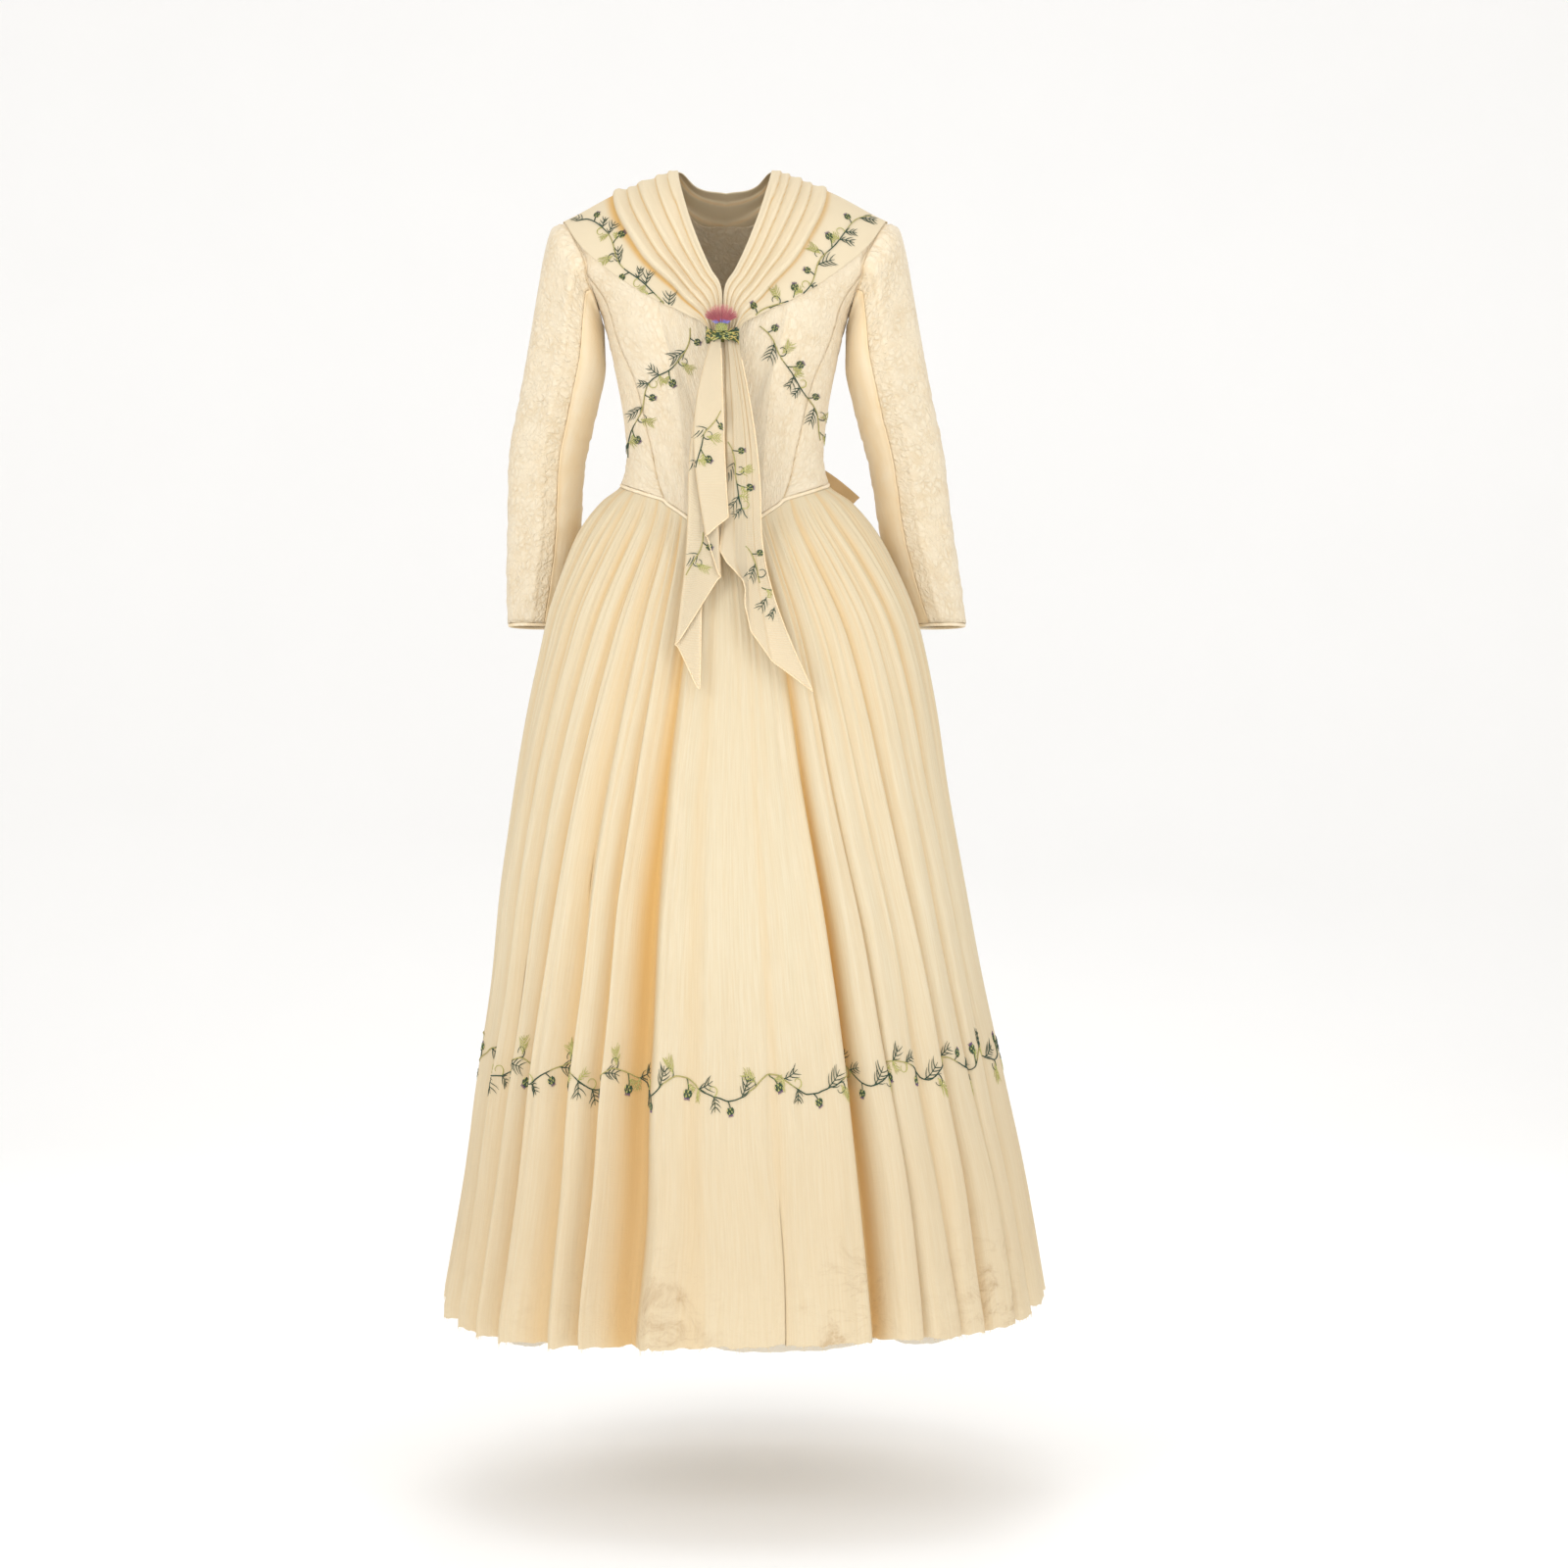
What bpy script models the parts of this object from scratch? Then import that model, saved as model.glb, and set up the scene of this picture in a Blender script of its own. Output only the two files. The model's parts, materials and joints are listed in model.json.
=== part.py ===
# A wedding dress in an 18th-century style, hollow, as it is worn.
# Metres, +Z up. The front faces -Y and the origin is at the neck, level with the shoulder line.
# Every cloth is a wall between an outer and an inner skin, worked out from the sizes below.

import math

import bpy
from mathutils import Vector

# Cloth thicknesses
QUILT_CLOTH = 0.0022
GAUZE_CLOTH = 0.0016
SKIRT_CLOTH = 0.0018
RIBBON_CLOTH = 0.0014
SEAM_HALF_GAP = 0.00016

# The shape that the bodice is cut to, at heights from the hip to the shoulder:
# height, half width, depth to the front, depth to the back
FIGURE = (
    (-0.470, 0.190, 0.122, 0.150),
    (-0.440, 0.160, 0.117, 0.125),
    (-0.400, 0.134, 0.107, 0.103),
    (-0.367, 0.119, 0.099, 0.092),
    (-0.339, 0.1133, 0.095, 0.086),
    (-0.305, 0.115, 0.098, 0.088),
    (-0.270, 0.120, 0.107, 0.094),
    (-0.236, 0.1265, 0.118, 0.101),
    (-0.201, 0.134, 0.125, 0.106),
    (-0.1725, 0.142, 0.124, 0.108),
    (-0.155, 0.152, 0.120, 0.109),
    (-0.120, 0.183, 0.109, 0.107),
    (-0.080, 0.205, 0.097, 0.100),
    (-0.040, 0.215, 0.088, 0.090),
    (0.010, 0.220, 0.080, 0.082),
)
SQUARENESS = 2.3
RIDGE_Y = 0.012
RIDGE_TOP = -0.006
RIDGE_NECK = 0.055
RIDGE_RUN = 0.135
RIDGE_FALL = 0.056
RIDGE_BEND = 1.1
SHOULDER_ROLL = 0.10
SHOULDER_TIP = 0.195

# Edges of the bodice pieces on the right half, each row a place: half breadth, height
SHOULDER_TO_FRONT_SEAM = ((0.170, -0.091), (0.161, -0.109), (0.158, -0.130))
FRONT_SEAM_TO_SIDE = ((0.158, -0.130), (0.1525, -0.1437), (0.146, -0.160))
BACK_SEAM_TO_SIDE = ((0.163, -0.125), (0.1541, -0.146), (0.1440, -0.166))
SHOULDER_TO_BACK_SEAM = ((0.172, -0.095), (0.163, -0.125))
UNDERARM = -0.178
FRONT_SEAM = ((0.068, -0.3925), (0.0775, -0.360), (0.086, -0.320), (0.102, -0.255), (0.127, -0.190),
              (0.158, -0.130))
BACK_SEAM = ((0.072, -0.362), (0.080, -0.320), (0.104, -0.250), (0.135, -0.190), (0.163, -0.125))
BASQUE = ((0.0, -0.4442), (0.022, -0.4300), (0.042, -0.4125), (0.056, -0.4025), (0.068, -0.3925))
WAIST_TO_SIDE = ((0.068, -0.3925), (0.084, -0.3865), (0.100, -0.3800), (0.113, -0.3735))
WAIST_SIDE = -0.3655
WAIST_BACK = ((0.108, -0.3630), (0.072, -0.3620))
WAIST_BACK_MIDDLE = -0.3620
FRONT_NECK = ((0.0, -0.186), (0.030, -0.150), (0.060, -0.080))
FRONT_NECK_TOP = 0.086
BACK_NECK = ((0.0, -0.052), (0.040, -0.044))
BACK_NECK_TOP = 0.078

# Raised crinkle of the quilted cloth
CRINKLE_HEIGHT = 0.0005
CRINKLE_TURNS = 23.0
CRINKLE_RISE = 150.0

# Sleeve on the right side, ring by ring from the armhole to the cuff:
# outer breadth, outer height, inner breadth, inner height, middle in depth, half depth
SLEEVE = (
    (0.1998, -0.078, 0.1440, -0.1830, -0.0020, 0.0560),
    (0.2085, -0.103, 0.1440, -0.1940, 0.0030, 0.0595),
    (0.2158, -0.136, 0.1443, -0.2100, 0.0095, 0.0605),
    (0.2240, -0.178, 0.1453, -0.2340, 0.0195, 0.0590),
    (0.2341, -0.230, 0.1530, -0.2640, 0.0330, 0.0555),
    (0.2440, -0.275, 0.1620, -0.2970, 0.0480, 0.0530),
    (0.2550, -0.322, 0.1722, -0.3340, 0.0630, 0.0512),
    (0.2597, -0.370, 0.1787, -0.3770, 0.0760, 0.0500),
    (0.2638, -0.419, 0.1838, -0.4230, 0.0850, 0.0480),
    (0.2690, -0.473, 0.1960, -0.4750, 0.0910, 0.0445),
    (0.2720, -0.5260, 0.2125, -0.5270, 0.0930, 0.0405),
)
LEAN_FROM = -0.300
LEAN_TO = -0.5275
CUFF_LEAN = 0.0125
LEAN_BEND = 1.5
ARMHOLE_SETTLING = 0.30
CUFF_CORD = 0.0021
CUFF_SIDES = 18
WAIST_CORD = 0.0022

# Skirt, height by height: height, middle, half width, depth to the front, depth to the back
SKIRT = (
    (-0.360, 0.0045, 0.1120, 0.096, 0.088),
    (-0.3736, 0.0048, 0.1237, 0.098, 0.100),
    (-0.3885, 0.0050, 0.1441, 0.100, 0.124),
    (-0.4166, 0.0043, 0.1675, 0.108, 0.158),
    (-0.4519, 0.0058, 0.1861, 0.126, 0.184),
    (-0.5122, 0.0082, 0.2103, 0.158, 0.210),
    (-0.5575, 0.0095, 0.2215, 0.178, 0.222),
    (-0.6332, 0.0092, 0.2364, 0.202, 0.236),
    (-0.7190, 0.0084, 0.2493, 0.224, 0.250),
    (-0.8334, 0.0107, 0.2665, 0.251, 0.268),
    (-0.9477, 0.0150, 0.2813, 0.276, 0.286),
    (-1.0621, 0.0180, 0.3025, 0.301, 0.306),
    (-1.1764, 0.0233, 0.3225, 0.326, 0.326),
    (-1.3080, 0.0244, 0.3454, 0.350, 0.348),
)
SKIRT_SQUARENESS = 2.35
SKIRT_MIDDLE_Y = -0.012
RIM_BLEND = 0.050
SKIRT_ROWS = (0.0, 0.03, 0.08, 0.16, 0.27, 0.42, 0.60, 0.80, 1.0)

# Lower edge of the skirt: turn in degrees from the front, height
HEM = (
    (-180, -1.306), (-120, -1.306), (-90, -1.309), (-72, -1.322), (-50, -1.326), (-25, -1.322),
    (0, -1.316), (30, -1.314), (50, -1.316), (66, -1.308), (90, -1.299), (120, -1.304), (180, -1.306),
)

# Valleys between the skirt's pleats on the front half:
# turn at the waist, turn at the hem, depth at the hem
FRONT_VALLEYS = (
    (-83, -90, 0.020), (-72, -78, 0.024), (-61, -66, 0.020), (-51, -57, 0.024), (-42, -49, 0.020),
    (-34, -40, 0.026), (-26, -32, 0.022), (-18, -24, 0.036),
    (-6, -8, 0.004), (7, 8, 0.004),
    (19, 26, 0.030), (26, 32, 0.034), (34, 41, 0.022), (43, 50, 0.026), (53, 58, 0.024),
    (63, 67, 0.030), (73, 78, 0.022), (84, 89, 0.020),
)
BACK_VALLEYS = 14
BACK_VALLEY_DEPTH = 0.023
WAIST_VALLEY_SHARE = 0.16
PLEAT_BULGE = 0.24
# Seams between the skirt's widths of cloth, in degrees from the middle of the front: the two beside
# the smooth front one, and all others, each in the nearest valley
FRONT_SEAMS = (-24, 26)
LEFT_SEAM = -62
OTHER_SEAMS = (62, 100, 153, 207, 260)
SKIRT_WIDTHS = ("skirt_left_front", "skirt_front", "skirt_right_front", "skirt_right_side",
                "skirt_back_right", "skirt_back_middle", "skirt_back_left", "skirt_left_side")

# Pale layer under the skirt
UNDER_INSET = 0.0042
UNDER_CLEAR = 0.046
UNDER_RIPPLE = 0.003
UNDER_DROP = 0.016
UNDER_COLUMNS = 24
UNDER_SEAMS = (0, 3, 6, 8, 10, 14, 16, 18, 21, 24)
UNDER_ROWS = (0.0, 0.03, 0.08, 0.16, 0.42, 0.70, 1.0)

# Kerchief on the right half: inner edge and outer edge of its front, half breadth and height
KERCHIEF_LIFT = 0.0062
BACK_EXTRA_LIFT = 0.0016
GATHER_LIFT = 0.004
KERCHIEF_INNER = ((0.0012, -0.2078), (0.0012, -0.1640), (0.0140, -0.1360), (0.0300, -0.0980),
                  (0.0430, -0.0600), (0.0520, -0.0250))
KERCHIEF_NECK = 0.056
KERCHIEF_OUTER = ((0.0152, -0.2060), (0.0235, -0.1965), (0.0400, -0.1880), (0.0650, -0.1750),
                  (0.0980, -0.1540), (0.1360, -0.1250), (0.1690, -0.0915))
KERCHIEF_SHOULDER = 0.1895
KERCHIEF_NAPE = ((0.0, -0.0220), (0.036, -0.0160))
KERCHIEF_POINT = ((0.0, -0.300), (0.030, -0.284), (0.075, -0.224), (0.120, -0.160), (0.158, -0.108))
# Valleys between its folds, from the neck edge (0) to the outer edge (1), where the last fold
# ends at the flat border: place at the shoulder, place at the loop, height of the fold that follows
KERCHIEF_VALLEYS = (
    (0.000, 0.00, 0.0060),
    (0.085, 0.16, 0.0085),
    (0.180, 0.33, 0.0080),
    (0.290, 0.50, 0.0095),
    (0.400, 0.67, 0.0120),
    (0.540, 0.86, 0.0000),
    (1.000, 1.00, 0.0000),
)
FOLD_STEPS = ((0.0, 0.0), (0.32, 0.90), (0.70, 0.92))
BORDER_STEPS = 4
KERCHIEF_ROWS = 10
BACK_ROWS = 20

# Loop that gathers the kerchief
LOOP_MIDDLE = (-0.0005, -0.1390, -0.2142)
LOOP_HALF = (0.0190, 0.0108)
LOOP_END_HEIGHT = 0.0085
LOOP_MIDDLE_HEIGHT = 0.0058
LOOP_COLUMNS = 24

# Hanging ends, fold by fold. Each fold is a line down the cloth:
# breadth at the loop, breadth half way, breadth at its foot, height of its foot, place in depth
# (of the layer that follows, for the left end, whose layers lie flat)
TAIL_LEFT = (
    (-0.0022, 0.0002, 0.0034, -0.4190, -0.0025),
    (-0.0122, -0.0325, -0.0205, -0.4400, 0.0012),
    (-0.0030, -0.0065, -0.0012, -0.4865, 0.0049),
    (-0.0135, -0.0390, -0.0520, -0.5640, 0.0086),
    (-0.0060, -0.0230, -0.0238, -0.6140, 0.0123),
)
TAIL_RIGHT = (
    (0.0018, 0.0035, 0.0005, -0.4560, 0.0065),
    (0.0055, 0.0130, 0.0200, -0.4900, 0.0010),
    (0.0092, 0.0260, 0.0330, -0.5500, 0.0000),
    (0.0128, 0.0340, 0.0560, -0.5830, 0.0042),
    (0.0163, 0.0430, 0.1010, -0.6170, 0.0030),
)
TAIL_CLOTH = 0.0011
TAIL_TOP = -0.2165
TAIL_STEPS = 4
TAIL_ROWS = 10
FOLD_ROUNDNESS = 0.11
FOLD_RADIUS = 0.0018
BESIDE_FOLD = 0.04
# Where the foremost fold of the ends hangs: height, depth
TAIL_PATH = ((-0.215, -0.1447), (-0.230, -0.1468), (-0.260, -0.1500), (-0.320, -0.1520), (-0.400, -0.1510),
             (-0.460, -0.1570), (-0.512, -0.1810), (-0.560, -0.2020), (-0.620, -0.2240))

# Thistle above the loop
BULB_MIDDLE = (-0.0012, -0.1555, -0.2054)
BULB_RADII = (0.0068, 0.0046, 0.0052)
TUFT_ROOT = (-0.0012, -0.1555, -0.2004)
TUFT_ROOT_HALF = (0.0078, 0.0030)
TUFT_ROOT_HEIGHT = 0.0030
TUFT_ACROSS = 13
TUFT_DEEP = 2
TUFT_LENGTH = 0.0150
TUFT_SPREAD = 0.98

# Ribbon bow at the back of the waist
BOW_MIDDLE = (0.002, 0.0998, -0.3500)
KNOT_HALF = (0.011, 0.0085, 0.013)
RIBBON_HALF_WIDTH = 0.017
RIBBON_HALF_PINCH = 0.007
BOW_STEPS = 9
BOW_GAP = 0.0004
BOW_FORWARD = 0.35
# Loops: reach, arch, drop of the end, sway towards the front, how far the two layers part
BOW_LOOPS = {
    "right": (0.148, 0.010, 0.030, 0.022, 0.024),
    "left": (-0.094, 0.006, 0.014, -0.012, 0.024),
}
# Ends: breadth of the foot, height of the foot, how far they stand off the skirt
BOW_ENDS = {
    "right": (0.058, -0.640, 0.0150),
    "left": (-0.042, -0.600, 0.0190),
}

# Colours, linear values, with roughness
FINISHES = {
    "quilted cloth": ((0.87, 0.75, 0.56), 0.75),
    "skirt gauze": ((0.84, 0.70, 0.48), 0.85),
    "kerchief gauze": ((0.84, 0.69, 0.46), 0.85),
    "under layer": ((0.84, 0.77, 0.63), 0.85),
    "piping": ((0.86, 0.74, 0.54), 0.70),
    "embroidered loop": ((0.10, 0.15, 0.07), 0.70),
    "thistle green": ((0.20, 0.24, 0.07), 0.70),
    "thistle pink": ((0.58, 0.13, 0.17), 0.75),
    "satin ribbon": ((0.52, 0.36, 0.18), 0.40),
}


def blend_table(rows, column, at):
    """A smooth value from one column of a table whose first column rises."""
    last = len(rows) - 2
    index = 0
    while index < last and at > rows[index + 1][0]:
        index += 1
    low, high = rows[index], rows[index + 1]
    span = high[0] - low[0]
    rise = (high[column] - low[column]) / span
    before = rows[index - 1] if index > 0 else None
    after = rows[index + 2] if index < last else None
    slope_low = (high[column] - before[column]) / (high[0] - before[0]) if before else rise
    slope_high = (after[column] - low[column]) / (after[0] - low[0]) if after else rise
    t = min(max((at - low[0]) / span, 0.0), 1.0)
    return (
        (2 * t ** 3 - 3 * t ** 2 + 1) * low[column]
        + (t ** 3 - 2 * t ** 2 + t) * span * slope_low
        + (3 * t ** 2 - 2 * t ** 3) * high[column]
        + (t ** 3 - t ** 2) * span * slope_high
    )


def blend_falling(rows, column, at):
    """The same for a table whose first column falls."""
    return blend_table(rows[::-1], column, at)


def ease(t):
    """A soft step from 0 to 1."""
    t = min(max(t, 0.0), 1.0)
    return t * t * (3 - 2 * t)


def mix(a, b, t):
    return a + (b - a) * t


def even(share):
    return share


def crowd_end(share):
    return 0.45 * share + 0.55 * (1 - (1 - share) ** 2)


def spline(points, count, spread=even):
    """Places on a smooth line through the given ones, ends included."""
    lengths = [0.0]
    for a, b in zip(points, points[1:]):
        lengths.append(lengths[-1] + math.dist(a, b))
    rows = [(length, *point) for length, point in zip(lengths, points)]
    places = []
    for step in range(count + 1):
        at = lengths[-1] * spread(step / count)
        places.append(tuple(blend_table(rows, axis + 1, at) for axis in range(len(points[0]))))
    places[0] = tuple(points[0])
    places[-1] = tuple(points[-1])
    return places


# The figure that the bodice and the kerchief lie on. A place on it is a turn, from the middle of
# the front, and a drop, the length of cloth from the shoulder ridge.

def ridge_height(breadth):
    out = max(abs(breadth) - RIDGE_NECK, 0.0) / RIDGE_RUN
    return RIDGE_TOP - RIDGE_FALL * out ** RIDGE_BEND


def figure_at(height):
    return [blend_table(FIGURE, column, height) for column in (1, 2, 3)]


def squared(turn, squareness):
    """Breadth and depth of a squared round of unit size at a turn."""
    across, along = math.sin(turn), math.cos(turn)
    size = (abs(across) ** squareness + abs(along) ** squareness) ** (-1 / squareness)
    return across * size, along * size


def place_of(breadth, height, front=True):
    half = figure_at(height)[0]
    share = min(max(breadth / half, -1.0), 1.0)
    depth = (1 - abs(share) ** SQUARENESS) ** (1 / SQUARENESS)
    turn = math.atan2(share, depth if front else -depth)
    if not front and breadth < 0:
        turn += 2 * math.pi
    below = (ridge_height(breadth) - height) / SHOULDER_ROLL
    if below < 1:
        return turn, SHOULDER_ROLL * math.acos(min(1 - below, 1.0))
    return turn, SHOULDER_ROLL * (math.pi / 2 + below - 1)


def on_figure(turn, drop):
    share, depth = squared(turn, SQUARENESS)
    height = -0.1
    for _ in range(14):
        half, front, back = figure_at(height)
        top = ridge_height(half * share)
        bent = drop / SHOULDER_ROLL
        if bent < math.pi / 2:
            height = top - SHOULDER_ROLL * (1 - math.cos(bent))
            roll = math.sin(bent)
        else:
            height = top - SHOULDER_ROLL * (1 + bent - math.pi / 2)
            roll = 1.0
    reach = -front * depth if depth > 0 else -back * depth
    return Vector((half * share, RIDGE_Y * (1 - roll) + reach * roll, height))


def off_figure(turn, drop, lift):
    """A point on the figure, moved outwards by lift."""
    step = 0.004
    across = on_figure(turn + step, drop) - on_figure(turn - step, drop)
    down = on_figure(turn, drop + step) - on_figure(turn, max(drop - step, 0.0))
    normal = down.cross(across).normalized()
    return on_figure(turn, drop) + normal * lift


def ridge_place(breadth, front=True):
    return place_of(breadth, ridge_height(breadth), front)


def side_place(height):
    return place_of(figure_at(height)[0], height)


def places(points, front=True, sign=1):
    return [place_of(sign * breadth, height, front) for breadth, height in points]


def patch(bottom, top, left, right):
    """Places between four edges, row by row from the bottom, each edge a list of places."""
    rows = len(left) - 1
    columns = len(bottom) - 1
    grid = []
    for r in range(rows + 1):
        v = r / rows
        row = []
        for c in range(columns + 1):
            u = c / columns
            place = []
            for axis in (0, 1):
                across = mix(left[r][axis], right[r][axis], u)
                along = mix(bottom[c][axis], top[c][axis], v)
                low = mix(bottom[0][axis], bottom[-1][axis], u)
                high = mix(top[0][axis], top[-1][axis], u)
                place.append(across + along - mix(low, high, v))
            row.append(tuple(place))
        grid.append(row)
    return grid


# Making walls

def new_object(name, vertices, faces, finish):
    mesh = bpy.data.meshes.new(name)
    mesh.from_pydata([tuple(vertex) for vertex in vertices], [], faces)
    mesh.update()
    mesh.shade_smooth()
    mesh.set_sharp_from_angle(angle=math.radians(50))
    mesh.materials.append(bpy.data.materials[finish])
    thing = bpy.data.objects.new(name, mesh)
    bpy.context.scene.collection.objects.link(thing)
    return thing


def loft_ring(name, sections, finish):
    """A closed body through closed sections that come round to the first one again."""
    around = len(sections[0])
    vertices = [point for section in sections for point in section]
    faces = []
    for s in range(len(sections)):
        here = s * around
        there = ((s + 1) % len(sections)) * around
        for k in range(around):
            following = (k + 1) % around
            faces.append((here + k, here + following, there + following, there + k))
    turn_outwards(new_object(name, vertices, faces, finish))


def loft_wall(name, sections, finish):
    """A closed body through sections, each the outline of a wall: out along the outer skin and
    back along the inner one. Both skins are split along the same diagonals."""
    around = len(sections[0])
    half = around // 2
    vertices = [point for section in sections for point in section]
    faces = []
    for s in range(len(sections) - 1):
        here = s * around
        there = here + around
        for k in range(half - 1):
            mate = around - 1 - k
            outer = (here + k, here + k + 1, there + k + 1, there + k)
            inner = (here + mate, here + mate - 1, there + mate - 1, there + mate)
            a, b, c, d = [vertices[i] for i in outer]
            first = (a - c).length < (b - d).length
            faces.extend(halves(outer, first))
            faces.extend(part[::-1] for part in halves(inner, first))
        faces.extend(halves((here + half - 1, here + half, there + half, there + half - 1), True))
        faces.extend(halves((here + around - 1, here, there, there + around - 1), False))
    last = (len(sections) - 1) * around
    for k in range(half - 1):
        mate = around - 1 - k
        faces.extend(halves((k, mate, mate - 1, k + 1), True))
        faces.extend(halves((last + k, last + k + 1, last + mate - 1, last + mate), True))
    turn_outwards(new_object(name, vertices, faces, finish))


def halves(corners, first):
    """Two triangles of a four-cornered face, split along its first or its second diagonal."""
    a, b, c, d = corners
    return [(a, b, c), (a, c, d)] if first else [(a, b, d), (b, c, d)]


def turn_outwards(thing):
    """Faces point out: the enclosed volume is positive."""
    mesh = thing.data
    volume = 0.0
    for face in mesh.polygons:
        corners = [mesh.vertices[i].co for i in face.vertices]
        for k in range(1, len(corners) - 1):
            volume += corners[0].dot(corners[k].cross(corners[k + 1]))
    if volume < 0:
        mesh.flip_normals()


def pulled_in(grid, edges="lrbt"):
    """The grid of points with its named edges moved in by half a seam's gap."""
    rows, columns = len(grid), len(grid[0])
    result = [list(row) for row in grid]
    for r in range(rows):
        if "l" in edges:
            result[r][0] = toward(grid[r][0], grid[r][1])
        if "r" in edges:
            result[r][-1] = toward(grid[r][-1], grid[r][-2])
    source = [list(row) for row in result]
    for c in range(columns):
        if "b" in edges:
            result[0][c] = toward(source[0][c], source[1][c])
        if "t" in edges:
            result[-1][c] = toward(source[-1][c], source[-2][c])
    return result


def toward(point, other):
    return point + (other - point).normalized() * SEAM_HALF_GAP


def wall(name, outer, inner, finish, edges="lrbt"):
    """A wall between two grids of points."""
    outer = pulled_in(outer, edges)
    inner = pulled_in(inner, edges)
    sections = [near + far[::-1] for near, far in zip(outer, inner)]
    loft_wall(name, sections, finish)


def crinkle(point):
    """Low relief of the quilted cloth at a point."""
    turn = math.atan2(point.x, -point.y)
    wave = math.sin(CRINKLE_TURNS * turn + CRINKLE_RISE * 0.6 * point.z)
    return CRINKLE_HEIGHT * wave * math.sin(CRINKLE_RISE * point.z + 3 * turn)


def figure_wall(name, grid, cloth, finish):
    """A quilted wall on the figure: a plain inner skin and an outer one with low relief."""
    inner = [[off_figure(turn, drop, 0.0) for turn, drop in row] for row in grid]
    outer = []
    for row, plain in zip(grid, inner):
        line = []
        for (turn, drop), point in zip(row, plain):
            line.append(off_figure(turn, drop, cloth + crinkle(point)))
        outer.append(line)
    wall(name, outer, inner, finish)


# Bodice

SIDE_ROWS = 8
ARM_ROWS = 5
FRONT_COLUMNS = 16
SIDE_COLUMNS = 10
BACK_PANEL_COLUMNS = 14


def mirrored(line, about_back=False):
    whole = 2 * math.pi if about_back else 0.0
    return [(whole - turn, drop) for turn, drop in line]


def front_seam():
    return spline(places(FRONT_SEAM), SIDE_ROWS)


def back_seam():
    return spline(places(BACK_SEAM, front=False), SIDE_ROWS)


def arm_front_upper():
    return spline([places(SHOULDER_TO_FRONT_SEAM)[-1], *places(SHOULDER_TO_FRONT_SEAM)[-2::-1],
                   ridge_place(SHOULDER_TIP)], ARM_ROWS, crowd_end)


def arm_back_upper():
    return spline([places(SHOULDER_TO_BACK_SEAM, front=False)[-1],
                   places(SHOULDER_TO_BACK_SEAM, front=False)[0],
                   ridge_place(SHOULDER_TIP, front=False)], ARM_ROWS, crowd_end)


def arm_lower():
    side = side_place(UNDERARM)
    back = places(BACK_SEAM_TO_SIDE, front=False)[::-1]
    return spline([*places(FRONT_SEAM_TO_SIDE), side, *back], SIDE_COLUMNS)


def waist_side():
    side = side_place(WAIST_SIDE)
    return spline([*places(WAIST_TO_SIDE), side, *places(WAIST_BACK, front=False)], SIDE_COLUMNS)


def waist_front():
    half = spline(places(BASQUE), FRONT_COLUMNS // 2)
    return mirrored(half)[:0:-1] + half


def waist_back():
    right = places(WAIST_BACK, front=False)[-1]
    middle = (math.pi, place_of(0.0, WAIST_BACK_MIDDLE, front=False)[1])
    half = spline([right, middle], BACK_PANEL_COLUMNS // 2)
    return half + mirrored(half, about_back=True)[-2::-1]


def neck_edge(neck, neck_top, columns, front):
    """Right half of a panel's top: from the middle of the neck up to the ridge and out along it."""
    places_up = places(neck, front)
    if not front:
        places_up[0] = (math.pi, places_up[0][1])
    places_up.append(ridge_place(neck_top, front))
    on_neck = round(columns * 0.6)
    ridge_step = (SHOULDER_TIP - neck_top) / (columns - on_neck)
    ridge = [ridge_place(neck_top + ridge_step * k, front) for k in range(1, columns - on_neck + 1)]
    return spline(places_up, on_neck) + ridge


def make_bodice():
    right = front_seam() + arm_front_upper()[1:]
    half = neck_edge(FRONT_NECK, FRONT_NECK_TOP, FRONT_COLUMNS // 2, True)
    top = mirrored(half)[:0:-1] + half
    grid = patch(waist_front(), top, mirrored(right), right)
    figure_wall("bodice_front", grid, QUILT_CLOTH, "quilted cloth")

    grid = patch(waist_side(), arm_lower(), front_seam(), back_seam())
    figure_wall("bodice_side_right", grid, QUILT_CLOTH, "quilted cloth")
    flipped = [mirrored(row)[::-1] for row in grid]
    figure_wall("bodice_side_left", flipped, QUILT_CLOTH, "quilted cloth")

    left = back_seam() + arm_back_upper()[1:]
    half = neck_edge(BACK_NECK, BACK_NECK_TOP, BACK_PANEL_COLUMNS // 2, False)
    top = half[::-1] + mirrored(half, about_back=True)[1:]
    grid = patch(waist_back(), top, left, mirrored(left, about_back=True))
    middle = BACK_PANEL_COLUMNS // 2
    figure_wall("bodice_back_right", [row[:middle + 1] for row in grid], QUILT_CLOTH, "quilted cloth")
    figure_wall("bodice_back_left", [row[middle:] for row in grid], QUILT_CLOTH, "quilted cloth")


# Sleeves. A turn round the sleeve starts at its outer side and passes the front, inside and back.

FRONT_SEAM_INDEX = 1
BACK_SEAM_INDEX = SIDE_COLUMNS - 1


def armhole_places():
    """Places all round the armhole: under the arm from front to back, then up over the shoulder."""
    back = arm_back_upper()[1:]
    front = arm_front_upper()[::-1][1:-1]
    return arm_lower() + back + front


def lean(height):
    out = max((LEAN_FROM - height) / (LEAN_FROM - LEAN_TO), 0.0)
    return CUFF_LEAN * out ** LEAN_BEND


def sleeve_axes(row, side):
    """Middle of a ring of the sleeve and its reach outwards."""
    outer_x, outer_z, inner_x, inner_z, middle_y, _ = row
    outer = Vector((outer_x + side * lean(outer_z), middle_y, outer_z))
    inner = Vector((inner_x + side * lean(inner_z), middle_y, inner_z))
    return (outer + inner) / 2, (outer - inner) / 2


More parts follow.
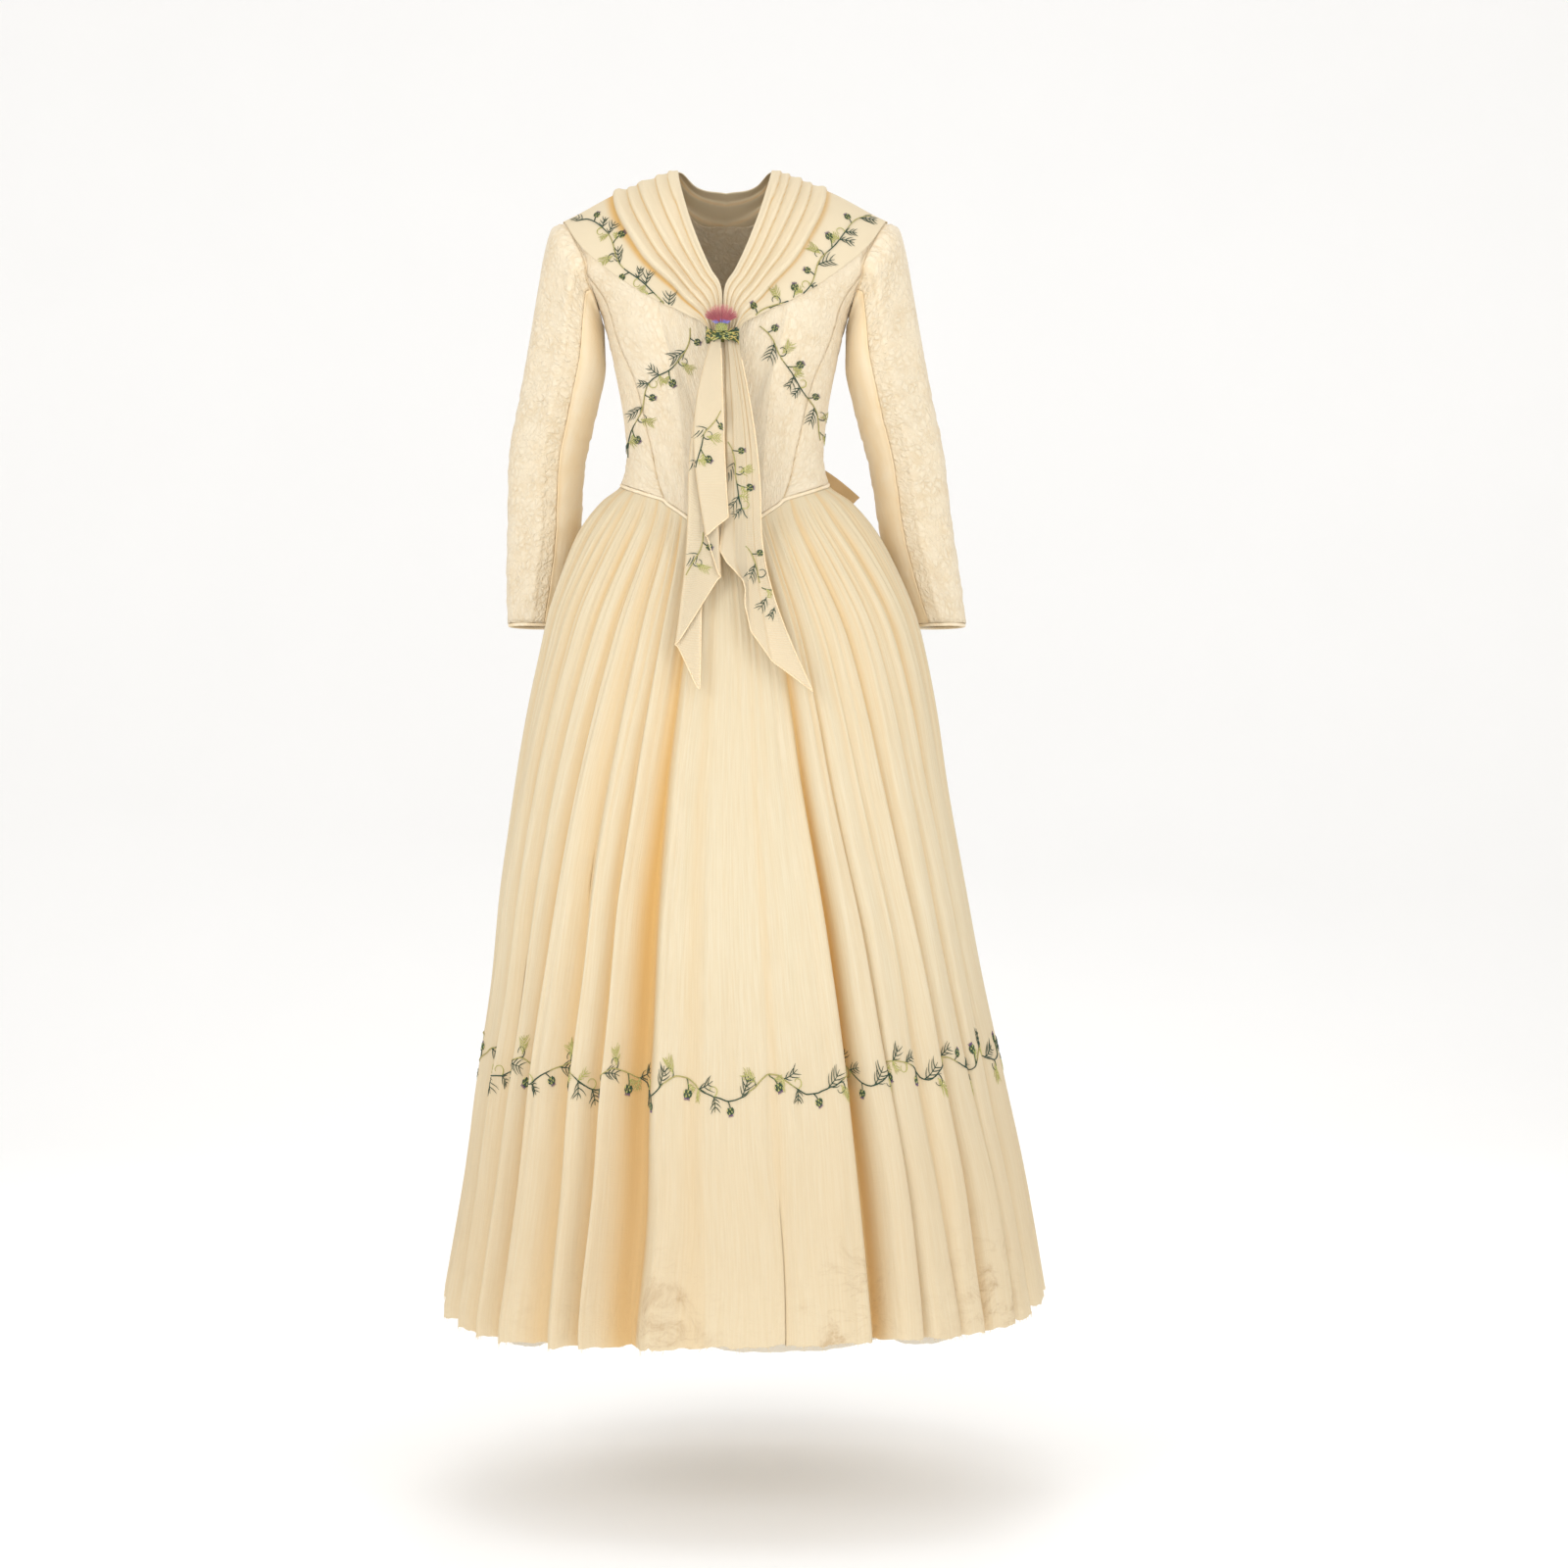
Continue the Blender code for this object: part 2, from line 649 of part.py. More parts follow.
def sleeve_ring(row, round_it, side, grow):
    """Points round one ring of the sleeve, each at a turn and a share of the ring's size, grown."""
    middle, reach = sleeve_axes(row, side)
    grown = reach.normalized() * grow
    ring = []
    for turn, share in round_it:
        wide = (reach * share + grown) * math.cos(turn)
        deep = (row[5] * share + grow) * math.sin(turn)
        ring.append(middle + wide + Vector((0, -deep, 0)))
    return ring


def armhole_round(side):
    """Turn of each armhole point round the sleeve's first ring, and its share of the ring's size."""
    middle, reach = sleeve_axes(SLEEVE[0], side)
    round_it = []
    for turn, drop in armhole_places():
        away = on_figure(turn, drop) - middle
        deep = -away.y / SLEEVE[0][5]
        wide = away.dot(reach) / reach.length_squared
        round_it.append((math.atan2(deep, wide), math.hypot(deep, wide)))
    return round_it


def sleeve_grids(side):
    """Outer and inner points all round, ring by ring from the armhole down."""
    armhole = armhole_round(side)
    rounds = []
    for k in range(len(SLEEVE)):
        settled = min((k + 1) * ARMHOLE_SETTLING, 1.0)
        rounds.append([(turn, mix(share, 1.0, settled)) for turn, share in armhole])
    middle, reach = sleeve_axes(SLEEVE[0], side)
    following = sleeve_ring(SLEEVE[0], rounds[0], side, 0.0)
    inner_start = []
    outer_start = []
    for k, (turn, drop) in enumerate(armhole_places()):
        edge = on_figure(turn, drop)
        out_of_body = (off_figure(turn, drop, 0.01) - edge).normalized()
        across = reach.normalized() * math.cos(armhole[k][0]) / reach.length
        along = Vector((0, -math.sin(armhole[k][0]) / SLEEVE[0][5], 0))
        out_of_arm = (across + along).normalized()
        folded = ease((0.75 - out_of_arm.dot(out_of_body)) / 0.9)
        beside = (2 * QUILT_CLOTH + 3 * SEAM_HALF_GAP) * folded
        onward = (following[k] - edge).normalized() * 3 * SEAM_HALF_GAP
        start = edge + out_of_body * beside + onward
        inner_start.append(start)
        out = out_of_body.lerp(out_of_arm, folded).normalized()
        outer_start.append(start + out * QUILT_CLOTH)
    inner = [inner_start]
    outer = [outer_start]
    for row, round_it in zip(SLEEVE, rounds):
        inner.append(sleeve_ring(row, round_it, side, 0.0))
        ring = sleeve_ring(row, round_it, side, QUILT_CLOTH)
        outer.append([point + Vector((0, -crinkle(point), 0)) for point in ring])
    return outer, inner


def flip_side(grid):
    return [[Vector((-point.x, point.y, point.z)) for point in row] for row in grid]


def make_sleeves():
    around = len(armhole_places())
    spans = {
        "under": range(FRONT_SEAM_INDEX, BACK_SEAM_INDEX + 1),
        "top": range(BACK_SEAM_INDEX, around + FRONT_SEAM_INDEX + 1),
    }
    for side, word in ((1, "right"), (-1, "left")):
        outer, inner = sleeve_grids(side)
        if side < 0:
            outer, inner = flip_side(outer), flip_side(inner)
        for part, span in spans.items():
            picked = [k % around for k in span]
            outer_part, inner_part = columns_of(outer, picked), columns_of(inner, picked)
            wall(f"sleeve_{part}_{word}", outer_part, inner_part, "quilted cloth")
        make_cuff_binding(side, word)


def columns_of(grid, picked):
    return [[row[k] for k in picked] for row in grid]


def cord_ring(name, path, out_of, radius, finish, sides=5):
    """A closed cord along a path, out_of giving the outward direction at each of its points."""
    count = len(path)
    sections = []
    for k in range(count):
        along = (path[(k + 1) % count] - path[k - 1]).normalized()
        out = (out_of[k] - along * out_of[k].dot(along)).normalized()
        up = along.cross(out)
        section = []
        for s in range(sides):
            angle = 2 * math.pi * s / sides
            section.append(path[k] + out * (radius * math.cos(angle)) + up * (radius * math.sin(angle)))
        sections.append(section)
    loft_ring(name, sections, finish)


def make_cuff_binding(side, word):
    round_it = [(2 * math.pi * k / CUFF_SIDES, 1.0) for k in range(CUFF_SIDES)]
    ring = sleeve_ring(SLEEVE[-1], round_it, side, QUILT_CLOTH * 0.6)
    drop = Vector((0, 0, CUFF_CORD + 0.0003))
    path = [point - drop for point in ring]
    if side < 0:
        path = flip_side([path])[0]
    middle = sum(path, Vector()) / len(path)
    cord_ring(f"cuff_binding_{word}", path, [point - middle for point in path], CUFF_CORD, "piping")


# Skirt

def waist_line():
    """Places of the waist edge all round, from the middle of the back over the left and the front."""
    right = waist_front()[FRONT_COLUMNS // 2:] + waist_side()[1:] + waist_back()[1:BACK_PANEL_COLUMNS // 2 + 1]
    left = mirrored(right)
    return left[:0:-1] + right


def waist_edge():
    """Points of the waist edge all round, with the ways out of the body and down the cloth."""
    line = waist_line()[:-1]
    points = [on_figure(turn, drop) for turn, drop in line]
    frames = []
    for k, (turn, drop) in enumerate(line):
        out = (off_figure(turn, drop, 0.01) - points[k]).normalized()
        along = (points[(k + 1) % len(points)] - points[k - 1]).normalized()
        down = along.cross(out).normalized()
        if down.z > 0:
            down = -down
        frames.append((points[k], out, down))
    return frames


def waist_rows():
    """The skirt's upper edge as rows: turn round the skirt's middle, radius, height."""
    rows = []
    for point, out, down in waist_edge():
        rim = point + out * QUILT_CLOTH + down * (2 * WAIST_CORD + 5 * SEAM_HALF_GAP)
        angle = math.atan2(rim.x, -(rim.y - SKIRT_MIDDLE_Y))
        rows.append((angle, math.hypot(rim.x, rim.y - SKIRT_MIDDLE_Y), rim.z))
    rows[0] = (-math.pi, rows[0][1], rows[0][2])
    rows.append((math.pi, rows[0][1], rows[0][2]))
    return rows


def skirt_radius(turn, height):
    """Radius of the skirt without its pleats at a turn, and the breadth of its middle."""
    middle, half, front, back = [blend_falling(SKIRT, column, height) for column in (1, 2, 3, 4)]
    depth = front + SKIRT_MIDDLE_Y if math.cos(turn) > 0 else back - SKIRT_MIDDLE_Y
    across = abs(math.sin(turn) / half) ** SKIRT_SQUARENESS
    along = abs(math.cos(turn) / depth) ** SKIRT_SQUARENESS
    return (across + along) ** (-1 / SKIRT_SQUARENESS), middle


def hem_height(turn):
    return blend_table(HEM, 1, math.degrees(turn))


def valley_rows():
    """All valleys round the skirt: turn at the waist, turn at the hem, depth, in rising order."""
    rows = [(math.radians(a), math.radians(b), depth) for a, b, depth in FRONT_VALLEYS]
    first_a, first_b, last_a, last_b = rows[-1][0], rows[-1][1], rows[0][0], rows[0][1]
    for k in range(1, BACK_VALLEYS + 1):
        share = k / (BACK_VALLEYS + 1)
        uneven = 0.02 * math.sin(5.1 * k) + 0.012 * math.sin(2.3 * k + 1)
        waist = mix(first_a, last_a + 2 * math.pi, share)
        hem = mix(first_b, last_b + 2 * math.pi, share) + uneven
        depth = BACK_VALLEY_DEPTH * (1 + 0.25 * math.sin(3.7 * k))
        rows.append((waist, hem, depth))
    return rows


def pleat_columns():
    """Columns of the skirt: for each pleat its valley, rise, crest and fall, as the turn at the
    waist, the turn at the hem and the depth below the skirt's plain radius."""
    valleys = valley_rows()
    columns = []
    for k, here in enumerate(valleys):
        following = valleys[(k + 1) % len(valleys)]
        ahead = 2 * math.pi if k == len(valleys) - 1 else 0.0
        steps = ((0.0, 1.0), (0.20, 0.28), (0.5, -PLEAT_BULGE), (0.80, 0.28))
        wide = following[1] + ahead - here[1] > math.radians(14)
        if wide:
            steps = ((0.0, 1.0), (0.10, 0.22), (0.36, -0.1), (0.64, -0.1), (0.90, 0.22))
        for share, sink in steps:
            depth = mix(here[2], following[2], share)
            columns.append((
                mix(here[0], following[0] + ahead, share),
                mix(here[1], following[1] + ahead, share),
                depth * sink,
            ))
    return columns


def pleat_share(down):
    """How much of a pleat's depth at the hem it has at a share of the way down."""
    return mix(WAIST_VALLEY_SHARE, 1.0, ease(down * 1.15)) * ease(down * 9 + 0.12)


def skirt_point(column, down, waist, inset=0.0, drop=0.0):
    """A point of the skirt at a column, down being 0 at the waist and 1 at the hem."""
    turn_waist, turn_hem, depth = column
    turn = mix(turn_waist, turn_hem, ease(down * 1.6))
    wrapped = (turn + math.pi) % (2 * math.pi) - math.pi
    rim_radius = blend_table(waist, 1, wrapped)
    rim_height = blend_table(waist, 2, wrapped)
    height = mix(rim_height, hem_height(wrapped) - drop, down)
    plain, middle = skirt_radius(turn, height)
    rim_plain, _ = skirt_radius(turn, rim_height)
    held = math.exp((height - rim_height) / RIM_BLEND)
    pleat = depth * pleat_share(down)
    radius = plain + (rim_radius - rim_plain) * held - pleat - inset
    return Vector((
        middle * (1 - held) + radius * math.sin(turn),
        SKIRT_MIDDLE_Y - radius * math.cos(turn),
        height,
    ))


def grid_normals(grid, wrap):
    """Directions out of a grid of points, row by row."""
    rows, columns = len(grid), len(grid[0])
    result = []
    for r in range(rows):
        line = []
        for c in range(columns):
            before = grid[r][c - 1] if wrap or c > 0 else grid[r][c]
            after = grid[r][(c + 1) % columns] if wrap or c < columns - 1 else grid[r][c]
            above = grid[max(r - 1, 0)][c]
            below = grid[min(r + 1, rows - 1)][c]
            line.append((below - above).cross(after - before).normalized())
        result.append(line)
    return result


def inside_of(grid, cloth, wrap=True):
    normals = grid_normals(grid, wrap)
    return [[point - normal * cloth for point, normal in zip(row, line)] for row, line in zip(grid, normals)]


def make_skirt():
    waist = waist_rows()
    columns = pleat_columns()
    outer = [[skirt_point(column, down, waist) for column in columns] for down in SKIRT_ROWS]
    inner = inside_of(outer, SKIRT_CLOTH)
    turns = [math.degrees(column[1]) for column in columns]
    seams = [nearest_valley(columns, LEFT_SEAM)]
    seams += [turns.index(min(turns, key=lambda t: abs(t - stop))) for stop in FRONT_SEAMS]
    seams += [nearest_valley(columns, stop) for stop in OTHER_SEAMS]
    seams.append(seams[0] + len(columns))
    for name, first, last in zip(SKIRT_WIDTHS, seams, seams[1:]):
        picked = [k % len(columns) for k in range(first, last + 1)]
        outer_part = [[row[k] for k in picked] for row in outer]
        inner_part = [[row[k] for k in picked] for row in inner]
        wall(name, outer_part, inner_part, "skirt gauze")


def nearest_valley(columns, degrees):
    """The valley column whose turn at the hem is nearest to the given one."""
    valleys = [k for k, column in enumerate(columns) if column[2] > 0.01 and column[2] > columns[k - 1][2]]
    return min(valleys, key=lambda k: abs(math.degrees(columns[k][1]) - degrees))


def make_underskirt():
    waist = waist_rows()
    outer = []
    for down in UNDER_ROWS:
        row = []
        for k in range(UNDER_COLUMNS):
            turn = -math.pi + 2 * math.pi * k / UNDER_COLUMNS
            ripple = UNDER_RIPPLE * math.sin(9 * turn) * down
            inset = UNDER_INSET + UNDER_CLEAR * pleat_share(down) + ripple
            row.append(skirt_point((turn, turn, 0.0), down, waist, inset, UNDER_DROP))
        outer.append(row)
    inner = inside_of(outer, GAUZE_CLOTH)
    for gore, (first, last) in enumerate(zip(UNDER_SEAMS, UNDER_SEAMS[1:])):
        picked = [k % UNDER_COLUMNS for k in range(first, last + 1)]
        outer_part = [[row[k] for k in picked] for row in outer]
        inner_part = [[row[k] for k in picked] for row in inner]
        wall(f"underskirt_gore_{gore + 1}", outer_part, inner_part, "under layer")


def make_waist_piping():
    path = []
    out_of = []
    for point, out, down in waist_edge():
        path.append(point + out * QUILT_CLOTH / 2 + down * (WAIST_CORD + 2 * SEAM_HALF_GAP))
        out_of.append(out)
    cord_ring("waist_piping", path, out_of, WAIST_CORD, "piping")


# Kerchief

def kerchief_columns():
    """Columns across the kerchief: place at the shoulder, place at the loop, height of the fold."""
    columns = []
    for here, following in zip(KERCHIEF_VALLEYS, KERCHIEF_VALLEYS[1:]):
        steps = FOLD_STEPS if here[2] else [(k / BORDER_STEPS, 0.0) for k in range(BORDER_STEPS)]
        for share, rise in steps:
            columns.append((
                mix(here[0], following[0], share),
                mix(here[1], following[1], share),
                here[2] * rise,
            ))
    columns.append((1.0, 1.0, 0.0))
    return columns


def kerchief_wall(name, grid, lift_at):
    """A wall on the figure whose lift at each row and column is given."""
    inner = []
    outer = []
    for r, row in enumerate(grid):
        lifts = [lift_at(r, c) for c in range(len(row))]
        inner.append([off_figure(*place, lift) for place, lift in zip(row, lifts)])
        outer.append([off_figure(*place, lift + GAUZE_CLOTH) for place, lift in zip(row, lifts)])
    wall(name, outer, inner, "kerchief gauze")


def make_kerchief():
    columns = kerchief_columns()
    breadths = [mix(KERCHIEF_NECK, KERCHIEF_SHOULDER, column[0]) for column in columns]
    neck = ridge_place(KERCHIEF_NECK)
    shoulder = ridge_place(KERCHIEF_SHOULDER)
    inner_edge = spline([*places(KERCHIEF_INNER), neck], KERCHIEF_ROWS, crowd_end)
    outer_edge = spline([*places(KERCHIEF_OUTER), shoulder], KERCHIEF_ROWS, crowd_end)
    ridge = [ridge_place(breadth) for breadth in breadths]
    foot = []
    for _, at_loop, _ in columns:
        foot.append(tuple(mix(a, b, at_loop) for a, b in zip(inner_edge[0], outer_edge[0])))
    grid = patch(foot, ridge, inner_edge, outer_edge)

    def front_lift(r, c):
        down = 1 - r / KERCHIEF_ROWS
        gathered = GATHER_LIFT * ease((down - 0.75) * 4)
        return KERCHIEF_LIFT + columns[c][2] * mix(1.0, 0.55, ease((down - 0.6) * 2.5)) + gathered

    kerchief_wall("kerchief_right", grid, front_lift)
    flipped = [mirrored(row)[::-1] for row in grid]
    kerchief_wall("kerchief_left", flipped, lambda r, c: front_lift(r, len(columns) - 1 - c))

    nape = places(KERCHIEF_NAPE, False)
    nape[0] = (math.pi, nape[0][1])
    half_nape = spline([*nape, ridge_place(KERCHIEF_NECK, False)], BACK_ROWS // 2, crowd_end)
    lower = places(KERCHIEF_POINT, False)
    lower[0] = (math.pi, lower[0][1])
    half_point = spline([*lower, ridge_place(KERCHIEF_SHOULDER, False)], BACK_ROWS // 2,
                        crowd_end)
    upper_edge = half_nape[::-1] + mirrored(half_nape, True)[1:]
    lower_edge = half_point[::-1] + mirrored(half_point, True)[1:]
    ridge = [ridge_place(breadth, False) for breadth in breadths]
    grid = patch(ridge, mirrored(ridge, True), upper_edge, lower_edge)

    def back_lift(r, c):
        from_middle = abs(r / BACK_ROWS - 0.5) * 2
        extra = BACK_EXTRA_LIFT * ease((1 - from_middle) * 4)
        return KERCHIEF_LIFT + extra + columns[c][2] * mix(0.45, 1.0, ease(from_middle))

    kerchief_wall("kerchief_back", grid, back_lift)


def make_loop():
    """A flat ring round the gathered kerchief, taller at its ends."""
    sections = []
    for k in range(LOOP_COLUMNS):
        turn = 2 * math.pi * k / LOOP_COLUMNS
        across, along = squared(turn, 2.6)
        tall = mix(LOOP_MIDDLE_HEIGHT, LOOP_END_HEIGHT, across * across)
        middle = Vector(LOOP_MIDDLE)
        section = []
        for grow, rise in ((0.0015, 1), (0.0022, 0), (0.0015, -1), (0.0, -1), (0.0, 0), (0.0, 1)):
            shift = Vector((
                (LOOP_HALF[0] + grow) * across,
                -(LOOP_HALF[1] + grow) * along,
                tall * rise,
            ))
            section.append(middle + shift)
        sections.append(section)
    loft_ring("kerchief_loop", sections, "embroidered loop")


def pressed_columns(folds):
    """Columns of an end pressed in flat layers, each a place between two folds: the fold before it,
    the share of the way to the next one, a shift in breadth and a depth."""
    columns = []
    for k in range(len(folds) - 1):
        depth = folds[k][4]
        side = 1 if folds[k + 1][1] > folds[k][1] else -1
        columns.append((k, 0.0, 0.0, (folds[max(k - 1, 0)][4] + depth) / 2))
        if k > 0:
            columns.append((k, BESIDE_FOLD, side * FOLD_RADIUS, depth))
        columns.append((k, 0.5, 0.0, depth))
        columns.append((k, 1 - BESIDE_FOLD, -side * FOLD_RADIUS, depth))
    columns.append((len(folds) - 2, 1.0, 0.0, folds[-2][4]))
    return columns


def open_columns(folds):
    """The same for an end that hangs in open folds."""
    columns = []
    for k in range(len(folds) - 1):
        for step in range(TAIL_STEPS):
            share = step / TAIL_STEPS
            bend = share + FOLD_ROUNDNESS * math.sin(2 * math.pi * share)
            columns.append((k, ease(share), 0.0, mix(folds[k][4], folds[k + 1][4], bend)))
    columns.append((len(folds) - 2, 1.0, 0.0, folds[-1][4]))
    return columns


def tail_grid(folds, columns, rows):
    """Points of a hanging end, whose columns run down the cloth."""
    grid = []
    for r in range(rows + 1):
        down = r / rows
        row = []
        for k, share, shift, depth in columns:
            near, far = folds[k], folds[k + 1]
            height = mix(TAIL_TOP, mix(near[3], far[3], share), down)
            breadth = mix(fold_breadth(near, down), fold_breadth(far, down), share) + shift
            path = blend_falling(TAIL_PATH, 1, height)
            row.append(Vector((breadth, path + depth, height)))
        grid.append(row)
    return grid


def fold_breadth(fold, down):
    top, half_way, foot = fold[0], fold[1], fold[2]
    if down < 0.5:
        return mix(top, half_way, math.sin(down * math.pi))
    return mix(half_way, foot, 1 - math.cos((down - 0.5) * math.pi))


def make_tails():
    ends = {
        "tail_left": (TAIL_LEFT, pressed_columns(TAIL_LEFT)),
        "tail_right": (TAIL_RIGHT, open_columns(TAIL_RIGHT)),
    }
    for name, (folds, columns) in ends.items():
        middle = tail_grid(folds, columns, TAIL_ROWS)
        outer = inside_of(middle, -TAIL_CLOTH / 2, wrap=False)
        inner = inside_of(middle, TAIL_CLOTH / 2, wrap=False)
        wall(name, outer, inner, "kerchief gauze")


# Thistle

def make_thistle():
    rings = 7
    around = 10
    sections = []
    for r in range(1, rings):
        polar = math.pi * r / rings
        section = []
        for k in range(around):
            turn = 2 * math.pi * k / around
            scale = 1.0 + (0.10 if (k + r) % 2 else 0.0)
            section.append(Vector((
                BULB_MIDDLE[0] + BULB_RADII[0] * math.sin(polar) * math.cos(turn) * scale,
                BULB_MIDDLE[1] + BULB_RADII[1] * math.sin(polar) * math.sin(turn) * scale,
                BULB_MIDDLE[2] + BULB_RADII[2] * math.cos(polar),
            )))
        sections.append(section)
    vertices = [point for section in sections for point in section]
    faces = []
    for s in range(len(sections) - 1):
        for k in range(around):
            following = (k + 1) % around
            faces.append((s * around + k, s * around + following,
                          (s + 1) * around + following, (s + 1) * around + k))
    faces.append(tuple(range(around))[::-1])
    faces.append(tuple((len(sections) - 1) * around + k for k in range(around)))
    thing = new_object("thistle_bulb", vertices, faces, "thistle green")
    turn_outwards(thing)
    make_tuft()


def make_tuft():
    """A fan of stiff threads whose roots are one with a small block."""
    columns, deep = TUFT_ACROSS, TUFT_DEEP
    vertices = []
    faces = []
    root = Vector(TUFT_ROOT)

    def corner(i, j, top):
        across = (i / columns * 2 - 1) * TUFT_ROOT_HALF[0]
        along = (j / deep * 2 - 1) * TUFT_ROOT_HALF[1]
        arch = 0.0018 * (1 - (i / columns * 2 - 1) ** 2)
        vertices.append(root + Vector((across, along, (TUFT_ROOT_HEIGHT + arch) if top else 0.0)))
        return len(vertices) - 1

    low = [[corner(i, j, False) for j in range(deep + 1)] for i in range(columns + 1)]
    high = [[corner(i, j, True) for j in range(deep + 1)] for i in range(columns + 1)]
    for i in range(columns):
        for j in range(deep):
            faces.append((low[i][j], low[i][j + 1], low[i + 1][j + 1], low[i + 1][j]))
            add_thread(vertices, faces, (high[i][j], high[i + 1][j], high[i + 1][j + 1], high[i][j + 1]), i, j)
    for i in range(columns):
        faces.append((low[i][0], low[i + 1][0], high[i + 1][0], high[i][0]))
        faces.append((low[i + 1][deep], low[i][deep], high[i][deep], high[i + 1][deep]))
    for j in range(deep):
        faces.append((low[0][j + 1], low[0][j], high[0][j], high[0][j + 1]))
        faces.append((low[columns][j], low[columns][j + 1], high[columns][j + 1], high[columns][j]))
    thing = new_object("thistle_tuft", vertices, faces, "thistle pink")
    turn_outwards(thing)


def add_thread(vertices, faces, base, i, j):
    """One thread: a foot inset in its patch of the block, drawn out to a blunt tip."""
    middle = sum((vertices[k] for k in base), Vector()) / 4
    fan = ((i + 0.5) / TUFT_ACROSS * 2 - 1) * TUFT_SPREAD
    tilt = ((j + 0.5) / TUFT_DEEP * 2 - 1) * 0.22
    reach = TUFT_LENGTH * (1 - 0.10 * ((i * 7 + j * 5) % 4) / 3)
    along = Vector((math.sin(fan), tilt, math.cos(fan))).normalized()
    foot = []
    tip = []
    for k in base:
        offset = vertices[k] - middle
        vertices.append(middle + offset * 0.72)
        foot.append(len(vertices) - 1)
    for k in base:
        offset = vertices[k] - middle
        vertices.append(middle + along * reach + offset * 0.40)
        tip.append(len(vertices) - 1)
    for a in range(4):
        b = (a + 1) % 4
        faces.append((base[a], base[b], foot[b], foot[a]))
        faces.append((foot[a], foot[b], tip[b], tip[a]))
    faces.append(tuple(tip))


# Ribbon bow

def ribbon(name, path, half_width_at, across_at):
    """A ribbon along a path, with its half width and the way that its width runs at each share."""
    near = []
    far = []
    count = len(path)
    for k, point in enumerate(path):
        share = k / (count - 1)
        across = Vector(across_at(share)).normalized()
        along = path[min(k + 1, count - 1)] - path[max(k - 1, 0)]
        thick = along.cross(across).normalized() * RIBBON_CLOTH / 2
        half = across * half_width_at(share)
        near.append([point + thick - half, point + thick + half])
        far.append([point - thick - half, point - thick + half])
    sections = [a + b[::-1] for a, b in zip(near, far)]
    loft_wall(name, sections, "satin ribbon")


def make_bow():
    middle = Vector(BOW_MIDDLE)
    root = KNOT_HALF[0] + BOW_GAP
    for word, (reach, arch, drop, sway, part) in BOW_LOOPS.items():
        side = 1 if reach > 0 else -1
        path = []
        for k in range(2 * BOW_STEPS + 1):
            turn = math.pi * k / BOW_STEPS
            out = (1 - math.cos(turn)) / 2
            parted = math.sin(turn) / 2 + abs(math.sin(turn)) * BOW_FORWARD
            layer = parted * part + math.cos(turn / 2) * 0.0016
            path.append(middle + Vector((
                side * (root + (abs(reach) - root) * out),
                layer - sway * out * out,
                arch * math.sin(math.pi * out) - drop * out * out,
            )))

        def half_width(share):
            out = (1 - math.cos(2 * math.pi * share)) / 2
            return mix(RIBBON_HALF_PINCH, RIBBON_HALF_WIDTH, ease(out * 2.2))

        def across(share, run=abs(reach) - root, arch=arch, drop=drop, side=side):
            out = (1 - math.cos(2 * math.pi * share)) / 2
            fall = arch * math.pi * math.cos(math.pi * out) - 2 * drop * out
            return -side * fall, 0.0, run

        ribbon(f"sash_loop_{word}", path, half_width, across)
    for word, (foot_x, foot_z, stand) in BOW_ENDS.items():
        side = 1 if foot_x > 0 else -1
        path = []
        for k in range(BOW_STEPS + 1):
            share = k / BOW_STEPS
            height = mix(middle.z - KNOT_HALF[2] - 0.0006, foot_z, share)
            breadth = mix(middle.x + side * 0.004, foot_x, share ** 1.3)
            depth = mix(middle.y, blend_falling(SKIRT, 4, height) + stand, min(k, 1))
            path.append(Vector((breadth, depth, height)))

        def end_half_width(share):
            return mix(RIBBON_HALF_PINCH / 2, RIBBON_HALF_WIDTH, ease(share * 3))

        ribbon(f"sash_end_{word}", path, end_half_width, lambda share: (1, 0, 0))
    make_knot(middle)


def make_knot(middle):
    sections = []
    for k in range(9):
        polar = math.pi * (0.12 + 0.76 * k / 8)
        section = []
        for s in range(10):
            turn = 2 * math.pi * s / 10
            section.append(middle + Vector((
                KNOT_HALF[0] * math.sin(polar) * math.cos(turn),
                KNOT_HALF[1] * math.sin(polar) * math.sin(turn),
                KNOT_HALF[2] * math.cos(polar),
            )))
        sections.append(section)
    vertices = [point for section in sections for point in section]
    faces = []
    for s in range(8):
        for k in range(10):
            following = (k + 1) % 10
            faces.append((s * 10 + k, s * 10 + following, (s + 1) * 10 + following, (s + 1) * 10 + k))
    faces.append(tuple(range(10))[::-1])
    faces.append(tuple(80 + k for k in range(10)))
    thing = new_object("sash_knot", vertices, faces, "satin ribbon")
    turn_outwards(thing)


def make_finishes():
    for name, (colour, roughness) in FINISHES.items():
        material = bpy.data.materials.new(name)
        material.use_nodes = True
        shader = material.node_tree.nodes["Principled BSDF"]
        shader.inputs["Base Color"].default_value = (*colour, 1.0)
        shader.inputs["Roughness"].default_value = roughness
        shader.inputs["Metallic"].default_value = 0.0


def main():
    for thing in list(bpy.data.objects):
        bpy.data.objects.remove(thing)
    make_finishes()
    make_bodice()
    make_sleeves()
    make_waist_piping()
    make_skirt()
    make_underskirt()
    make_kerchief()
    make_loop()
    make_tails()
    make_thistle()
    make_bow()


main()
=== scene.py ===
import json
import math
import random

import bmesh
import bpy
import numpy as np
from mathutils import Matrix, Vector
from mathutils.bvhtree import BVHTree

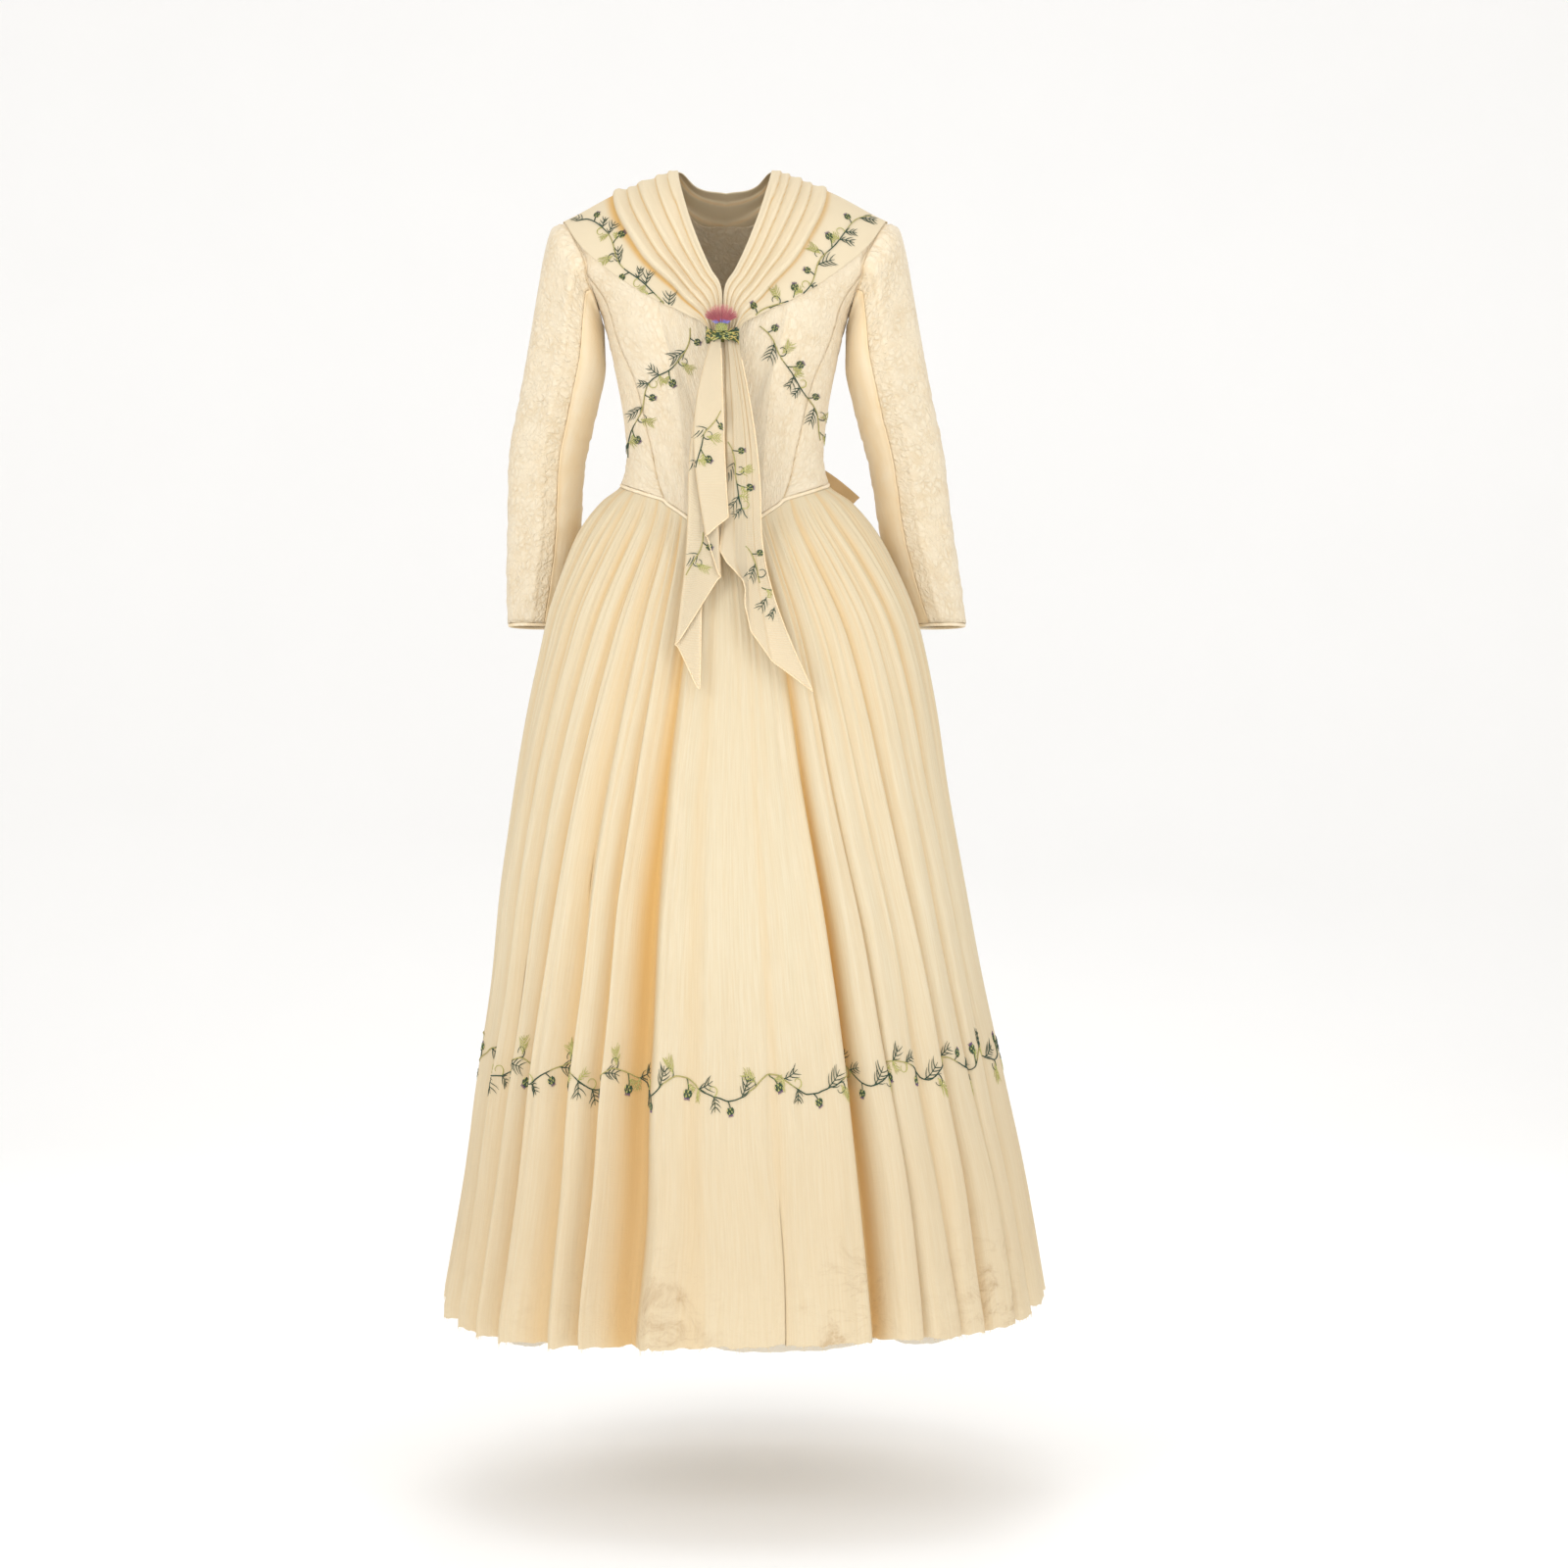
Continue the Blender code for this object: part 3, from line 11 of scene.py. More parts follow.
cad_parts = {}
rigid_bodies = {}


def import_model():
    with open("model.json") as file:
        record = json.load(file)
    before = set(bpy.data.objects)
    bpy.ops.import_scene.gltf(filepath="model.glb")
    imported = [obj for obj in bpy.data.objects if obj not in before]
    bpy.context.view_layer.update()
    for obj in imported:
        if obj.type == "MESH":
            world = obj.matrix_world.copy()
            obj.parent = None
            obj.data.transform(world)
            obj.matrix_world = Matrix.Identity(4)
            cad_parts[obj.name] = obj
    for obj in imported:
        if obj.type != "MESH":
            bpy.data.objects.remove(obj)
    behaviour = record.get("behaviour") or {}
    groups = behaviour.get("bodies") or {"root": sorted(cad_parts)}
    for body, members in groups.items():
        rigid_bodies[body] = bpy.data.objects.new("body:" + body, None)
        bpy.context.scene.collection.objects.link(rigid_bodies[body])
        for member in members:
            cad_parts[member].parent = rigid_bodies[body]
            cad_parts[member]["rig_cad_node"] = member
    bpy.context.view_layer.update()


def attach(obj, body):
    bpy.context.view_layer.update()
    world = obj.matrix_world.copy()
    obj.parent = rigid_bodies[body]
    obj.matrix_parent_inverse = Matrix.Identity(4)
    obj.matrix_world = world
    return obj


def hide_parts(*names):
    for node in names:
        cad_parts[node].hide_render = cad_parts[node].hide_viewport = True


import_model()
scene = bpy.context.scene
pi = math.pi

# camera, light and floor

print("camera and studio")
studio = {
    "cameraPlace": (0.069, -3.6, -0.719),
    "viewWidth": 1.84,  # metres across the picture, at the dress
    "floorHeight": -1.535,
    "floorReach": (-5.0, 3.2),
    "floorBend": 2.0,
    "floorHalf": 7.0,
    "wallHeight": 3.0,
    "ambient": 0.84,
    "ambientColour": (1.0, 0.985, 0.96, 1),
    "sensor": 36,  # millimetres
    "lamps": (
        # place, aimed at, size, power
        ((-2.3, -3.0, 0.8), (0.0, 0.0, -0.7), 2.2, 44.0),
        ((2.5, -2.7, 0.5), (0.0, 0.0, -0.8), 2.2, 34.0),
        ((0.1, -4.2, -0.9), (0.0, 0.0, -0.6), 2.6, 34.0),
        ((0.3, 2.9, 1.5), (0.0, 0.0, -0.6), 2.4, 30.0),
        ((0.0, -0.6, 2.6), (0.0, 0.0, -0.5), 1.8, 12.0),
    ),
}


def aim(thing, target):
    away = Vector(target) - thing.location
    thing.rotation_euler = away.to_track_quat("-Z", "Y").to_euler()


def makeStudio():
    lens = bpy.data.cameras.new("camera")
    lens.sensor_width = studio["sensor"]
    lens.lens = studio["sensor"] * abs(studio["cameraPlace"][1]) / studio["viewWidth"]
    camera = bpy.data.objects.new("camera", lens)
    camera.location = studio["cameraPlace"]
    camera.rotation_euler = (pi / 2, 0, 0)
    scene.collection.objects.link(camera)
    scene.camera = camera
    for k, (place, target, size, power) in enumerate(studio["lamps"]):
        lamp = bpy.data.lights.new(f"softbox{k}", "AREA")
        lamp.shape = "DISK"
        lamp.size = size
        lamp.energy = power
        holder = bpy.data.objects.new(f"softbox{k}", lamp)
        holder.location = place
        scene.collection.objects.link(holder)
        aim(holder, target)
    world = bpy.data.worlds.new("studioLight")
    world.use_nodes = True
    scene.world = world
    tree = world.node_tree
    tree.nodes.clear()
    # a warm light on the dress, and plain white where the camera sees past it
    byCamera = addNode(tree, "ShaderNodeLightPath").outputs["Is Camera Ray"]
    colour, strength = studio["ambientColour"], studio["ambient"]
    lit = addNode(tree, "ShaderNodeBackground", {"Color": colour, "Strength": strength})
    seen = addNode(tree, "ShaderNodeBackground", {"Color": (1, 1, 1, 1), "Strength": 1.0})
    both = addNode(tree, "ShaderNodeMixShader", {0: byCamera, 1: lit.outputs[0], 2: seen.outputs[0]})
    addNode(tree, "ShaderNodeOutputWorld", {0: both.outputs[0]})
    scene.view_settings.view_transform = "Standard"


# nodes of materials


def addNode(tree, kind, ins=None, **settings):
    made = tree.nodes.new(kind)
    for key, value in settings.items():
        setattr(made, key, value)
    for key, value in (ins or {}).items():
        if isinstance(value, bpy.types.NodeSocket):
            tree.links.new(value, made.inputs[key])
        else:
            made.inputs[key].default_value = value
    return made


def calc(tree, kind, a, b=0.5, clamp=False):
    return addNode(tree, "ShaderNodeMath", {0: a, 1: b}, operation=kind, use_clamp=clamp).outputs[0]


def plus(tree, a, b, clamp=False):
    return calc(tree, "ADD", a, b, clamp)


def times(tree, a, b, clamp=False):
    return calc(tree, "MULTIPLY", a, b, clamp)


def weighted(tree, *terms):
    # sum of values, each with its weight
    total = 0.0
    for value, weight in terms:
        total = plus(tree, total, times(tree, value, weight))
    return total


def vectorCalc(tree, kind, a, b):
    return addNode(tree, "ShaderNodeVectorMath", {0: a, 1: b}, operation=kind).outputs[0]


def blendColour(tree, share, a, b):
    made = addNode(tree, "ShaderNodeMix", data_type="RGBA")
    for key, value in ((0, share), (6, a), (7, b)):
        if isinstance(value, bpy.types.NodeSocket):
            tree.links.new(value, made.inputs[key])
        else:
            made.inputs[key].default_value = (*value, 1) if key else value
    return made.outputs[2]


def rampOf(tree, value, low, high):
    # 0 below low and 1 above high
    made = addNode(tree, "ShaderNodeMapRange", {"Value": value, "From Min": low, "From Max": high})
    made.interpolation_type = "SMOOTHSTEP"
    return made.outputs["Result"]


def noiseOf(tree, where, scale, detail, rough=0.5, stretch=(1, 1, 1), warp=0.0):
    moved = addNode(tree, "ShaderNodeMapping", {"Vector": where, "Scale": stretch}).outputs[0]
    return addNode(tree, "ShaderNodeTexNoise", {
        "Vector": moved, "Scale": scale, "Detail": detail, "Roughness": rough, "Distortion": warp,
    }).outputs[0]


def bumpOf(tree, height, strength, distance, before=None):
    ins = {"Height": height, "Strength": strength, "Distance": distance}
    if before is not None:
        ins["Normal"] = before
    return addNode(tree, "ShaderNodeBump", ins).outputs[0]


def newMaterial(name):
    material = bpy.data.materials.new(name)
    material.use_nodes = True
    material.node_tree.nodes.clear()
    return material, material.node_tree


def clothShader(tree, colour, normal, roughness, through=0.0, sheen=0.0, fixed=None):
    relief = {} if normal is None else {"Normal": normal}
    surface = addNode(tree, "ShaderNodeBsdfPrincipled", {
        "Base Color": colour, "Roughness": roughness, "Specular IOR Level": 0.25, "Sheen Weight": sheen,
        "Sheen Roughness": 0.5, **relief, **(fixed or {}),
    }).outputs[0]
    if through:
        back = addNode(tree, "ShaderNodeBsdfTranslucent", {"Color": colour, **relief}).outputs[0]
        surface = addNode(tree, "ShaderNodeMixShader", {0: through, 1: surface, 2: back}).outputs[0]
    addNode(tree, "ShaderNodeOutputMaterial", {0: surface})


def uvOf(tree):
    return addNode(tree, "ShaderNodeUVMap", uv_map="cloth").outputs[0]


def placeInSpace(tree):
    return addNode(tree, "ShaderNodeTexCoord").outputs["Object"]


def partsOf(tree, vector):
    return addNode(tree, "ShaderNodeSeparateXYZ", {0: vector}).outputs


def attributeOf(tree, name):
    return addNode(tree, "ShaderNodeAttribute", attribute_name=name).outputs["Fac"]


def weaveOf(tree, uv, threads, wander=0.0):
    # height of a plain weave with so many threads to the metre
    if wander:
        shift = noiseOf(tree, uv, 9.0, 2.0)
        shifts = {0: times(tree, shift, wander), 1: times(tree, shift, -wander)}
        uv = vectorCalc(tree, "ADD", uv, addNode(tree, "ShaderNodeCombineXYZ", shifts).outputs[0])
    parts = partsOf(tree, uv)
    across = calc(tree, "SINE", times(tree, parts[0], threads * 2 * pi))
    along = calc(tree, "SINE", times(tree, parts[1], threads * 2 * pi))
    return plus(tree, times(tree, times(tree, across, along), 0.5), 0.5)


colours = {
    "quilt": (0.85, 0.75, 0.575),
    "hollowShade": (0.66, 0.5, 0.29),
    "plain": (0.84, 0.69, 0.465),
    "skirt": (0.78, 0.675, 0.475),
    "skirtFoldShade": (0.8, 0.52, 0.2),
    "skirtPale": (0.83, 0.75, 0.57),
    "greenishShade": (0.6, 0.6, 0.4),
    "stain": (0.36, 0.2, 0.08),
    "worn": (0.66, 0.52, 0.33),
    "under": (0.86, 0.82, 0.73),
    "kerchief": (0.82, 0.715, 0.52),
    "kerchiefPale": (0.84, 0.75, 0.565),
    "goldenFoldShade": (0.74, 0.46, 0.15),
    "piping": (0.8, 0.66, 0.45),
    "ribbon": (0.58, 0.39, 0.18),
    "darkGreen": (0.012, 0.042, 0.016),
    "midGreen": (0.04, 0.085, 0.022),
    "lightGreen": (0.42, 0.42, 0.12),
    "paleStem": (0.46, 0.38, 0.14),
    "purple": (0.085, 0.045, 0.12),
    "violet": (0.16, 0.15, 0.46),
    "pink": (0.36, 0.055, 0.085),
    "pinkPale": (0.68, 0.25, 0.25),
    "bulb": (0.17, 0.23, 0.1),
}


def cellEdges(tree, where, scale):
    return addNode(tree, "ShaderNodeTexVoronoi", {"Vector": where, "Scale": scale, "Randomness": 1.0},
                   feature="DISTANCE_TO_EDGE").outputs[0]


def quiltMaterial(name, cloth, lines, strength, slant):
    # crinkled matelasse: fine wandering ridges, with painted shade along the stitched hollows and in the
    # troughs of the wrinkles
    material, tree = newMaterial(name)
    uv = uvOf(tree)
    bend = addNode(tree, "ShaderNodeTexNoise", {"Vector": uv, "Scale": 60.0, "Detail": 2.0}).outputs["Color"]
    bend = vectorCalc(tree, "MULTIPLY", vectorCalc(tree, "SUBTRACT", bend, (0.5,) * 3), (0.012,) * 3)
    warped = vectorCalc(tree, "ADD", uv, bend)
    stitched = rampOf(tree, cellEdges(tree, warped, 115.0), 0.02, 0.3)
    crinkled = rampOf(tree, cellEdges(tree, warped, 260.0), 0.0, 0.4)
    # slanting wrinkles between the stitches
    slanted = addNode(tree, "ShaderNodeVectorRotate", {"Vector": warped, "Angle": slant},
                      rotation_type="Z_AXIS").outputs[0]
    wrinkle = noiseOf(tree, slanted, 1.0, 3.0, 0.6, (60.0, 260.0, 1), 0.4)
    broad = noiseOf(tree, uv, 26.0, 3.0, 0.6, (1, 0.6, 1), 0.6)
    height = weighted(tree, (stitched, 0.5), (crinkled, 0.3), (wrinkle, 1.1), (broad, 0.9))
    normal = bumpOf(tree, height, strength, 0.0016)
    normal = bumpOf(tree, weaveOf(tree, uv, 1500.0), 0.15, 0.0002, normal)
    where = rampOf(tree, noiseOf(tree, uv, 34.0, 3.0, 0.6), 0.35, 0.7)
    # painted shade: darker in the stitched hollows and in the wrinkle troughs, stronger in patches
    paintedHollowShade = times(tree, calc(tree, "SUBTRACT", 1.0, stitched), lines)
    paintedHollowShade = plus(tree, paintedHollowShade, times(tree, rampOf(tree, wrinkle, 0.46, 0.28), lines * 0.8))
    paintedHollowShade = times(tree, paintedHollowShade, plus(tree, times(tree, where, 0.9), 0.25))
    colour = blendColour(tree, paintedHollowShade, colours["quilt"], colours["hollowShade"])
    patchy = rampOf(tree, noiseOf(tree, uv, 14.0, 4.0, 0.65), 0.35, 0.75)
    colour = blendColour(tree, times(tree, patchy, 0.3), colour, cloth)
    # painted golden shade where the fold attribute is set: along seams and at the armhole
    fold = times(tree, attributeOf(tree, "fold"), 0.8)
    colour = blendColour(tree, fold, colour, colours["goldenFoldShade"])
    clothShader(tree, colour, normal, 0.72, sheen=0.15, through=0.14)
    return material


def plainMaterial(name):
    material, tree = newMaterial(name)
    uv = uvOf(tree)
    broad = noiseOf(tree, uv, 22.0, 4.0, 0.6, (1.4, 0.7, 1), 0.4)
    grain = noiseOf(tree, uv, 420.0, 2.0, 0.6)
    height = weighted(tree, (broad, 1.2), (grain, 0.25))
    normal = bumpOf(tree, height, 0.35, 0.0012)
    normal = bumpOf(tree, weaveOf(tree, uv, 1400.0), 0.15, 0.0002, normal)
    colour = blendColour(tree, rampOf(tree, broad, 0.3, 0.75), colours["plain"], colours["quilt"])
    # painted golden shade where the fold attribute is set: along seams and at the armhole
    colour = blendColour(tree, attributeOf(tree, "fold"), colour, colours["goldenFoldShade"])
    clothShader(tree, colour, normal, 0.75, sheen=0.1)
    return material


# stains low on the skirt: breadth from the middle of the front, spread, strength
stains = ((-0.095, 0.08, 1.2), (0.14, 0.09, 1.6), (0.42, 0.1, 1.5), (-0.95, 0.3, 0.6), (1.05, 0.3, 0.6))


def skirtMaterial(name):
    # thin crepe-like gauze with drawn-out slubs, painted golden shade where the folds close, darker towards
    # the hem and stained there
    material, tree = newMaterial(name)
    uv = uvOf(tree)
    parts = partsOf(tree, uv)
    slub = noiseOf(tree, uv, 1.0, 3.0, 0.6, (420.0, 14.0, 1))
    broadSlub = noiseOf(tree, uv, 1.0, 2.0, 0.5, (110.0, 3.0, 1))
    weft = noiseOf(tree, uv, 1.0, 2.0, 0.5, (16.0, 500.0, 1))
    height = weighted(tree, (slub, 1.0), (weft, 0.35), (broadSlub, 0.8))
    normal = bumpOf(tree, height, 0.42, 0.0009)
    crushed = noiseOf(tree, uv, 30.0, 4.0, 0.65, (1, 1, 1), 1.2)
    nearHem = rampOf(tree, parts[1], 0.14, 0.0)
    normal = bumpOf(tree, crushed, times(tree, nearHem, 0.5), 0.004, normal)
    colour = blendColour(tree, rampOf(tree, slub, 0.3, 0.75), colours["skirt"], colours["skirtPale"])
    colour = blendColour(tree, times(tree, rampOf(tree, broadSlub, 0.5, 0.8), 0.25), colour,
                         colours["skirtPale"])
    # painted shade, faint and greenish, down both sides of the front panel
    side = calc(tree, "ABSOLUTE", calc(tree, "SUBTRACT", calc(tree, "ABSOLUTE", parts[0]), 0.085))
    shade = times(tree, rampOf(tree, side, 0.04, 0.0),
                 rampOf(tree, noiseOf(tree, uv, 1.0, 3.0, 0.6, (24.0, 2.0, 1)), 0.35, 0.75))
    inTheMiddle = times(tree, rampOf(tree, parts[1], 0.12, 0.35), rampOf(tree, parts[1], 0.8, 0.55))
    colour = blendColour(tree, times(tree, times(tree, shade, inTheMiddle), 0.12), colour,
                         colours["greenishShade"])
    # painted golden shade in the folds, from the fold attribute
    colour = blendColour(tree, attributeOf(tree, "fold"), colour, colours["skirtFoldShade"])
    # dirt: blotches low on the skirt, thicker in three places
    blotch = rampOf(tree, noiseOf(tree, uv, 17.0, 6.0, 0.72, (1, 1, 1), 0.8), 0.5, 0.72)
    streak = rampOf(tree, noiseOf(tree, uv, 45.0, 5.0, 0.7, (0.6, 1.6, 1), 1.5), 0.52, 0.68)
    low = rampOf(tree, parts[1], 0.15, 0.02)
    spots = None
    for middle, spread, strength in stains:
        away = calc(tree, "ABSOLUTE", calc(tree, "SUBTRACT", parts[0], middle))
        spot = times(tree, rampOf(tree, away, spread, 0.0), strength)
        spots = spot if spots is None else plus(tree, spots, spot)
    dirt = times(tree, plus(tree, blotch, times(tree, streak, 0.35)), low)
    dirt = times(tree, dirt, plus(tree, spots, 0.22))
    colour = blendColour(tree, times(tree, dirt, 0.62, True), colour, colours["stain"])
    # darker and browner towards the hem
    worn = times(tree, rampOf(tree, parts[1], 0.52, 0.1), 0.42)
    colour = blendColour(tree, worn, colour, colours["worn"])
    clothShader(tree, colour, normal, 0.9, through=0.3)
    return material


def gauzeMaterial(name, cloth, deep, threads, strength, through, patchy=0.25):
    material, tree = newMaterial(name)
    uv = uvOf(tree)
    weave = weaveOf(tree, uv, threads, 0.004)
    grain = noiseOf(tree, uv, 500.0, 3.0, 0.6)
    broad = noiseOf(tree, uv, 18.0, 3.0, 0.6)
    normal = bumpOf(tree, broad, 0.25, 0.0025)
    normal = bumpOf(tree, plus(tree, weave, times(tree, grain, 0.6)), strength, 0.0005, normal)
    gaps = times(tree, calc(tree, "SUBTRACT", 1.0, weave), patchy)
    colour = blendColour(tree, gaps, cloth, tuple(0.72 * a + 0.28 * b for a, b in zip(cloth, deep)))
    colour = blendColour(tree, times(tree, rampOf(tree, broad, 0.4, 0.8), 0.18), colour,
                         tuple(0.85 * a + 0.15 * b for a, b in zip(cloth, deep)))
    # painted golden shade in the folds, from the fold attribute
    colour = blendColour(tree, attributeOf(tree, "fold"), colour, deep)
    clothShader(tree, colour, normal, 0.88, through=through)
    return material


def cordMaterial(name):
    # covered cord: slanting wraps, with painted shade in the grooves between them
    material, tree = newMaterial(name)
    where = placeInSpace(tree)
    parts = partsOf(tree, where)
    slant = weighted(tree, (parts[0], 1.0), (parts[2], 0.8), (parts[1], 0.9))
    wrap = calc(tree, "ABSOLUTE", calc(tree, "SINE", times(tree, slant, 1100.0)))
    normal = bumpOf(tree, wrap, 0.5, 0.0005)
    patchy = noiseOf(tree, where, 60.0, 3.0)
    colour = blendColour(tree, rampOf(tree, patchy, 0.3, 0.7), colours["piping"], colours["quilt"])
    # painted shade in the grooves between the wraps
    colour = blendColour(tree, times(tree, calc(tree, "SUBTRACT", 1.0, wrap), 0.35), colour,
                         colours["hollowShade"])
    clothShader(tree, colour, normal, 0.75, sheen=0.1)
    return material


def ribbonMaterial(name):
    material, tree = newMaterial(name)
    uv = uvOf(tree)
    ribs = noiseOf(tree, uv, 1.0, 2.0, 0.5, (30.0, 1400.0, 1))
    broad = noiseOf(tree, uv, 20.0, 3.0, 0.5)
    normal = bumpOf(tree, broad, 0.25, 0.003)
    normal = bumpOf(tree, ribs, 0.2, 0.0003, normal)
    colour = blendColour(tree, rampOf(tree, broad, 0.3, 0.75), colours["ribbon"],
                         tuple(0.8 * c for c in colours["ribbon"]))
    colour = blendColour(tree, times(tree, ribs, 0.2), colour, (0.7, 0.52, 0.28))
    clothShader(tree, colour, normal, 0.36, sheen=0.2, fixed={"Specular IOR Level": 0.5, "Anisotropic": 0.5})
    return material


def threadMaterial(name, colour, other, gloss=0.55, scale=700.0):
    # silk thread: streaks of a second shade
    material, tree = newMaterial(name)
    where = placeInSpace(tree)
    streak = noiseOf(tree, where, scale, 2.0, 0.6)
    broad = noiseOf(tree, where, 45.0, 2.0, 0.5)
    shade = blendColour(tree, rampOf(tree, streak, 0.35, 0.7), colour, other)
    shade = blendColour(tree, times(tree, rampOf(tree, broad, 0.4, 0.75), 0.4), shade, other)
    normal = bumpOf(tree, streak, 0.4, 0.0002)
    clothShader(tree, shade, normal, gloss, sheen=0.1)
    return material


def tuftMaterial(name, low, high):
    # thistle tuft: deep pink at the root and paler at the tips
    material, tree = newMaterial(name)
    where = placeInSpace(tree)
    parts = partsOf(tree, where)
    streak = noiseOf(tree, where, 900.0, 2.0, 0.6)
    up = rampOf(tree, parts[2], low, high)
    up = plus(tree, times(tree, up, 0.75), times(tree, streak, 0.35), True)
    shade = blendColour(tree, up, colours["pink"], colours["pinkPale"])
    clothShader(tree, shade, bumpOf(tree, streak, 0.3, 0.0002), 0.6, sheen=0.3)
    return material


# smooth lines through a few places


def hermite(xs, ys, at):
    # a smooth value at each place of at, xs rising; ys may have several columns
    xs, ys = np.asarray(xs, float), np.asarray(ys, float)
    at = np.asarray(at, float)
    rise = np.diff(ys, axis=0) / (np.diff(xs) if ys.ndim == 1 else np.diff(xs)[:, None])
    slope = np.empty_like(ys)
    slope[0], slope[-1] = rise[0], rise[-1]
    span = xs[2:] - xs[:-2]
    slope[1:-1] = (ys[2:] - ys[:-2]) / (span if ys.ndim == 1 else span[:, None])
    index = np.clip(np.searchsorted(xs, at, side="right") - 1, 0, len(xs) - 2)
    width = xs[index + 1] - xs[index]
    t = np.clip((at - xs[index]) / width, 0, 1)
    if ys.ndim > 1:
        t, width = t[..., None], width[..., None]
    return ((2 * t ** 3 - 3 * t ** 2 + 1) * ys[index] + (t ** 3 - 2 * t ** 2 + t) * width * slope[index]
            + (3 * t ** 2 - 2 * t ** 3) * ys[index + 1] + (t ** 3 - t ** 2) * width * slope[index + 1])


def ease(t):
    t = np.clip(t, 0.0, 1.0)
    return t * t * (3 - 2 * t)


def mix(a, b, t):
    return a + (b - a) * t


def even(share):
    return share


def crowdEnd(share):
    return 0.45 * share + 0.55 * (1 - (1 - share) ** 2)


def lengthsAlong(points):
    return np.concatenate(([0.0], np.cumsum(np.linalg.norm(np.diff(points, axis=0), axis=1))))


def alongLine(points, shares):
    # places at shares of the length of a smooth line through the points
    points = np.asarray(points, float)
    lengths = lengthsAlong(points)
    return hermite(lengths, points, np.asarray(shares) * lengths[-1])


def spline(points, count, spread=even):
    return alongLine(points, spread(np.linspace(0, 1, count + 1)))


def wobble(x, y, seed):
    # smooth uneven wave between about -1 and 1
    x, y = np.asarray(x, float), np.asarray(y, float)
    return (np.sin(x + 1.7 * y + seed) + 0.7 * np.sin(2.13 * x - 0.9 * y + 2.1 * seed + 1.3)
            + 0.5 * np.sin(3.71 * x + 2.3 * y + 0.7 * seed + 4.1)) / 2.2


# the figure that the bodice and the kerchief lie on

figure = {
    # height, half width, depth to the front, depth to the back
    "rows": (
        (-0.47, 0.19, 0.122, 0.15), (-0.44, 0.16, 0.117, 0.125), (-0.4, 0.134, 0.107, 0.103),
        (-0.367, 0.119, 0.099, 0.092), (-0.339, 0.1133, 0.095, 0.086), (-0.305, 0.115, 0.098, 0.088),
        (-0.27, 0.12, 0.107, 0.094), (-0.236, 0.1265, 0.118, 0.101), (-0.201, 0.134, 0.125, 0.106),
        (-0.1725, 0.142, 0.124, 0.108), (-0.155, 0.152, 0.12, 0.109), (-0.12, 0.183, 0.109, 0.107),
        (-0.08, 0.205, 0.097, 0.1), (-0.04, 0.215, 0.088, 0.09), (0.01, 0.22, 0.08, 0.082),
    ),
    "squareness": 2.3,
    "ridgeY": 0.012,
    "ridgeTop": -0.006,
    "ridgeNeck": 0.055,
    "ridgeRun": 0.135,
    "ridgeFall": 0.056,
    "ridgeBend": 1.1,
    "roll": 0.1,
    "shoulderTip": 0.195,
}
figureTable = np.array(figure["rows"])


def ridgeHeight(breadth):
    out = np.maximum(np.abs(breadth) - figure["ridgeNeck"], 0.0) / figure["ridgeRun"]
    return figure["ridgeTop"] - figure["ridgeFall"] * out ** figure["ridgeBend"]


def figureAt(height):
    values = hermite(figureTable[:, 0], figureTable[:, 1:], height)
    return values[..., 0], values[..., 1], values[..., 2]


def squared(turn, squareness):
    across, along = np.sin(turn), np.cos(turn)
    size = (np.abs(across) ** squareness + np.abs(along) ** squareness) ** (-1 / squareness)
    return across * size, along * size


def placeOf(breadth, height, front=True):
    # turn round the figure and length of cloth down from the shoulder ridge
    breadth, height = np.asarray(breadth, float), np.asarray(height, float)
    half = figureAt(height)[0]
    share = np.clip(breadth / half, -1, 1)
    depth = (1 - np.abs(share) ** figure["squareness"]) ** (1 / figure["squareness"])
    turn = np.arctan2(share, depth if front else -depth)
    if not front:
        turn = np.where(breadth < 0, turn + 2 * pi, turn)
    roll = figure["roll"]
    below = (ridgeHeight(breadth) - height) / roll
    drop = np.where(below < 1, roll * np.arccos(np.clip(1 - below, -1, 1)), roll * (pi / 2 + below - 1))
    return np.stack([turn, drop], axis=-1)


def onFigure(turn, drop):
    share, depth = squared(turn, figure["squareness"])
    roll = figure["roll"]
    bent = drop / roll
    fall = np.where(bent < pi / 2, roll * (1 - np.cos(bent)), roll * (1 + bent - pi / 2))
    rolled = np.where(bent < pi / 2, np.sin(bent), 1.0)
    height = np.full(np.shape(turn), -0.1)
    for _ in range(14):
        half, front, back = figureAt(height)
        height = ridgeHeight(half * share) - fall
    reach = np.where(depth > 0, -front * depth, -back * depth)
    return np.stack([half * share, figure["ridgeY"] * (1 - rolled) + reach * rolled, height], axis=-1)


def unit(vectors):
    return vectors / np.maximum(np.linalg.norm(vectors, axis=-1, keepdims=True), 1e-12)


def offFigure(turn, drop, lift):
    turn, drop = np.asarray(turn, float), np.asarray(drop, float)
    step = 0.004
    across = onFigure(turn + step, drop) - onFigure(turn - step, drop)
    down = onFigure(turn, drop + step) - onFigure(turn, np.maximum(drop - step, 0.0))
    normal = unit(np.cross(down, across))
    return onFigure(turn, drop) + normal * np.asarray(lift)[..., None]


def ridgePlace(breadth, front=True):
    return placeOf(breadth, ridgeHeight(breadth), front)


def sidePlace(height):
    return placeOf(figureAt(height)[0], height)


def places(points, front=True):
    points = np.array(points)
    return placeOf(points[:, 0], points[:, 1], front)


def mirrored(line, aboutBack=False):
    line = np.array(line)
    return np.stack([(2 * pi if aboutBack else 0.0) - line[..., 0], line[..., 1]], axis=-1)


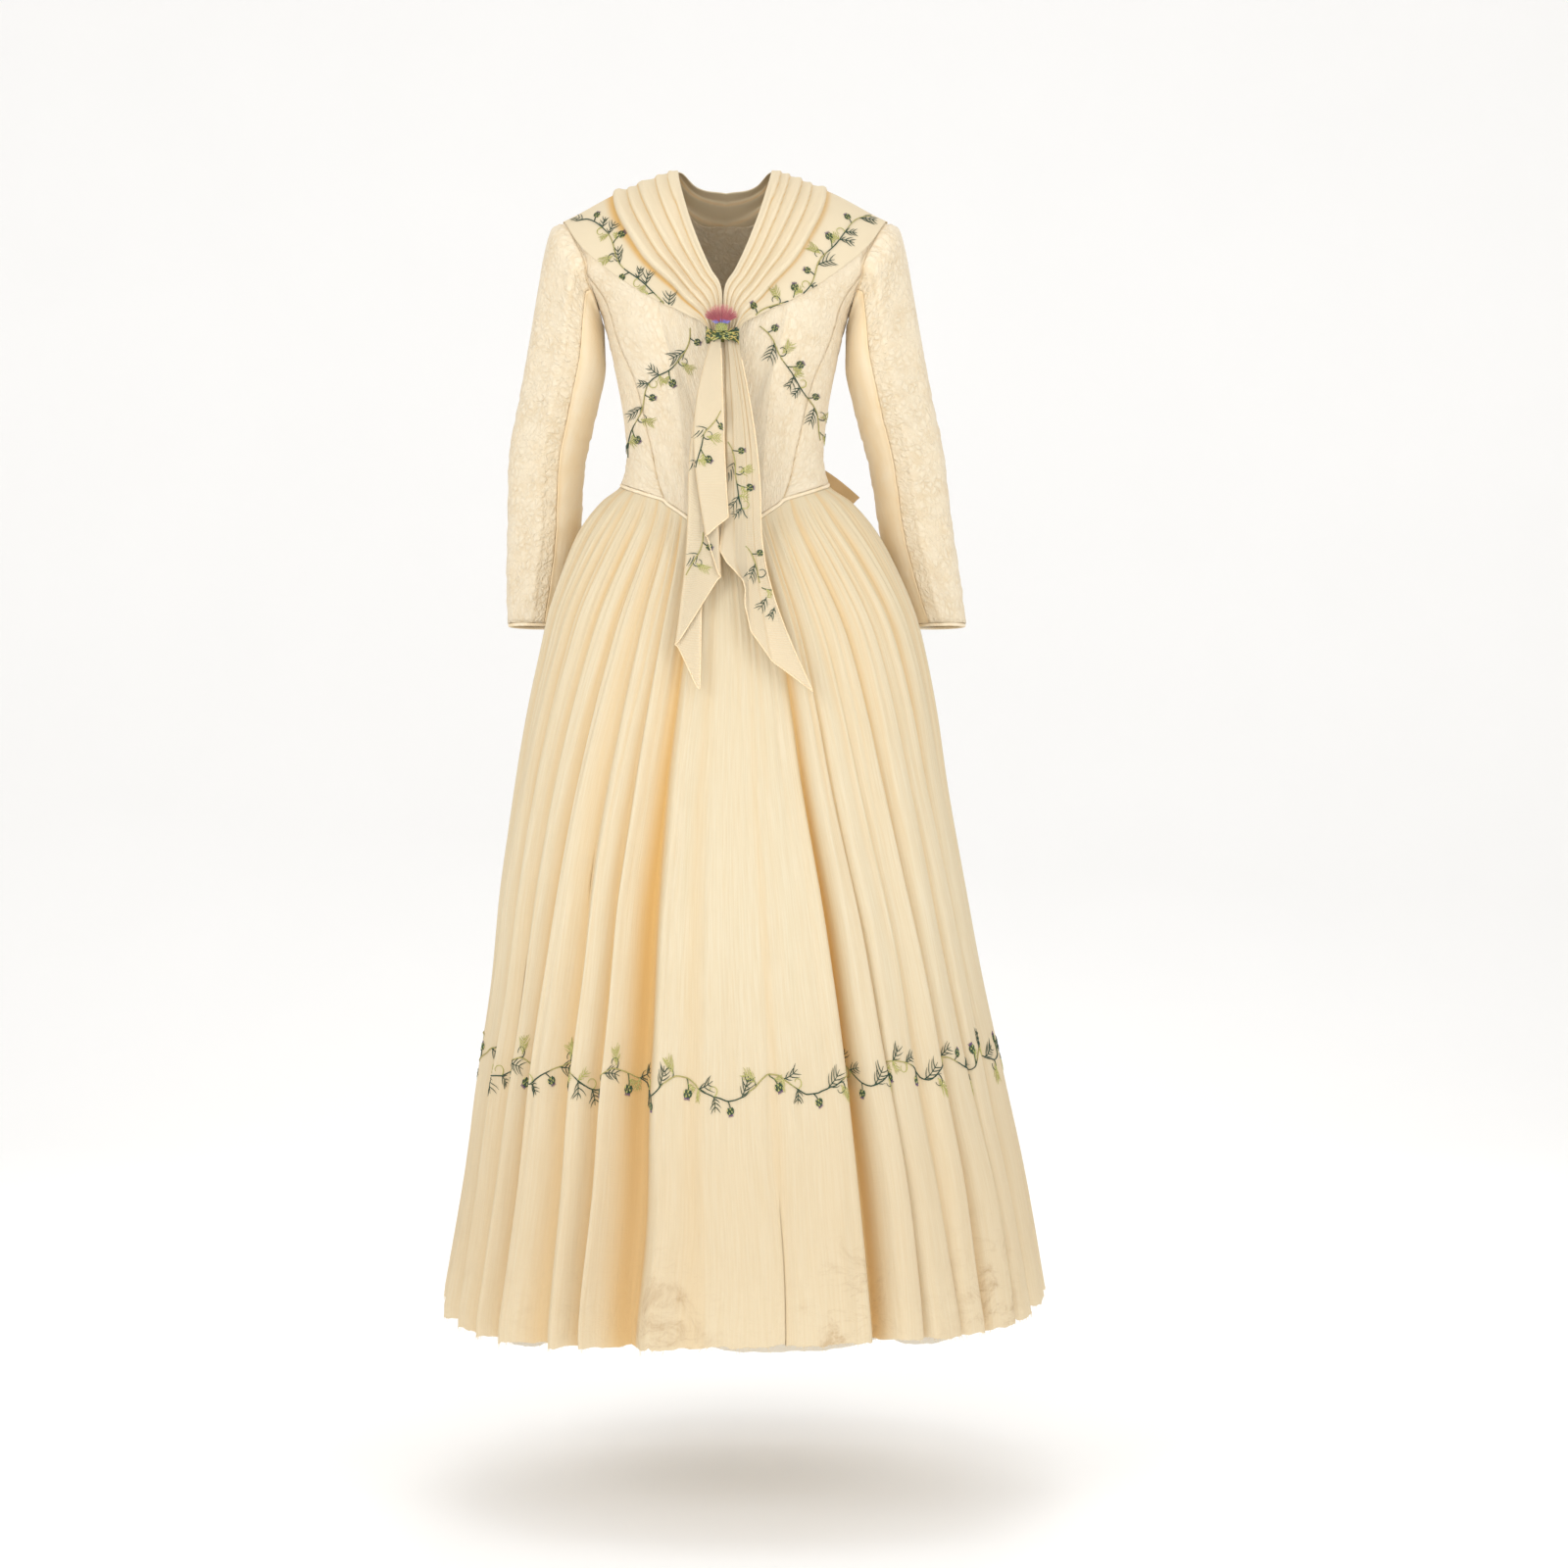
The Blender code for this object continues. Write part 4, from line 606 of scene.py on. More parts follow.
def patch(bottom, top, left, right):
    u = np.linspace(0, 1, len(bottom))[None, :, None]
    v = np.linspace(0, 1, len(left))[:, None, None]
    across = left[:, None] * (1 - u) + right[:, None] * u
    along = bottom[None] * (1 - v) + top[None] * v
    low = bottom[0] * (1 - u) + bottom[-1] * u
    high = top[0] * (1 - u) + top[-1] * u
    return across + along - (low * (1 - v) + high * v)


# cloth from a grid of points, rows going up and columns to the right as seen from outside


def lengthsOf(points, axis):
    steps = np.linalg.norm(np.diff(points, axis=axis), axis=-1)
    return np.concatenate(([0.0], np.cumsum(steps.mean(axis=1 - axis))))


def gridNormals(points, wrap=False):
    if wrap:
        ring = np.concatenate([points[:, -2:-1], points, points[:, 1:2]], axis=1)
        across = ring[:, 2:] - ring[:, :-2]
    else:
        across = np.gradient(points, axis=1)
    up = np.gradient(points, axis=0)
    return unit(np.cross(across, up))


def newPiece(name, mesh, material):
    mesh.materials.append(material)
    piece = bpy.data.objects.new(name, mesh)
    scene.collection.objects.link(piece)
    return piece


cuts = {}  # width, length and area of each cloth as its grid measures


def measureCut(name, points):
    widths = np.linalg.norm(np.diff(points, axis=1), axis=-1).sum(axis=1)
    lengths = np.linalg.norm(np.diff(points, axis=0), axis=-1).sum(axis=0)
    one, other = points[1:, 1:] - points[:-1, :-1], points[1:, :-1] - points[:-1, 1:]
    area = 0.5 * np.linalg.norm(np.cross(one, other), axis=-1).sum()
    gathered = name in ("skirt_gauze", "under_layer_cloth")
    width = widths.max() if gathered else np.median(widths)
    cuts[name] = (float(width), float(max(lengths.max(), area / width)), float(area))


def clothPiece(name, points, material, fold=None, uvs=None, wrap=False, thick=0.0, offset=-1.0):
    measureCut(name, points)
    rows, columns = points.shape[:2]
    bm = bmesh.new()
    bmesh.ops.create_grid(bm, x_segments=columns - 1, y_segments=rows - 1, size=0.5)
    bm.loops.layers.uv.new("cloth")
    mesh = bpy.data.meshes.new(name)
    bm.to_mesh(mesh)
    bm.free()
    flat = np.empty(len(mesh.vertices) * 3)
    mesh.vertices.foreach_get("co", flat)
    flat = flat.reshape(-1, 3)
    c = np.rint((flat[:, 0] + 0.5) * (columns - 1)).astype(int)
    r = np.rint((flat[:, 1] + 0.5) * (rows - 1)).astype(int)
    mesh.vertices.foreach_set("co", points[r, c].ravel())
    if uvs is None:
        across, along = lengthsOf(points, 1), lengthsOf(points, 0)
        uvs = np.stack(np.meshgrid(across, along), axis=-1)
    corner = np.empty(len(mesh.loops), dtype=int)
    mesh.loops.foreach_get("vertex_index", corner)
    mesh.uv_layers["cloth"].data.foreach_set("uv", uvs[r[corner], c[corner]].ravel())
    depth = mesh.attributes.new("fold", "FLOAT", "POINT")
    depth.data.foreach_set("value", np.zeros(len(r)) if fold is None else fold[r, c])
    mesh.update()
    if wrap:
        bm = bmesh.new()
        bm.from_mesh(mesh)
        bmesh.ops.remove_doubles(bm, verts=bm.verts, dist=1e-6)
        bm.to_mesh(mesh)
        bm.free()
    mesh.shade_smooth()
    piece = newPiece(name, mesh, material)
    if thick:
        wall = piece.modifiers.new("wall", "SOLIDIFY")
        wall.thickness = thick
        wall.offset = offset
    return piece


def threadPiece(name, strokes, material, sides):
    # thin round threads, each a line of points with a radius at each
    curve = bpy.data.curves.new(name, "CURVE")
    curve.dimensions = "3D"
    curve.bevel_depth = 1.0
    curve.bevel_resolution = max(sides // 2 - 2, 0)
    curve.use_fill_caps = True
    for points, radii in strokes:
        points = np.asarray(points, float)
        line = curve.splines.new("POLY")
        line.points.add(len(points) - 1)
        line.points.foreach_set("co", np.c_[points, np.ones(len(points))].ravel())
        line.points.foreach_set("radius", np.broadcast_to(radii, len(points)).astype(float))
    holder = bpy.data.objects.new(name, curve)
    scene.collection.objects.link(holder)
    mesh = bpy.data.meshes.new_from_object(holder.evaluated_get(bpy.context.evaluated_depsgraph_get()))
    bpy.data.objects.remove(holder)
    bpy.data.curves.remove(curve)
    mesh.materials.clear()
    mesh.shade_smooth()
    return newPiece(name, mesh, material)


def faceOutwards(mesh):
    bm = bmesh.new()
    bm.from_mesh(mesh)
    bmesh.ops.recalc_face_normals(bm, faces=bm.faces)
    bm.to_mesh(mesh)
    bm.free()


def lumpPiece(name, segments, middle, radii, ribs, material, flatness=1.0, uv=False):
    # a small round body with shallow slanting ribs: how deep, how many and how slanted
    deep, count, slanted = ribs
    bm = bmesh.new()
    bmesh.ops.create_uvsphere(bm, u_segments=segments[0], v_segments=segments[1], radius=1.0)
    for vertex in bm.verts:
        x, y, z = vertex.co
        ribbed = 1 + deep * math.sin(count * math.atan2(y, x) + slanted * z) * (1 - z ** 2)
        tall = math.copysign(abs(z) ** flatness, z)
        vertex.co = Vector((middle[0] + radii[0] * x * ribbed, middle[1] + radii[1] * y * ribbed,
                            middle[2] + radii[2] * tall))
    if uv:
        bm.loops.layers.uv.new("cloth")
    mesh = bpy.data.meshes.new(name)
    bm.to_mesh(mesh)
    bm.free()
    mesh.shade_smooth()
    return newPiece(name, mesh, material)


# bodice

bodice = {
    "cloth": 0.0022,  # outer skin above the figure
    "wall": 0.0016,
    "sideRows": 88,
    "armRows": 55,
    "frontColumns": 88,
    "sideColumns": 60,
    "backColumns": 76,
    "shoulderToFrontSeam": ((0.17, -0.091), (0.161, -0.109), (0.158, -0.13)),
    "frontSeamToSide": ((0.158, -0.13), (0.1525, -0.1437), (0.146, -0.16)),
    "backSeamToSide": ((0.163, -0.125), (0.1541, -0.146), (0.144, -0.166)),
    "shoulderToBackSeam": ((0.172, -0.095), (0.163, -0.125)),
    "underarm": -0.178,
    "frontSeam": ((0.068, -0.3925), (0.0775, -0.36), (0.086, -0.32), (0.102, -0.255), (0.127, -0.19),
                  (0.158, -0.13)),
    "backSeam": ((0.072, -0.362), (0.08, -0.32), (0.104, -0.25), (0.135, -0.19), (0.163, -0.125)),
    "basque": ((0.0, -0.4442), (0.022, -0.43), (0.042, -0.4125), (0.056, -0.4025), (0.068, -0.3925)),
    "waistToSide": ((0.068, -0.3925), (0.084, -0.3865), (0.1, -0.38), (0.113, -0.3735)),
    "waistSide": -0.3655,
    "waistBack": ((0.108, -0.363), (0.072, -0.362)),
    "waistBackMiddle": -0.362,
    "frontNeck": ((0.0, -0.186), (0.03, -0.15), (0.06, -0.08)),
    "frontNeckTop": 0.086,
    "backNeck": ((0.0, -0.052), (0.04, -0.044)),
    "backNeckTop": 0.078,
    "seamDip": 0.0008,
    "seamReach": 0.0035,
    "waistCrease": 0.0006,
    "armCrease": 0.0009,
    "quilting": 0.00045,
}


def frontSeam(count):
    return spline(places(bodice["frontSeam"]), count)


def backSeam(count):
    return spline(places(bodice["backSeam"], False), count)


def armFrontUpper(count):
    line = places(bodice["shoulderToFrontSeam"])[::-1]
    return spline(np.vstack([line, ridgePlace(figure["shoulderTip"])]), count, crowdEnd)


def armBackUpper(count):
    line = places(bodice["shoulderToBackSeam"], False)[::-1]
    return spline(np.vstack([line, ridgePlace(figure["shoulderTip"], False)]), count, crowdEnd)


def armLower(count):
    back = places(bodice["backSeamToSide"], False)[::-1]
    return spline(np.vstack([places(bodice["frontSeamToSide"]), sidePlace(bodice["underarm"]), back]), count)


def waistSide(count):
    line = [places(bodice["waistToSide"]), sidePlace(bodice["waistSide"]), places(bodice["waistBack"], False)]
    return spline(np.vstack(line), count)


def waistFront(count):
    half = spline(places(bodice["basque"]), count // 2)
    return np.vstack([mirrored(half)[:0:-1], half])


def waistBack(count):
    right = places(bodice["waistBack"], False)[-1]
    middle = np.array([pi, placeOf(0.0, bodice["waistBackMiddle"], False)[1]])
    half = spline(np.vstack([right, middle]), count // 2)
    return np.vstack([half, mirrored(half, True)[-2::-1]])


def neckEdge(neck, neckTop, count, front):
    up = places(neck, front)
    if not front:
        up[0, 0] = pi
    up = np.vstack([up, ridgePlace(neckTop, front)])
    onNeck = round(count * 0.6)
    ridge = ridgePlace(np.linspace(neckTop, figure["shoulderTip"], count - onNeck + 1)[1:], front)
    return np.vstack([spline(up, onNeck), ridge])


def seamDips(points):
    # the cloth dips a little along the two upright seams of a panel
    dist = np.linalg.norm(points - points[:, :1], axis=-1)
    other = np.linalg.norm(points - points[:, -1:], axis=-1)
    near = np.minimum(dist, other)
    return np.exp(-(near / bodice["seamReach"]) ** 2)


def panelPoints(grid, seed):
    plain = onFigure(grid[..., 0], grid[..., 1])
    dip = seamDips(plain)
    x, z = grid[..., 0] * 0.13, plain[..., 2]
    # soft creases: across the waist, and fanning from under the arm
    waistCrease = np.exp(-((z + 0.345) / 0.035) ** 2) * wobble(z * 330 + 3 * x, x * 40, seed)
    armCrease = np.exp(-((z + 0.185) / 0.05) ** 2) * np.clip((np.abs(plain[..., 0]) - 0.09) / 0.05, 0, 1)
    armCrease = armCrease * wobble((z + np.abs(plain[..., 0])) * 210, x * 20, seed + 2)
    quilt = wobble(x * 420, z * 300, seed) * wobble(z * 410, x * 250, seed + 1)
    lift = bodice["cloth"] - bodice["seamDip"] * dip + bodice["waistCrease"] * waistCrease
    lift = lift + bodice["armCrease"] * armCrease + bodice["quilting"] * quilt
    return offFigure(grid[..., 0], grid[..., 1], lift), dip


def makeBodice(quilt):
    rows, arm = bodice["sideRows"], bodice["armRows"]
    right = np.vstack([frontSeam(rows), armFrontUpper(arm)[1:]])
    columns = bodice["frontColumns"]
    half = neckEdge(bodice["frontNeck"], bodice["frontNeckTop"], columns // 2, True)
    top = np.vstack([mirrored(half)[:0:-1], half])
    grids = {"bodice_front": patch(waistFront(columns), top, mirrored(right), right)}
    columns = bodice["sideColumns"]
    grid = patch(waistSide(columns), armLower(columns), frontSeam(rows), backSeam(rows))
    grids["bodice_side_right"] = grid
    grids["bodice_side_left"] = mirrored(grid)[:, ::-1]
    columns = bodice["backColumns"]
    left = np.vstack([backSeam(rows), armBackUpper(arm)[1:]])
    half = neckEdge(bodice["backNeck"], bodice["backNeckTop"], columns // 2, False)
    top = np.vstack([half[::-1], mirrored(half, True)[1:]])
    grids["bodice_back"] = patch(waistBack(columns), top, left, mirrored(left, True))
    for k, (node, grid) in enumerate(grids.items()):
        points, dip = panelPoints(grid, 1.7 * k)
        # painted shade along the two upright seams of each panel, as the fold attribute
        piece = clothPiece(node + "_cloth", points, quilt, fold=0.16 * dip, thick=bodice["wall"])
        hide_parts(*((node + "_left", node + "_right") if node == "bodice_back" else (node,)))


# sleeves, ring by ring from the armhole to the cuff

sleeve = {
    # outer breadth, outer height, inner breadth, inner height, middle in depth, half depth
    "rows": (
        (0.1998, -0.078, 0.144, -0.183, -0.002, 0.056), (0.2085, -0.103, 0.144, -0.194, 0.003, 0.0595),
        (0.2158, -0.136, 0.1443, -0.21, 0.0095, 0.0605), (0.224, -0.178, 0.1453, -0.234, 0.0195, 0.059),
        (0.2341, -0.23, 0.153, -0.264, 0.033, 0.0555), (0.244, -0.275, 0.162, -0.297, 0.048, 0.053),
        (0.255, -0.322, 0.1722, -0.334, 0.063, 0.0512), (0.2597, -0.37, 0.1787, -0.377, 0.076, 0.05),
        (0.2638, -0.419, 0.1838, -0.423, 0.085, 0.048), (0.269, -0.473, 0.196, -0.475, 0.091, 0.0445),
        (0.272, -0.526, 0.2125, -0.527, 0.093, 0.0405),
    ),
    "leanFrom": -0.3,
    "leanTo": -0.5275,
    "cuffLean": 0.0125,
    "leanBend": 1.5,
    "settling": 0.3,
    "cuffCord": 0.0021,
    "cuffGap": 0.0003,
    "cuffPoints": 96,
    "allowance": 0.0017,
    "creases": (0.001, 0.0011, 0.0009, 0.0005),  # slanting, at the elbow, at the top, quilting
    "seamDip": 0.0007,
    "frontSeamIndex": 1,
    "backSeamIndex": 9,
    "aroundFactor": 8,
    "alongFactor": 8,
    "seamGap": 0.00016,
}


def armholePlaces():
    back = armBackUpper(5)[1:]
    front = armFrontUpper(5)[::-1][1:-1]
    return np.vstack([armLower(10), back, front])


def leanOf(height):
    span = sleeve["leanFrom"] - sleeve["leanTo"]
    out = max((sleeve["leanFrom"] - height) / span, 0.0)
    return sleeve["cuffLean"] * out ** sleeve["leanBend"]


def sleeveAxes(row, side):
    outerX, outerZ, innerX, innerZ, middleY, _ = row
    outer = np.array([outerX + side * leanOf(outerZ), middleY, outerZ])
    inner = np.array([innerX + side * leanOf(innerZ), middleY, innerZ])
    return (outer + inner) / 2, (outer - inner) / 2


def sleeveRing(row, turns, shares, side, grow):
    middle, reach = sleeveAxes(row, side)
    grown = reach / np.linalg.norm(reach) * grow
    wide = (reach * shares[:, None] + grown) * np.cos(turns)[:, None]
    deep = (row[5] * shares + grow) * np.sin(turns)
    return middle + wide + np.stack([0 * deep, -deep, 0 * deep], axis=1)


def sleeveRings(side):
    # outer skin, coarse, as the solids have it
    rows = sleeve["rows"]
    line = armholePlaces()
    edge = onFigure(line[:, 0], line[:, 1])
    middle, reach = sleeveAxes(rows[0], side)
    away = edge - middle
    deep = -away[:, 1] / rows[0][5]
    wide = away @ reach / (reach @ reach)
    turns, shares = np.arctan2(deep, wide), np.hypot(deep, wide)
    first = sleeveRing(rows[0], turns, mix(shares, 1.0, sleeve["settling"]), side, 0.0)
    outOfBody = unit(offFigure(line[:, 0], line[:, 1], np.full(len(line), 0.01)) - edge)
    size = np.linalg.norm(reach)
    outOfArm = unit(reach / size * (np.cos(turns) / size)[:, None]
                    + np.stack([0 * deep, -np.sin(turns) / rows[0][5], 0 * deep], axis=1))
    folded = ease((0.75 - np.sum(outOfArm * outOfBody, axis=1)) / 0.9)[:, None]
    beside = (2 * bodice["cloth"] + 3 * sleeve["seamGap"]) * folded
    start = edge + outOfBody * beside + unit(first - edge) * 3 * sleeve["seamGap"]
    out = unit(outOfBody * (1 - folded) + outOfArm * folded)
    rings = [start + out * bodice["cloth"]]
    for k, row in enumerate(rows):
        settled = min((k + 1) * sleeve["settling"], 1.0)
        rings.append(sleeveRing(row, turns, mix(shares, 1.0, settled), side, bodice["cloth"]))
    return np.array(rings)


def refined(rings, alongFactor, aroundFactor):
    # the same skin with more points, round it and along it
    rows, around = rings.shape[:2]
    wrapped = np.concatenate([rings[:, -3:], rings, rings[:, :4]], axis=1)
    at = np.arange(around * aroundFactor + 1) / aroundFactor + 3
    ringsFine = np.array([hermite(np.arange(around + 7), ring, at) for ring in wrapped])
    down = np.arange((rows - 1) * alongFactor + 1) / alongFactor
    return hermite(np.arange(rows), ringsFine.reshape(rows, -1), down).reshape(len(down), -1, 3)


def makeSleeves(quilt, plain, cord):
    seams = []
    factor = sleeve["aroundFactor"]
    for side, word in ((1, "right"), (-1, "left")):
        skin = refined(sleeveRings(side), sleeve["alongFactor"], factor)
        if side < 0:
            skin = skin * np.array([-1, 1, 1])
        normals = gridNormals(skin, True)
        middle = skin.mean(axis=1, keepdims=True)
        if np.sum(normals * (skin - middle)) < 0:
            normals = -normals
        around = skin.shape[1] - 1
        turn = np.linspace(0, 2 * pi, around + 1)[None]
        down = np.linspace(0, 1, skin.shape[0])[:, None]
        z = skin[..., 2]
        # creases: slanting ones below the elbow, folds inside the elbow, soft ones at the top
        low = ease((down - 0.45) * 3)
        slanting = wobble(z * 170 + side * 2.4 * np.sin(turn), np.cos(turn) * 1.5, 2.0 + side)
        elbow = np.exp(-((down - 0.56) / 0.1) ** 2) * wobble(z * 260, np.sin(turn) * 2, 1.0)
        top = np.exp(-(down / 0.16) ** 2) * wobble(np.sin(turn) * 9 + 6 * np.cos(turn), down * 6, 3.0)
        quiltRelief = wobble(turn * 15 + 40 * down, z * 300, 0.4) * wobble(z * 400, turn * 12, 1.4)
        lift = sum(height * crease for height, crease in zip(
            sleeve["creases"], (slanting * low, elbow, top, quiltRelief)))
        lift = lift * ease(down * 14) * (1 - 0.8 * ease((down - 0.95) * 20))
        skin = skin + normals * lift[..., None]
        hole = skin[0, :-1]
        inside = hole - normals[0, :-1] * 0.0012 + unit(skin[0, :-1] - skin[3, :-1]) * 0.001
        allowance = closedCord(f"armhole_{word}_cord", inside, sleeve["allowance"], cord)
        first, last = sleeve["frontSeamIndex"] * factor, sleeve["backSeamIndex"] * factor
        ring = np.concatenate([skin, skin[:, 1:]], axis=1)
        spans = {"under": (first, last), "top": (last, around + first)}
        for part, (a, b) in spans.items():
            points = ring[::-1, a:b + 1]
            if side < 0:
                points = points[:, ::-1]
            near = np.minimum(np.arange(b - a + 1), np.arange(b - a + 1)[::-1])[None]
            width = np.linalg.norm(np.diff(points, axis=1), axis=-1).mean()
            dip = np.exp(-(near * width / bodice["seamReach"]) ** 2) * np.ones((points.shape[0], 1))
            points = points - gridNormals(points) * (sleeve["seamDip"] * dip)[..., None]
            upDip = np.exp(-(len(points) - 1.0 - np.arange(len(points))) ** 2)[:, None]
            # painted shade along both seams and at the armhole edge, as the fold attribute
            fold = np.clip(0.25 * dip + 0.35 * upDip, 0, 1)
            node = f"sleeve_{part}_{word}"
            material = quilt[word] if part == "top" else plain
            piece = clothPiece(node + "_cloth", points, material, fold=fold, thick=bodice["wall"])
            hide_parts(node)
            if part == "under":
                seams += [points[:, 0], points[:, -1]]
        turns = np.linspace(0, 2 * pi, sleeve["cuffPoints"] + 1)[:-1]
        ring = sleeveRing(sleeve["rows"][-1], turns, np.ones(len(turns)), side, bodice["cloth"] * 0.6)
        ring = ring * np.array([side, 1, 1]) - np.array([0, 0, sleeve["cuffCord"] + sleeve["cuffGap"]])
        piece = closedCord(f"cuff_binding_{word}_cord", ring, sleeve["cuffCord"], cord)
        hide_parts(f"cuff_binding_{word}")
    return seams


cordSides = 12


def closedCord(name, path, radius, material):
    # a cord round a closed path: a grid wrapped both ways, then merged
    path = np.asarray(path)
    ahead = unit(np.roll(path, -1, axis=0) - np.roll(path, 1, axis=0))
    out = unit(path - path.mean(axis=0))
    out = unit(out - ahead * np.sum(out * ahead, axis=1, keepdims=True))
    up = np.cross(ahead, out)
    angle = np.linspace(0, 2 * pi, cordSides + 1)
    ring = path[:, None] + radius * (out[:, None] * np.cos(angle)[None, :, None]
                                     + up[:, None] * np.sin(angle)[None, :, None])
    ring = np.concatenate([ring, ring[:1]], axis=0)
    piece = clothPiece(name, ring, material, wrap=True)
    faceOutwards(piece.data)
    return piece


# skirt

skirt = {
    # height, middle, half width, depth to the front, depth to the back
    "rows": (
        (-0.36, 0.0045, 0.112, 0.096, 0.088), (-0.3736, 0.0048, 0.1237, 0.098, 0.1),
        (-0.3885, 0.005, 0.1441, 0.1, 0.124), (-0.4166, 0.0043, 0.1675, 0.108, 0.158),
        (-0.4519, 0.0058, 0.1861, 0.126, 0.184), (-0.5122, 0.0082, 0.2103, 0.158, 0.21),
        (-0.5575, 0.0095, 0.2215, 0.178, 0.222), (-0.6332, 0.0092, 0.2364, 0.202, 0.236),
        (-0.719, 0.0084, 0.2493, 0.224, 0.25), (-0.8334, 0.0107, 0.2665, 0.251, 0.268),
        (-0.9477, 0.015, 0.2813, 0.276, 0.286), (-1.0621, 0.018, 0.3025, 0.301, 0.306),
        (-1.1764, 0.0233, 0.3225, 0.326, 0.326), (-1.308, 0.0244, 0.3454, 0.35, 0.348),
    ),
    "squareness": 2.35,
    "middleY": -0.012,
    "rimBlend": 0.05,
    "hem": (
        (-180, -1.306), (-120, -1.306), (-90, -1.309), (-72, -1.322), (-50, -1.326), (-25, -1.322),
        (0, -1.316), (30, -1.314), (50, -1.316), (66, -1.308), (90, -1.299), (120, -1.304), (180, -1.306),
    ),
    # valleys: turn at the waist, turn at the hem, depth at the hem
    "frontValleys": (
        (-83, -90, 0.014), (-72, -78, 0.021), (-61, -65, 0.017), (-51, -57, 0.007), (-42, -49, 0.021),
        (-34, -39, 0.016), (-26, -31, 0.018), (-17, -22, 0.036), (-6, -8, 0.002), (7, 8, 0.002),
        (19, 26, 0.034), (26, 33, 0.015), (34, 41, 0.005), (43, 48, 0.021), (53, 57, 0.007),
        (61, 64, 0.02), (73, 78, 0.012), (84, 89, 0.019),
    ),
    "backValleys": 14,
    "backDepth": 0.023,
    "waistShare": 0.16,
    "bulge": 0.24,
    "pleatColumns": 21,
    "wideColumns": 44,
    "wideFrom": 14,  # degrees: wider stretches are flat panels
    "rowCount": 106,
    "cord": 0.0022,
    "gathers": 118,
    "gatherHeight": 0.0016,
    "fineGather": 0.0034,
    "ripple": 0.003,
    "bandHeight": -1.048,
    "widths": ("front", "left_front", "left_side", "right_front", "right_side", "back_left", "back_middle",
               "back_right"),
}
underLayer = {
    "columns": 300,
    "rows": 60,
    "ripple": 0.003,
    "ripples": 9,
    "insetWaist": 0.0042,
    "insetHem": 0.046,
    "drop": (0.002, 0.0155),  # below the hem of the skirt, where it hides and where it shows
    # where it shows: degrees from the front, half width in degrees
    "showsAt": ((-58, 14), (10, 17), (42, 10), (60, 6), (110, 20), (-120, 22), (175, 24), (-150, 10)),
}
skirtTable = np.array(skirt["rows"])[::-1]
hemTable = np.array(skirt["hem"], float)


def waistEdge():
    half = np.vstack([waistFront(16)[8:], waistSide(10)[1:], waistBack(14)[1:8]])
    line = np.vstack([mirrored(half)[:0:-1], half])[:-1]
    points = onFigure(line[:, 0], line[:, 1])
    out = unit(offFigure(line[:, 0], line[:, 1], np.full(len(line), 0.01)) - points)
    along = unit(np.roll(points, -1, axis=0) - np.roll(points, 1, axis=0))
    down = unit(np.cross(along, out))
    down = np.where(down[:, 2:] > 0, -down, down)
    return points, out, down


def waistRim():
    points, out, down = waistEdge()
    rim = points + out * bodice["cloth"] + down * (2 * skirt["cord"] + 5 * sleeve["seamGap"])
    y = rim[:, 1] - skirt["middleY"]
    turn = np.arctan2(rim[:, 0], -y)
    turn[0] = -pi
    radius = np.hypot(rim[:, 0], y)
    return np.append(turn, pi), np.append(radius, radius[0]), np.append(rim[:, 2], rim[0, 2])


def skirtRadius(turn, height):
    values = hermite(skirtTable[:, 0], skirtTable[:, 1:], height)
    middle, half = values[..., 0], values[..., 1]
    depth = np.where(np.cos(turn) > 0, values[..., 2] + skirt["middleY"], values[..., 3] - skirt["middleY"])
    across = np.abs(np.sin(turn) / half) ** skirt["squareness"]
    along = np.abs(np.cos(turn) / depth) ** skirt["squareness"]
    return (across + along) ** (-1 / skirt["squareness"]), middle


def pleatShare(down):
    return mix(skirt["waistShare"], 1.0, ease(down * 1.15)) * ease(down * 9 + 0.12)


def skirtPoints(turnWaist, turnHem, sink, down, rim, drop):
    # points of the skirt, down being 0 at the waist and 1 at the hem
    turn = mix(turnWaist, turnHem, ease(down * 1.6))
    wrapped = (turn + pi) % (2 * pi) - pi
    rimRadius = hermite(rim[0], rim[1], wrapped)
    rimHeight = hermite(rim[0], rim[2], wrapped)
    hem = hermite(hemTable[:, 0], hemTable[:, 1], np.degrees(wrapped)) - drop
    height = mix(rimHeight, hem, down)
    plain, middle = skirtRadius(turn, height)
    rimPlain, _ = skirtRadius(turn, rimHeight)
    held = np.exp((height - rimHeight) / skirt["rimBlend"])
    radius = plain + (rimRadius - rimPlain) * held - sink
    across = middle * (1 - held) + radius * np.sin(turn)
    return np.stack([across, skirt["middleY"] - radius * np.cos(turn), height], axis=-1)


def valleyRows():
    rows = [(math.radians(a), math.radians(b), depth) for a, b, depth in skirt["frontValleys"]]
    (firstA, firstB, _), (lastA, lastB, _) = rows[-1], rows[0]
    for k in range(1, skirt["backValleys"] + 1):
        share = k / (skirt["backValleys"] + 1)
        uneven = 0.02 * math.sin(5.1 * k) + 0.012 * math.sin(2.3 * k + 1)
        rows.append((mix(firstA, lastA + 2 * pi, share), mix(firstB, lastB + 2 * pi, share) + uneven,
                     skirt["backDepth"] * (1 + 0.25 * math.sin(3.7 * k))))
    return rows


